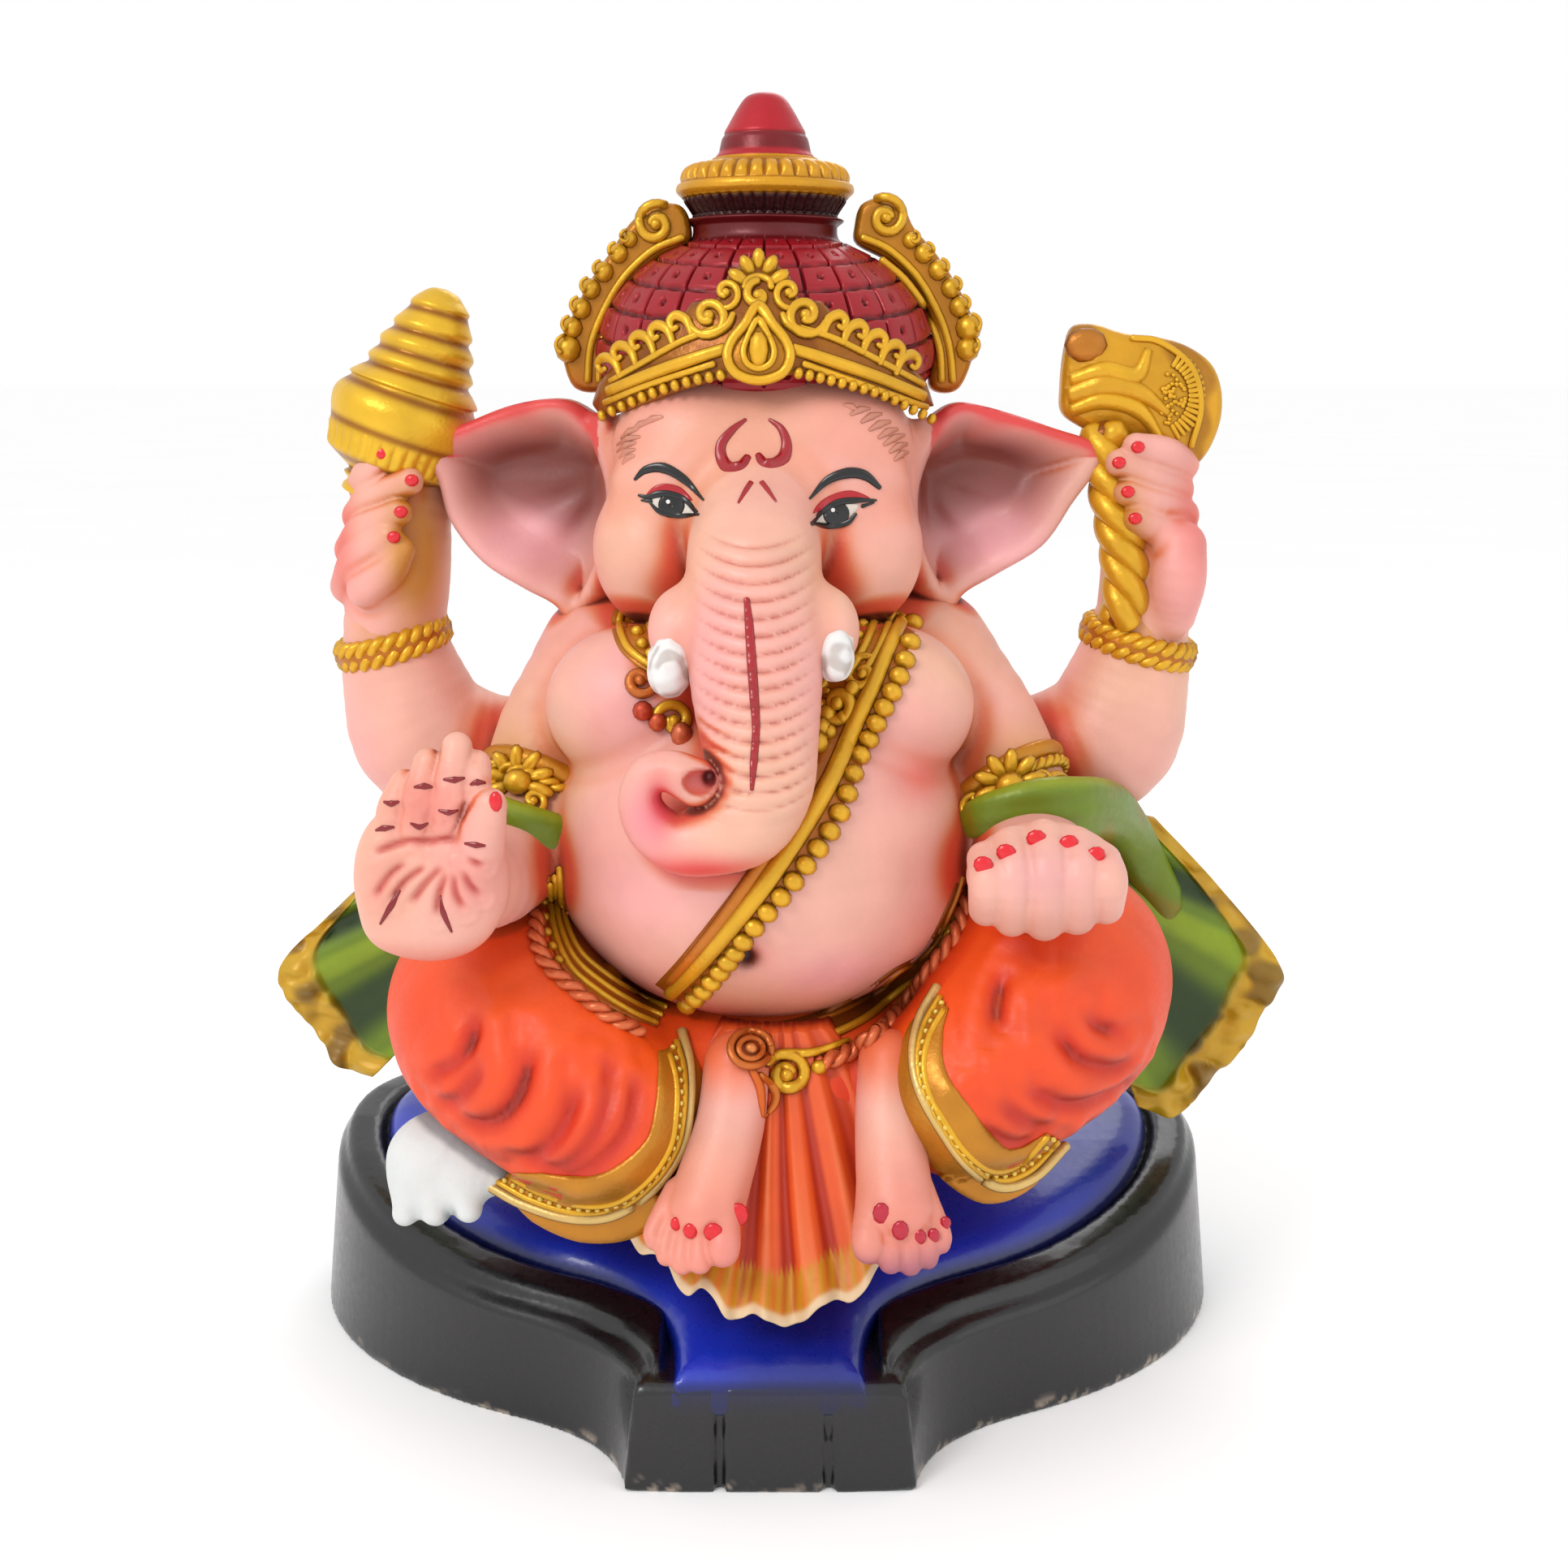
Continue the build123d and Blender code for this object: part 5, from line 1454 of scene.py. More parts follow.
# ---------------------------------------------------------------- tusks
for name, centre, radii, lean, node in (
    ("left_tusk_peg", (-19.2, -60.5, 177.4), (4.9, 8.5, 5.9), (38, 0, -12), "left_tusk"),
    ("right_tusk_peg", (14.4, -59.5, 180.6), (4.7, 8.5, 5.6), (38, 0, 10), "right_tusk"),
):
    tusk = Field((centre[0] - 11, -76, centre[2] - 14), (centre[0] + 11, -42, centre[2] + 14), 0.45)
    tusk.egg(centre, radii, 0, 0, lean)
    p, quads = tusk.mesh()
    n = vertex_normals(p, quads)
    p = p + n * (0.2 * noise(p, 3.2, 3) + 0.1 * noise(p, 1.6, 4))[:, None]
    dents = smooth(0.1, -0.6, noise(p, 3.2, 3))
    paint = mix(np.broadcast_to(srgb(240, 238, 236), p.shape), srgb(196, 184, 178), 0.7 * dents)
    make(name, p, quads, paint, WHITE_PAINT, [node])

# ---------------------------------------------------------------- crown: tiara and side frames
SHELL_PROFILE = [(224, 43.2), (232, 44.2), (240, 44.2), (248, 41.8), (256, 37.4), (262, 32.5), (268, 27.0)]


def shell_radius(z):
    """Radius at a height of the shell that the tiara is bent round."""
    return np.interp(z, [a for a, _ in SHELL_PROFILE], [b for _, b in SHELL_PROFILE])


a, z = np.meshgrid(np.linspace(-np.pi * 0.62, np.pi * 0.62, 90), np.linspace(222, 270, 60), indexing="xy")
shell = np.stack([shell_radius(z) * np.sin(a), 5 - shell_radius(z) * np.cos(a), z], -1).reshape(-1, 3)
index = np.arange(len(shell)).reshape(a.shape)
SHELL_TREE = tree(
    shell, np.stack([index[:-1, :-1], index[:-1, 1:], index[1:, 1:], index[1:, :-1]], -1).reshape(-1, 4)
)
TIARA_EDGE = [
    (-37.5, -35, 230.4), (-35.7, -35, 235.2), (-30.8, -35, 240.3), (-24.6, -35, 244.6), (-17.9, -35, 248.5),
    (-15.5, -35, 251.9), (-9.9, -35, 252.6), (-7.8, -35, 257.3), (-4.4, -35, 260.3), (-1.0, -35, 262.0),
    (2.5, -35, 260.3),
    (5.8, -35, 257.3), (7.5, -35, 252.6), (12.4, -35, 252.2), (15.6, -35, 248.8), (22.6, -35, 244.6),
    (29.6, -35, 240.7), (35.3, -35, 235.2), (37.2, -35, 229.7), (29.8, -35, 230.0), (17.4, -35, 234.1),
    (6.2, -35, 236.6), (-1.0, -35, 234.8), (-8.4, -35, 235.9), (-17.8, -35, 233.1), (-28.4, -35, 229.0),
    (-35.5, -35, 227.6),
]
edge = lay(TIARA_EDGE, [SHELL_TREE])
tiara = Field((-48, -46, 222), (48, 10, 268), 0.6)
gx, gz = np.meshgrid(tiara.axes[0], tiara.axes[2], indexing="ij")
flat_gap = polygon_distance(gx, gz, edge[:, [0, 2]])[:, None, :]
x3, y3, z3 = tiara.axes[0][:, None, None], tiara.axes[1][None, :, None], tiara.axes[2][None, None, :]
thick = np.abs(np.hypot(x3, 5 - y3) - shell_radius(z3) + 1.2) - 1.2
tiara.d[:] = np.maximum(meet(flat_gap, thick, 1.2), y3 + 2)
p, quads = tiara.mesh()
n = vertex_normals(p, quads)
paint = mix(
    np.broadcast_to(srgb(172, 112, 22), p.shape), GOLD_DEEP, 0.7 * smooth(0.1, 0.7, noise(p, 5, 41))
)
make("crown_tiara_plate", p, quads, paint, GOLD_PAINT, ["crown_tiara"], n)

# The first gold is the lit crest colour of cords and beads, the second the same gold in painted shade for
# their feet and backs.
BRIGHT = srgb(232, 184, 52)
GOLD_SHADE = srgb(128, 72, 10)
LEAF = [(-2.4, -1.6), (-1.2, 1.6), (1.0, 2.6), (2.4, 1.4), (1.9, -0.2), (0.8, 0.3)]
tiara_work = Strokes([SHELL_TREE], 0.5)
tiara_work.tube(
    [(-8.3, -38, 242.0), (-14.1, -36, 240.3), (-24.8, -34, 236.7), (-34.0, -30, 233.1)], [1.35, 1.5, 1.35],
    BRIGHT, 6, low=GOLD_SHADE
)
tiara_work.tube(
    [(6.3, -38, 242.0), (12.1, -36, 240.3), (24.5, -34, 236.2), (35.0, -30, 232.0)], [1.35, 1.5, 1.35],
    BRIGHT, 6, low=GOLD_SHADE
)
tiara_work.tube([(-10.6, -38, 238.9), (-24.8, -34, 234.5), (-35.0, -30, 230.6)], 0.8, BRIGHT, 6, low=GOLD_SHADE)
tiara_work.tube([(8.6, -38, 238.9), (22.7, -34, 234.1), (35.8, -30, 229.6)], 0.8, BRIGHT, 6, low=GOLD_SHADE)
tiara_work.tube(
    [(-9.8, -38, 246.4), (-17.6, -36, 243.7), (-26.5, -34, 239.0), (-33.6, -30, 235.2)], 0.8, BRIGHT, 6,
    low=GOLD_SHADE
)
tiara_work.tube(
    [(7.9, -38, 246.4), (15.6, -36, 244.1), (26.2, -34, 239.0), (35.0, -30, 234.5)], 0.8, BRIGHT, 6, low=GOLD_SHADE
)
tiara_work.beads(
    [(-9.2, -38, 236.5), (-15.9, -36, 235.2), (-24.9, -34, 232.4), (-35.6, -30, 227.8)], 2.55, 1.35, BRIGHT,
    0.9, low=GOLD_SHADE, aspect=0.8
)
tiara_work.beads(
    [(7.5, -38, 236.9), (15.6, -36, 235.2), (26.3, -34, 232.1), (36.9, -30, 227.1)], 2.55, 1.35, BRIGHT,
    0.9, low=GOLD_SHADE, aspect=0.8
)
for place, side in (
    ((-17.7, -36, 246.4), -1), ((-21.8, -36, 244.4), -1), ((-25.9, -36, 242.4), -1),
    ((-29.9, -35, 240.2), -1), ((-33.4, -34, 237.7), -1),
    ((15.2, -36, 246.6), 1), ((19.5, -36, 244.7), 1), ((23.7, -36, 242.7), 1), ((27.5, -35, 240.5), 1),
    ((31.0, -34, 238.3), 1),
):
    c = np.array(place)
    leaf = [c + [side * out, 0, up] for out, up in LEAF]
    tiara_work.tube(leaf, [0.7, 1.15, 1.25, 1.0, 0.75, 0.6], BRIGHT, 4, lift=0.6, low=GOLD_SHADE)
tiara_work.scroll((-11.7, -38, 248.9), 4.6, 200, 1.25, 1.15, BRIGHT, 0.6, GOLD_SHADE)
tiara_work.scroll((9.0, -38, 249.1), 4.6, -20, -1.25, 1.15, BRIGHT, 0.6, GOLD_SHADE)
tiara_work.tube(
    [(-15.4, -38, 245.4), (-13.0, -38, 245.1), (-10.0, -38, 245.6), (-7.6, -38, 247.1), (-6.4, -38, 249.4)],
    [0.6, 1.0, 1.1, 1.0, 0.7], BRIGHT, 5, lift=0.6, low=GOLD_SHADE
)
tiara_work.tube(
    [(12.6, -38, 245.6), (10.1, -38, 245.3), (7.4, -38, 246.0), (5.0, -38, 247.4), (4.0, -38, 249.4)],
    [0.6, 1.0, 1.1, 1.0, 0.7], BRIGHT, 5, lift=0.6, low=GOLD_SHADE
)
tiara_work.scroll((-8.0, -38, 253.7), 3.4, 250, 1.0, 0.9, BRIGHT, 0.6, GOLD_SHADE)
tiara_work.scroll((5.4, -38, 253.7), 3.4, -70, -1.0, 0.9, BRIGHT, 0.6, GOLD_SHADE)
tiara_work.scroll((-1.1, -38, 253.2), 3.0, 90, 0.9, 1.1, BRIGHT, 0.8, GOLD_SHADE)
for guide, turn in (
    ((-1.0, -37, 260.5), 0.0), ((-3.4, -37, 259.2), -0.5), ((-5.3, -37, 256.9), -0.95),
    ((1.4, -37, 259.2), 0.5), ((3.3, -37, 256.8), 0.95)
):
    tiara_work.bead(guide, (1.5, 1.1, 2.7), BRIGHT, 0.8, turn=turn, low=GOLD_SHADE)
tiara_work.tube(
    [(-4.0, -37, 254.7), (-3.4, -37, 256.3), (-1.1, -37, 257.1), (1.2, -37, 256.3), (1.7, -37, 254.7)], 0.8,
    BRIGHT, 6, lift=0.7, low=GOLD_SHADE
)
drop = [
    (-1.0, -40, 251.1), (2.0, -40, 247.1), (4.8, -40, 243.6), (5.7, -40, 240.1), (3.8, -40, 236.8),
    (-1.0, -40, 235.4), (-5.7, -40, 236.8), (-7.7, -40, 240.1), (-6.8, -40, 243.6), (-3.9, -40, 247.1)
]
tiara_work.patch(drop, srgb(204, 144, 34), 0.9, 1.6)
tiara_work.tube(drop + drop[:2], 1.15, BRIGHT, 5, lift=1.5, low=GOLD_SHADE, taper=False)
inner = [
    (-1.0, -40, 248.2), (1.4, -40, 244.2), (2.3, -40, 241.3), (1.4, -40, 238.9), (-1.0, -40, 237.9),
    (-3.4, -40, 238.9), (-4.3, -40, 241.3), (-3.4, -40, 244.2)
]
tiara_work.tube(inner + inner[:2], 0.75, BRIGHT, 5, lift=1.6, low=GOLD_SHADE, taper=False)
tiara_work.bead((-1.0, -40, 241.7), (2.2, 1.6, 4.2), BRIGHT, 1.4, low=GOLD_SHADE)
tiara_work.make("crown_tiara_work", GOLD_PAINT, ["crown_tiara"], "ornament_gold")

for side, name, node, edge, knobs, bands, curl, (curl_start, curl_turns) in (
    (-1, "left_crown_frame_cast", "left_crown_frame",
     [
         (-44.8, -3, 233.6), (-47.6, -3, 242.9), (-45.5, -3, 248.9), (-41.2, -3, 257.1), (-35.9, -3, 264.3),
         (-30.9, -3, 271.1), (-25.3, -3, 275.0), (-19.3, -3, 274.7), (-17.2, -3, 270.4), (-17.9, -3, 266.1),
         (-24.3, -3, 262.9), (-31.1, -3, 256.7), (-35.8, -3, 249.4), (-37.4, -3, 242.5), (-36.8, -3, 233.6)
     ],
     [
         ((-45.7, -3, 242.5), 3.3), ((-44.6, -3, 247.3), 2.6), ((-42.5, -3, 251.6), 2.6),
         ((-40.1, -3, 256.0), 2.5), ((-37.1, -3, 259.8), 2.5), ((-33.6, -3, 263.9), 2.4),
         ((-31.0, -3, 267.0), 2.0)
     ],
     [
         [
             (-41.3, -3, 235.1), (-40.4, -3, 243.4), (-37.0, -3, 251.6), (-32.2, -3, 258.9),
             (-25.6, -3, 264.7), (-18.7, -3, 267.5)
         ],
         [
             (-38.7, -3, 235.1), (-38.0, -3, 243.4), (-34.6, -3, 251.3), (-29.6, -3, 258.0),
             (-23.8, -3, 262.9)
         ]
     ],
     (-25.0, -3, 270.4), (60, 1.3)),
    (1, "right_crown_frame_cast", "right_crown_frame",
     [
         (45.6, -3, 233.6), (49.5, -3, 245.2), (47.5, -3, 251.6), (44.0, -3, 258.0), (39.1, -3, 264.7),
         (34.5, -3, 269.7), (31.9, -3, 274.3), (27.0, -3, 276.5), (22.2, -3, 275.0), (20.8, -3, 270.4),
         (21.2, -3, 266.5), (28.7, -3, 262.5), (34.7, -3, 257.1), (38.6, -3, 249.4), (39.4, -3, 242.5),
         (38.8, -3, 233.6)
     ],
     [
         ((47.0, -3, 242.5), 3.0), ((47.1, -3, 247.3), 3.3), ((44.9, -3, 252.0), 2.6),
         ((42.9, -3, 256.2), 2.5), ((39.9, -3, 260.2), 2.5), ((36.5, -3, 263.9), 2.4),
         ((33.4, -3, 266.8), 2.0)
     ],
     [
         [
             (43.7, -3, 235.1), (42.8, -3, 242.9), (40.0, -3, 250.7), (35.0, -3, 258.9), (28.6, -3, 264.7),
             (22.3, -3, 267.5)
         ],
         [(41.1, -3, 235.1), (40.4, -3, 242.9), (37.4, -3, 250.9), (32.4, -3, 257.8), (26.8, -3, 262.5)]
     ],
     (27.8, -3, 271.8), (120, -1.3)),
):
    outline = np.array(edge)[:, [0, 2]]
    low = (outline[:, 0].min() - 5, -9, outline[:, 1].min() - 5)
    high = (outline[:, 0].max() + 5, 16, outline[:, 1].max() + 5)
    plate = Field(low, high, 0.7)
    plate.plate(outline, lambda x, z, inside: 3.5 + 0 * x, lambda x, z, inside: 5.0 + 0 * x, 0, 0, 2.0)
    p, quads = plate.mesh()
    n = vertex_normals(p, quads)
    paint = mix(
        np.broadcast_to(srgb(200, 140, 34), p.shape), srgb(206, 110, 60), 0.5 * smooth(240, 230, p[:, 2])
    )
    make(name, p, quads, paint, GOLD_PAINT, [node], n)
    work = Strokes([tree(p, quads)], 0.3)
    for guide, size in knobs:
        work.bead(guide, (size * 0.95, size * 0.9, size), BRIGHT, 0.2, low=GOLD_SHADE)
        work.scroll(
            np.array(guide) + [side * 0.8, 0, 0.5], size * 0.8, 90, 0.8 * -side, 0.5, BRIGHT, 1.8, GOLD_SHADE
        )
    for band in bands:
        work.tube(band, 0.95, BRIGHT, 8, lift=0.3, low=GOLD_SHADE)
    work.scroll(curl, 4.8, curl_start, curl_turns, 1.25, BRIGHT, 0.5, GOLD_SHADE)
    work.make(name.replace("cast", "work"), GOLD_PAINT, [node], "ornament_gold")

# ---------------------------------------------------------------- necklace, sacred thread, waist ornaments
neck = Strokes([BODY_TREE], 0.4)
for line in (
    [
        (-27.9, -40, 189.0), (-31.6, -40, 184.4), (-30.6, -40, 178.9), (-27.2, -40, 175.4),
        (-22.6, -40, 172.5)
    ],
    [(-24.2, -40, 188.0), (-25.2, -40, 183.5), (-23.5, -40, 178.9), (-20.8, -40, 176.2)],
    [(-20.6, -40, 187.1), (-21.4, -40, 183.5), (-19.8, -40, 179.8)],
):
    neck.band(line, 3.6, srgb(196, 130, 40), lift=0.3)
    neck.tube(line, 0.9, BRIGHT, 8, lift=0.9, low=GOLD_SHADE)
neck.band(
    [(-26.5, -40, 188.2), (-27.9, -40, 183.5), (-26.6, -40, 178.9), (-22.6, -40, 175.2)], 9.5,
    srgb(206, 140, 44), lift=0.25
)
neck.beads(
    [(-27.2, -40, 187.1), (-28.1, -40, 182.6), (-26.4, -40, 178.0), (-22.8, -40, 174.5)], 2.9, 1.5, BRIGHT,
    1.0, low=GOLD_SHADE
)
neck.scroll((-27.4, -40, 170.6), 4.4, 80, -1.2, 1.2, srgb(214, 130, 60), 0.7, GOLD_SHADE)
neck.bead((-26.9, -40, 163.7), (2.3, 1.8, 2.3), srgb(206, 90, 60), 0.7, low=srgb(130, 40, 16))
neck.bead((-23.7, -40, 161.3), (2.1, 1.7, 2.3), srgb(214, 110, 70), 0.7, low=srgb(130, 40, 16))
neck.scroll((-20.0, -40, 161.5), 4.6, 200, -1.1, 1.3, BRIGHT, 0.7, GOLD_SHADE)
neck.bead((-18.4, -40, 158.4), (2.4, 2.0, 2.9), srgb(222, 130, 90), 0.7, low=srgb(130, 40, 16))
for line in (
    [(22.0, -40, 188.0), (19.3, -40, 184.4), (18.0, -40, 178.9), (18.3, -40, 174.3)],
    [(25.6, -40, 188.0), (23.9, -40, 182.6), (21.6, -40, 177.1), (18.5, -40, 171.6)],
    [(28.4, -40, 186.2), (26.6, -40, 180.8), (23.9, -40, 175.2), (22.1, -40, 172.5)],
):
    neck.tube(line, 1.0, BRIGHT, 8, lift=0.8, low=GOLD_SHADE)
neck.band(
    [(25.2, -40, 188.0), (22.5, -40, 181.7), (19.4, -40, 174.3), (13.9, -40, 166.0)], [12, 15, 13, 9],
    srgb(208, 144, 46), lift=0.2
)
neck.beads([(23.4, -40, 188.0), (21.6, -40, 182.6), (19.5, -40, 178.0)], 2.8, 1.5, BRIGHT, 1.0, low=GOLD_SHADE)
neck.scroll((21.7, -40, 172.0), 4.2, 60, 1.2, 1.1, BRIGHT, 0.9, GOLD_SHADE)
neck.scroll((16.2, -40, 165.5), 5.4, 120, 1.2, 1.5, BRIGHT, 0.9, GOLD_SHADE)
neck.scroll((12.6, -40, 165.1), 3.4, 60, 1.0, 1.0, BRIGHT, 0.9, GOLD_SHADE)
for guide, size in (
    ((14.0, -40, 163.0), 2.3), ((12.6, -40, 159.9), 2.4), ((11.8, -40, 156.5), 2.6),
    ((14.4, -40, 159.0), 1.8), ((19.6, -40, 168.8), 1.9), ((17.6, -40, 162.3), 1.7)
):
    neck.bead(guide, (size, size * 0.8, size), BRIGHT, 0.8, low=GOLD_SHADE)
neck.make("necklace_work", GOLD_PAINT, ["necklace"], "ornament_gold")

thread = Strokes([BODY_TREE, LAP_TREE], 0.3)
CORD = [
    (30.0, -50, 185.8), (27.0, -50, 179.4), (23.5, -55, 172.1), (19.6, -60, 164.9), (15.0, -65, 155.2),
    (10.8, -68, 147.9), (4.8, -70, 138.6), (-1.3, -70, 129.6), (-8.5, -66, 119.4), (-15.0, -60, 110.1),
    (-21.0, -52, 101.8)
]
CORD_IN = [
    (10.0, -65, 151.1), (4.8, -68, 143.4), (-1.3, -70, 135.0), (-7.4, -70, 126.0), (-13.8, -66, 116.6),
    (-20.5, -60, 107.3)
]
BEADS = [
    (32.4, -45, 184.1), (31.6, -45, 178.7), (28.9, -50, 172.2), (25.6, -55, 166.7), (22.5, -60, 161.4),
    (19.7, -64, 156.8), (17.8, -66, 151.0), (14.8, -68, 144.3), (10.1, -70, 137.7), (4.8, -70, 130.5),
    (-0.9, -70, 123.8), (-4.9, -68, 118.2), (-8.7, -62, 111.2), (-13.4, -56, 104.1), (-17.4, -50, 98.7)
]
thread.band(CORD, [7, 9, 10, 10, 9, 8], srgb(186, 116, 34), lift=0.15, crown=0.5)
thread.tube(CORD, [1.5, 1.8, 2.1, 2.2, 2.1, 1.9, 1.6], BRIGHT, 8, lift=0.9, low=GOLD_SHADE)
thread.tube(CORD_IN, [0.9, 1.4, 1.5, 1.4, 1.0], srgb(214, 140, 50), 8, lift=0.6, low=GOLD_SHADE)
thread.beads(BEADS, 4.4, 2.5, BRIGHT, 0.9, low=GOLD_SHADE, aspect=0.86)
thread.make("sacred_thread_work", GOLD_PAINT, ["sacred_thread"], "ornament_gold")

waist = Strokes([BODY_TREE, LAP_TREE], 0.3)
WAIST_L = [
    (-46.2, -50, 128.6), (-45.5, -50, 118.6), (-42.0, -52, 110.5), (-35.3, -56, 105.8), (-28.0, -60, 102.5),
    (-22.2, -62, 100.5)
]
WAIST_R = [
    (-7.5, -60, 95.9), (2.3, -60, 94.8), (12.1, -60, 97.0), (21.9, -58, 100.9), (29.7, -54, 105.9),
    (36.9, -50, 109.7), (42.1, -46, 118.9), (44.5, -42, 124.3)
]
waist.band(WAIST_L, [3, 5, 8, 9, 7, 6], srgb(190, 116, 36), lift=0.3)
for shift in (-1.8, 0.0, 1.8):
    waist.tube(np.array(WAIST_L) + [shift * 0.6, 0, shift], 0.8, BRIGHT, 8, lift=0.7, low=GOLD_SHADE)
waist.band(WAIST_R, [6, 7, 7, 6, 5, 4, 3], srgb(160, 96, 24), lift=0.3)
waist.tube(np.array(WAIST_R) + [0, 0, -2.6], 1.0, BRIGHT, 8, lift=0.8, low=GOLD_SHADE)
waist.tube(np.array(WAIST_R) + [0, 0, 1.8], 0.7, srgb(196, 130, 40), 8, lift=0.6, low=GOLD_SHADE)
waist.make("waistband_work", GOLD_PAINT, ["waistband"], "ornament_gold")

chain_work = Strokes([LAP_TREE, BODY_TREE, PLEAT_TREE, tree(*foot_l_mesh), tree(*foot_r_mesh)], 0.5)
# The second colour is the chain's gold in painted shade, for the feet of its cords.
CHAIN_TINT, CHAIN_SHADE = srgb(226, 130, 84), srgb(150, 50, 14)
CHAIN_L = [
    (-50.3, -48, 119.4), (-50.5, -50, 113.9), (-47.8, -52, 108.5), (-41.1, -56, 103.8), (-34.4, -60, 99.8),
    (-26.7, -62, 96.5)
]
CHAIN_R = [
    (12.1, -62, 89.2), (18.7, -60, 91.3), (25.8, -58, 95.7), (31.4, -54, 100.7), (37.1, -50, 106.9),
    (42.6, -48, 114.3), (44.8, -44, 120.9)
]
chain_work.rope(CHAIN_L, 1.9, 2, 7.5, CHAIN_TINT, lift=0.7, low=CHAIN_SHADE)
chain_work.rope(CHAIN_R, 2.0, 2, 8.0, CHAIN_TINT, lift=0.7, low=CHAIN_SHADE)
chain_work.beads(
    [(-48.9, -48, 122.0), (-48.2, -50, 115.9), (-45.5, -52, 109.9)], 3.0, 1.3, GOLD, 0.5, low=GOLD_SHADE
)
chain_work.tube(
    [(1.8, -62, 90.3), (4.5, -62, 91.7), (11.0, -61, 91.7), (18.6, -60, 94.2)], [0.8, 1.1, 1.0, 0.6],
    BRIGHT, 6, lift=0.8, low=GOLD_SHADE
)
chain_work.scroll((5.0, -62, 86.9), 5.2, 150, -1.35, 1.5, BRIGHT, 0.8, GOLD_SHADE)
chain_work.bead((12.1, -62, 88.6), (2.0, 1.6, 1.8), BRIGHT, 0.6, low=GOLD_SHADE)
chain_work.tube(
    [(-2.6, -62, 88.0), (-0.9, -64, 84.8), (-0.4, -66, 81.5), (-0.1, -68, 79.5)], [0.8, 1.1, 0.9, 0.4],
    srgb(220, 120, 50), 6, lift=0.6, low=CHAIN_SHADE
)
chain_work.tube(
    [(-0.9, -62, 86.9), (2.3, -64, 84.2), (2.3, -66, 81.5), (0.2, -68, 79.5)], [0.7, 1.2, 1.0, 0.4],
    srgb(226, 140, 60), 6, lift=0.6, low=CHAIN_SHADE
)
chain_work.make("belt_chain_work", GOLD_PAINT, ["belt_chain"], "ornament_gold")

clasp = Strokes([LAP_TREE, BODY_TREE, PLEAT_TREE, tree(*foot_l_mesh), tree(*foot_r_mesh)], 0.6)
at = np.array((-2.8, -64, 93.6))
turn = np.linspace(0, 2 * np.pi, 40, endpoint=False)
clasp.patch(
    at + np.column_stack([4.6 * np.cos(turn), 0 * turn, 4.2 * np.sin(turn)]), srgb(170, 84, 30), 1.2, 2.2,
    steps=0
)
for reach, size in ((4.4, 0.9), (2.6, 0.7)):
    ring = at + np.column_stack([reach * np.cos(turn), 0 * turn, reach * 0.92 * np.sin(turn)])
    clasp.tube(np.vstack([ring, ring[:2]]), size, srgb(214, 128, 60), 1, lift=2.0, low=GOLD_SHADE, taper=False)
clasp.bead(at, (1.5, 1.2, 1.4), srgb(226, 150, 90), 1.6, low=GOLD_SHADE)
clasp.make("belt_clasp_work", GOLD_PAINT, ["belt_clasp"], "ornament_gold")

# ---------------------------------------------------------------- hems round the ankles
for name, node, line, widths, dots in (
    ("left_ankle_hem", "left_ankle_border",
     [
         (-19.8, -62, 93.2), (-18.2, -64, 87.3), (-18.2, -66, 80.0), (-19.7, -68, 72.1), (-24.9, -68, 64.1),
         (-32.7, -66, 57.7), (-41.5, -62, 55.2), (-51.0, -58, 56.2), (-58.7, -54, 58.6)
     ],
     [7, 10, 11, 12, 15, 17, 16, 12, 4], -1.5),
    ("right_ankle_hem", "right_ankle_border",
     [
         (39.1, -56, 101.3), (35.5, -60, 96.2), (34.2, -62, 89.9), (35.4, -64, 83.5), (39.3, -66, 76.6),
         (44.3, -66, 69.4), (50.8, -64, 64.0), (58.0, -60, 64.2), (64.6, -56, 69.2)
     ],
     [4, 8, 10, 12, 14, 15, 14, 10, 4], 1.5),
):
    hem = Strokes([LAP_TREE], 0.35)
    hem.band(line, widths, srgb(206, 146, 44), lift=0.3, across=11, crown=0.8, thick=1.4)
    line = np.array(line, float)
    middle = line.mean(0)
    for share, size, tint in ((0.06, 0.8, BRIGHT), (-0.07, 0.8, BRIGHT), (0.16, 1.2, srgb(226, 196, 130))):
        hem.tube(line + (line - middle) * share, size, tint, 8, lift=1.0, low=GOLD_SHADE)
    hem.beads(line, 2.5, 0.75, srgb(240, 210, 110), 1.3, low=GOLD_SHADE)
    hem.make(name, GOLD_PAINT, [node], "ornament_gold")

# ---------------------------------------------------------------- conch, axe, bracelets, armlets
FOOT, ALONG = np.array([-91.5, -2.0, 207.5]), np.array([17.0, 0, 46.0])
ALONG /= np.linalg.norm(ALONG)
SIDE = np.array([ALONG[2], 0, -ALONG[0]])
CONCH = [
    (0.05, 0), (8, 0.2), (9, 1.5), (8.3, 3), (9.6, 4.4), (8.8, 5.6), (11.5, 7.4), (14.6, 9.5), (15.4, 13),
    (16.6, 17), (17.3, 19.5), (17.4, 22), (16.6, 24), (14.6, 26.5), (15.2, 27.5), (13.4, 29.5), (11.8, 31),
    (12.4, 32.6), (11.6, 34), (10.6, 35.4), (11.0, 37.4), (10.0, 39), (8.8, 40.4), (9.2, 42), (8.0, 44),
    (6.8, 46), (6.8, 47.4), (5.0, 49.4), (3.0, 51.0), (0.05, 51.6)
]
line = curve(np.array(CONCH, float), 6)
far = np.concatenate([[0], np.cumsum(np.linalg.norm(np.diff(line, axis=0), axis=1))])
a, i = np.meshgrid(np.linspace(0, 2 * np.pi, 300, endpoint=False), np.arange(len(line)), indexing="xy")
height, radius = line[i, 1], line[i, 0]
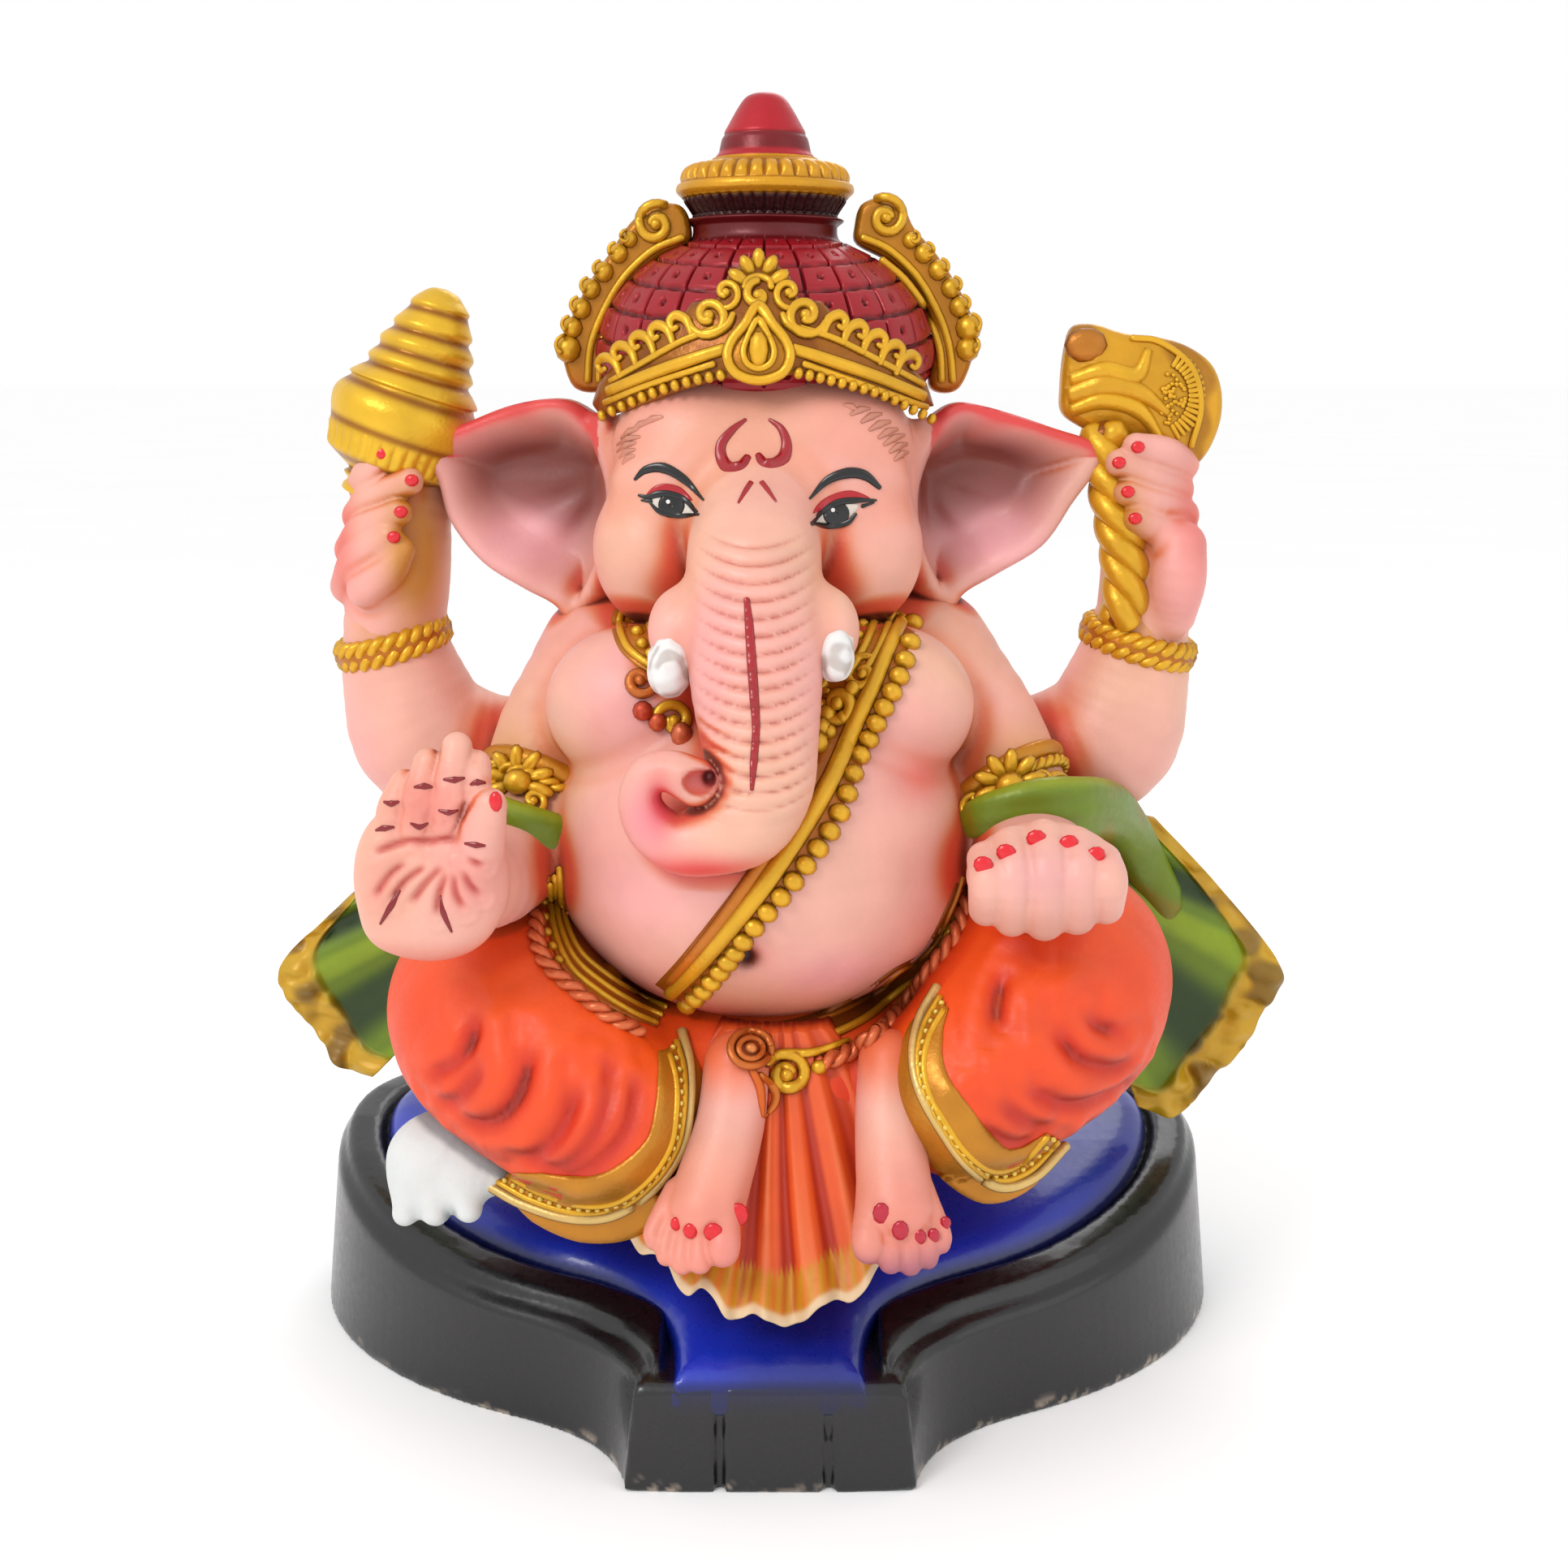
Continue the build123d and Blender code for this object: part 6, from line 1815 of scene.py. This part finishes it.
flutes = 0.55 * np.abs(np.sin(a * 17)) * smooth(8.5, 10, height) * smooth(15.5, 14.5, height)
swirl = 0.8 * np.sin(a + 0.6) * smooth(22, 30, height) * smooth(50, 46, height)
radius = radius + flutes
conch_points = FOOT + (height + swirl)[:, :, None] * ALONG + (radius * np.sin(a))[:, :, None] * SIDE
conch_points = conch_points - (radius * np.cos(a))[:, :, None] * np.array([0, 1.0, 0])
conch_points = conch_points.reshape(-1, 3)
index = np.arange(len(conch_points)).reshape(a.shape)
ahead = np.roll(index, -1, axis=1)
quad = np.stack([index[:-1], ahead[:-1], ahead[1:], index[1:]], -1).reshape(-1, 4)
# Brown along the grooves between the whorls is painted shade.
groove_shade = np.zeros(a.shape)
for h in (5.6, 8.2, 16.2, 25.6, 30.6, 35.0, 40.0, 45.6):
    groove_shade = np.maximum(groove_shade, np.exp(-(((height - h) / 0.9) ** 2)))
paint = mix(np.broadcast_to(srgb(236, 194, 58), conch_points.shape), srgb(150, 84, 12), 0.85 * groove_shade.ravel())
paint = mix(
    paint, srgb(232, 130, 96),
    0.8 * smooth(-74, -68, conch_points[:, 0]) * smooth(236, 222, conch_points[:, 2])
)
make("conch_shell", conch_points, quad, paint, GOLD_PAINT, ["conch"])

AXE_EDGE = [
    (71, 247.5), (69.3, 242), (68.7, 234), (69.2, 228), (74, 224.5), (80, 221.5), (86, 218.5), (91, 214),
    (96, 212.8), (100.5, 215.5), (104, 220), (106.2, 227), (105.8, 234), (103, 239.5), (97, 243.4),
    (90, 245.3), (84, 245.8), (80, 246.8), (76, 248)
]
blade = Field((64, -14, 206), (112, 8, 254), 0.6)
blade.plate(
    AXE_EDGE, lambda x, z, inside: -3.0 + 0 * x, lambda x, z, inside: 3.6 + 2.2 * smooth(0, 9, inside), 0,
    0, 2.2
)
p, quads = blade.mesh()
n = vertex_normals(p, quads)
paint = mix(
    np.broadcast_to(srgb(222, 170, 46), p.shape), srgb(150, 88, 14), 0.5 * smooth(0.1, 0.8, noise(p, 6, 51))
)
make("axe_blade", p, quads, paint, GOLD_PAINT, ["axe_head"], n)
axe = Strokes([tree(p, quads)], 0.3)
axe.band(
    [(69.8, -9, 235.5), (77.8, -9, 237.7), (85.3, -9, 236.6), (88.0, -9, 242.4)], [3, 4, 4, 2], BRIGHT,
    crown=1.0
)
axe.band(
    [(70.2, -9, 228.5), (78.0, -9, 230.7), (86.3, -9, 228.5), (91.9, -9, 221.4)], [3, 4, 4, 2], BRIGHT,
    crown=1.0
)
axe.band(
    [(69.4, -9, 232.0), (77.9, -9, 234.4), (86.4, -9, 232.6), (93.1, -9, 227.8)], [4, 5, 4, 2],
    srgb(226, 176, 50), crown=0.9
)
axe.bead((73.5, -9, 243.3), (5.0, 1.6, 4.0), srgb(206, 140, 50), 0.2, low=GOLD_SHADE)
axe.tube(
    [(84.0, -9, 244.9), (90.6, -9, 243.9), (97.9, -9, 238.4), (100.5, -9, 229.6), (98.7, -9, 220.4)], 0.8,
    BRIGHT, 6, lift=0.5, low=GOLD_SHADE
)
SUN, SUN_RAYS, SUN_DOTS = np.array((90.1, -9, 231.8)), 17, 46
for k in range(SUN_RAYS):
    turn = math.radians(62 - 7.6 * k)
    ray = np.array([math.cos(turn), 0, math.sin(turn)])
    axe.tube([SUN + 7.6 * ray, SUN + 11.0 * ray], 0.6, BRIGHT, 2, lift=0.4, low=GOLD_SHADE)
dots = np.random.default_rng(5)
for k in range(SUN_DOTS):
    turn, reach = math.radians(dots.uniform(-70, 66)), dots.uniform(2.0, 6.8)
    axe.bead(SUN + reach * np.array([math.cos(turn), 0, math.sin(turn)]), 0.6, BRIGHT, 0.3, low=GOLD_SHADE)
axe.make("axe_relief", GOLD_PAINT, ["axe_head"], "ornament_gold")
handle = Strokes()
# A gold in painted shade for the sides of ropes and rings seen all round.
ROUND_GOLD_SHADE = srgb(206, 156, 44)
HANDLE = [
    (78.6, -8, 224), (80.0, -9, 214), (82.0, -10, 204), (84.0, -10, 194), (84.6, -10, 186),
    (84.0, -9.5, 180)
]
handle.tube(
    curve(np.array(HANDLE, float), 10), 4.2, srgb(160, 96, 20), laid=True, flat=1.0, sides=14,
    low=srgb(160, 96, 20)
)
handle.rope(curve(np.array(HANDLE, float), 10), 5.2, 3, 22.0, BRIGHT, low=ROUND_GOLD_SHADE, laid=True)
handle.make("axe_handle_rope", GOLD_PAINT, ["axe_grip"], "ornament_gold")

for name, ends, node in (
    ("left_bracelet_rope", [(-82.5, 1, 149), (-89.5, -1, 174)], "left_bracelet"),
    ("right_bracelet_rope", [(82.5, 1, 149), (89.5, -1, 174)], "right_bracelet"),
):
    cuff = Strokes()
    for shift in (0.94, 1.06):
        ring = ring_round(ends[0], ends[1], shift, 12.2)
        cuff.rope(np.vstack([ring, ring[1:2]]), 2.1, 2, 6.4, BRIGHT, low=ROUND_GOLD_SHADE, laid=True)
    ring = ring_round(ends[0], ends[1], 1.0, 11.6)
    cuff.tube(
        np.vstack([ring, ring[1:2]]), 3.0, srgb(196, 128, 34), laid=True, flat=0.8, low=ROUND_GOLD_SHADE,
        taper=False
    )
    cuff.make(name, GOLD_PAINT, [node], "ornament_gold")

PETALS = 7
for name, node, ends, flower, extra in (
    ("left_armlet_flower", "left_armlet", [(-39, -8, 167), (-55, -28, 134)], (-56.0, -34, 146.4),
     ((-66.5, -34, 146.8), (-63.3, -34, 145.7), (-52.5, -34, 142.0), (-65.2, -34, 143.1))),
    ("right_armlet_flower", "right_armlet", [(39, -8, 167), (61, -28, 134)], (55.7, -34, 145.5),
     ((47.6, -34, 140.2), (50.5, -34, 142.5), (62.5, -34, 146.6), (65.9, -34, 145.9))),
):
    work = Strokes([BODY_TREE], 0.3)
    c = np.array(flower)
    for k in range(PETALS):
        turn = math.radians(-20 + 220 * k / (PETALS - 1))
        tip = c + 5.4 * np.array([math.cos(turn), 0, math.sin(turn)])
        work.bead(tip, (1.7, 1.3, 3.4), BRIGHT, 2.2, turn=math.pi / 2 - turn, low=GOLD_SHADE)
    work.bead(c, (3.4, 2.4, 3.1), BRIGHT, 2.8, low=GOLD_SHADE)
    for k, place in enumerate(extra):
        work.scroll(place, 3.2, 90 + 70 * k, 1.1, 0.95, BRIGHT, 2.2, GOLD_SHADE)
    ring = ring_round(ends[0], ends[1], 0.72, 14.6)
    work.tube(
        np.vstack([ring, ring[1:2]]), 2.2, srgb(210, 150, 44), laid=True, flat=0.8, low=ROUND_GOLD_SHADE,
        taper=False
    )
    ring = ring_round(ends[0], ends[1], 0.8, 14.9)
    work.rope(np.vstack([ring, ring[1:2]]), 1.4, 2, 5.5, BRIGHT, low=ROUND_GOLD_SHADE, laid=True)
    work.make(name, GOLD_PAINT, [node], "ornament_gold")

# ---------------------------------------------------------------- shawl
def cloth(name, node, inner, outer, depth, folds, hem, material, seed, thick=1.6, weight=2.2):
    """A folded wing of cloth between its inner gathered edge and its outer hem."""
    rows, columns = 70, 150
    inner, outer = curve(np.array(inner, float), 12), curve(np.array(outer, float)[:, [0, 2]], 12)

    def spread(line, count):
        far = np.concatenate([[0], np.cumsum(np.linalg.norm(np.diff(line, axis=0), axis=1))])
        at = np.linspace(0, far[-1], count)
        return np.stack([np.interp(at, far, line[:, k]) for k in range(line.shape[1])], -1)

    a, b = spread(inner, columns), spread(outer, columns)
    u, v = np.meshgrid(np.linspace(0, 1, columns), np.linspace(0, 1, rows), indexing="xy")
    flat = a[None] * (1 - v[..., None]) + b[None] * v[..., None]
    wave = np.sin(u * folds * 2 * np.pi + 0.8 * np.sin(5 * u + seed))
    billow = 0.9 * wave + 0.3 * np.sin(u * folds * 5.1 + seed)
    y = np.interp(v, [0, 1], depth) - weight * (0.35 + 0.65 * v) * billow
    crumple = smooth(hem - 0.04, hem + 0.03, v)
    points = np.stack([flat[..., 0], y, flat[..., 1]], -1)
    shake = noise(points.reshape(-1, 3), 8.0, seed).reshape(v.shape)
    fine = noise(points.reshape(-1, 3), 4.0, seed + 1).reshape(v.shape)
    points[..., 1] -= crumple * (
        1.8 * np.abs(shake) + 0.7 * fine
    ) + 0.8 * np.exp(-(((v - hem) / 0.015) ** 2))
    paint = np.broadcast_to(srgb(122, 146, 20), points.shape).copy()
    # Fold valleys are darker green and crests lighter: painted shade and painted highlight.
    valley_shade = smooth(0.3, -0.9, wave)
    paint = mix(paint.reshape(-1, 3), srgb(26, 60, 10), 0.85 * valley_shade.ravel()).reshape(points.shape)
    paint = mix(
        paint.reshape(-1, 3), srgb(168, 190, 40), 0.6 * smooth(0.5, 1.0, wave).ravel()
    ).reshape(points.shape)
    # Darker gold in the pits of the crumpled hem is painted shade.
    pit_shade = smooth(-0.1, -0.7, (shake - 0.3 * valley_shade)).ravel()
    gilt = mix(np.broadcast_to(srgb(214, 172, 36), (v.size, 3)), srgb(120, 84, 12), 0.7 * pit_shade)
    paint = mix(paint.reshape(-1, 3), gilt, crumple.ravel() * 0.95).reshape(points.shape)
    work = Strokes()
    back = points + [0, thick, 0]
    work.sheet(points, back, paint)
    work.make(name, material, [node], "shawl_green")


cloth(
    "left_shawl_cloth", "left_shawl", [(-78, 132), (-79, 122), (-80, 110), (-80, 96), (-78, 84)],
    [
        (-100.8, 3, 112.4), (-110.5, 3, 103.5), (-122.2, 3, 91.3), (-119.5, 3, 80.6), (-113.8, 3, 71.9),
        (-108.3, 3, 65.0), (-99.8, 3, 62.8)
    ],
    (-1, 3), 2.2, 0.79, SHAWL_PAINT, 61
)
cloth(
    "right_shawl_cloth", "right_shawl", [(68, 137), (77, 128), (82, 112), (84, 98), (84, 84)],
    [
        (96.6, 3, 129.0), (112.4, 3, 112.4), (129.1, 3, 91.3), (126.2, 3, 80.6), (121.9, 3, 69.8),
        (112.8, 3, 59.9), (104.5, 3, 50.9), (94.4, 3, 54.5)
    ],
    (-2, 4), 2.4, 0.8, SHAWL_PAINT, 62
)


def elbow_cloth(name, node, path, radii, seed):
    """The shawl's folded band where it passes over an elbow."""
    course = np.array(path, float)
    low, high = course.min(0) - 14, course.max(0) + 14
    field = Field(tuple(low), tuple(high), 0.6)
    across = np.array([0.0, -0.25, 1.0])
    for k, (shift, swell) in enumerate(((-0.55, 0.55), (0.0, 0.62), (0.55, 0.5))):
        lines = course + across * (np.array(radii)[:, None] * shift)
        field.limb(lines, [r * swell for r in radii], 1.1 if k else 0, k)
    p, quads = field.mesh()
    n = vertex_normals(p, quads)
    # Lighter green on upward faces is painted light, dark green in the creases painted shade.
    paint = mix(
        np.broadcast_to(srgb(126, 148, 24), p.shape), srgb(178, 186, 56), 0.6 * smooth(0.2, 0.9, n[:, 2])
    )
    paint = mix(paint, srgb(36, 62, 10), 0.85 * smooth(0.95, 0.45, openness(p, n, 2.4, (field,))))
    paint = mix(paint, srgb(176, 120, 30), 0.35 * smooth(0.2, 0.8, noise(p, 12, seed)))
    make(name, p, quads, paint, SHAWL_PAINT, [node], n)


elbow_cloth(
    "left_elbow_shawl", "left_shawl",
    [
        (-76, -18, 135), (-71, -32, 139), (-64, -40, 139), (-55, -42.5, 136.5), (-46, -40, 133.5),
        (-41, -34, 131)
    ],
    [6, 6.5, 7, 7, 6.5, 5], 81
)
elbow_cloth(
    "right_elbow_shawl", "right_shawl",
    [
        (43.5, -37, 137), (50, -42, 140.5), (60, -43.5, 142.5), (70, -39, 141.5), (79, -26, 138),
        (86, -12, 131), (93, -1, 120), (100, 2, 108)
    ],
    [3.6, 5, 6.4, 7, 7, 7, 7, 6], 82
)

# ---------------------------------------------------------------- mouse
mouse = Field((-96, -64, 42), (-50, -28, 80), 0.5)
mouse.egg((-75.0, -43, 60), (12.0, 11.0, 10.5), 0)
mouse.egg((-79, -45, 56), (7.5, 9, 8), 4)
mouse.limb([(-70, -46, 61), (-64, -49.5, 59), (-58.5, -51, 57.5)], [8.0, 5.6, 2.2], 3)
mouse.egg((-71.0, -47.5, 66.5), (2.6, 1.6, 2.8), 1.2)
for start, end in (
    ((-80, -49, 55), (-81.5, -53.5, 50.5)), ((-74, -51, 55), (-74.5, -55, 51)),
    ((-68, -52, 56), (-67, -55, 52))
):
    mouse.limb([start, end], [4.2, 2.8], 4)
p, quads = mouse.mesh()
n = vertex_normals(p, quads)
p = p + n * (0.35 * noise(p, 4, 71))[:, None]
# Grey where the mouse is tucked against itself and the lap is painted shade.
tucked_shade = smooth(0.9, 0.3, openness(p, n, 4.0, (mouse, lap)))
paint = mix(np.broadcast_to(srgb(226, 228, 226), p.shape), srgb(140, 146, 150), 0.7 * tucked_shade)
make("mouse_plaster", p, quads, paint, WHITE_PAINT, ["mouse"], n)

# ---------------------------------------------------------------- shawl band across the back
strip = Strokes()
turn, share = np.meshgrid(np.radians(np.linspace(-80, 80, 90)), np.linspace(0, 1, 30), indexing="xy")
z = 115.5 + share * (13 + 6 * np.cos(turn) ** 2)
out = np.stack([np.sin(turn), np.cos(turn), 0 * turn], -1).reshape(-1, 3)
start = np.array([0.0, -12.0, 0.0]) + 90 * out + np.stack([0 * z, 0 * z, z], -1).reshape(-1, 3)
points = np.array([BODY_TREE.ray_cast(Vector(s), Vector(-o))[0] for s, o in zip(start, out)])
ripple = np.sin(z * 1.1 + 1.6 * np.sin(turn)).ravel()
points = points + out * (0.6 + 0.7 * ripple)[:, None]
# Dark green in the ripple troughs is painted shade.
paint = mix(np.broadcast_to(srgb(122, 146, 20), (z.size, 3)), srgb(40, 70, 12), 0.7 * smooth(0, -1, ripple))
shape = z.shape + (3,)
strip.sheet((points - 1.5 * out).reshape(shape), (points + 1.2 * out).reshape(shape), paint.reshape(shape))
strip.make("shawl_back_cloth", SHAWL_PAINT, ["shawl_back"], "shawl_green")


# ---------------------------------------------------------------- floor, light and camera
floor_mesh = bpy.data.meshes.new("floor")
floor_mesh.from_pydata([(-60, -60, 0), (60, -60, 0), (60, 60, 0), (-60, 60, 0)], [], [(0, 1, 2, 3)])
colour = floor_mesh.attributes.new("paint", "FLOAT_COLOR", "POINT")
colour.data.foreach_set("color", [0.985, 0.985, 0.985, 1.0] * 4)
floor_mesh.materials.append(material("floor_paint", 0.9, speck=0.01, bump=0.0, grain=20.0))
floor = bpy.data.objects.new("floor", floor_mesh)
bpy.context.scene.collection.objects.link(floor)

world = bpy.data.worlds.new("studio")
bpy.context.scene.world = world
world.use_nodes = True
world.node_tree.nodes["Background"].inputs["Color"].default_value = (1.0, 1.0, 1.0, 1.0)
world.node_tree.nodes["Background"].inputs["Strength"].default_value = 1.0


def area_light(name, place, aim, size, power):
    lamp = bpy.data.lights.new(name, "AREA")
    lamp.shape, lamp.size, lamp.energy = "DISK", size, power
    thing = bpy.data.objects.new(name, lamp)
    thing.location = place
    thing.rotation_euler = (Vector(aim) - Vector(place)).to_track_quat("-Z", "Y").to_euler()
    bpy.context.scene.collection.objects.link(thing)


area_light("key", (-0.55, -0.75, 0.85), (0, 0, 0.15), 0.45, 5.0)
area_light("fill", (0.8, -0.6, 0.5), (0, 0, 0.14), 0.8, 0.8)
area_light("rim", (0.2, 0.8, 0.9), (0, 0, 0.2), 0.6, 1.5)

lens = bpy.data.cameras.new("camera")
lens.lens, lens.sensor_width = 43.9, 36.0
camera = bpy.data.objects.new("camera", lens)
camera.location = STAND + EYE * MM
camera.rotation_euler = (math.radians(78.0), 0.0, 0.0)
bpy.context.scene.collection.objects.link(camera)
bpy.context.scene.camera = camera
bpy.context.scene.view_settings.view_transform = "Standard"
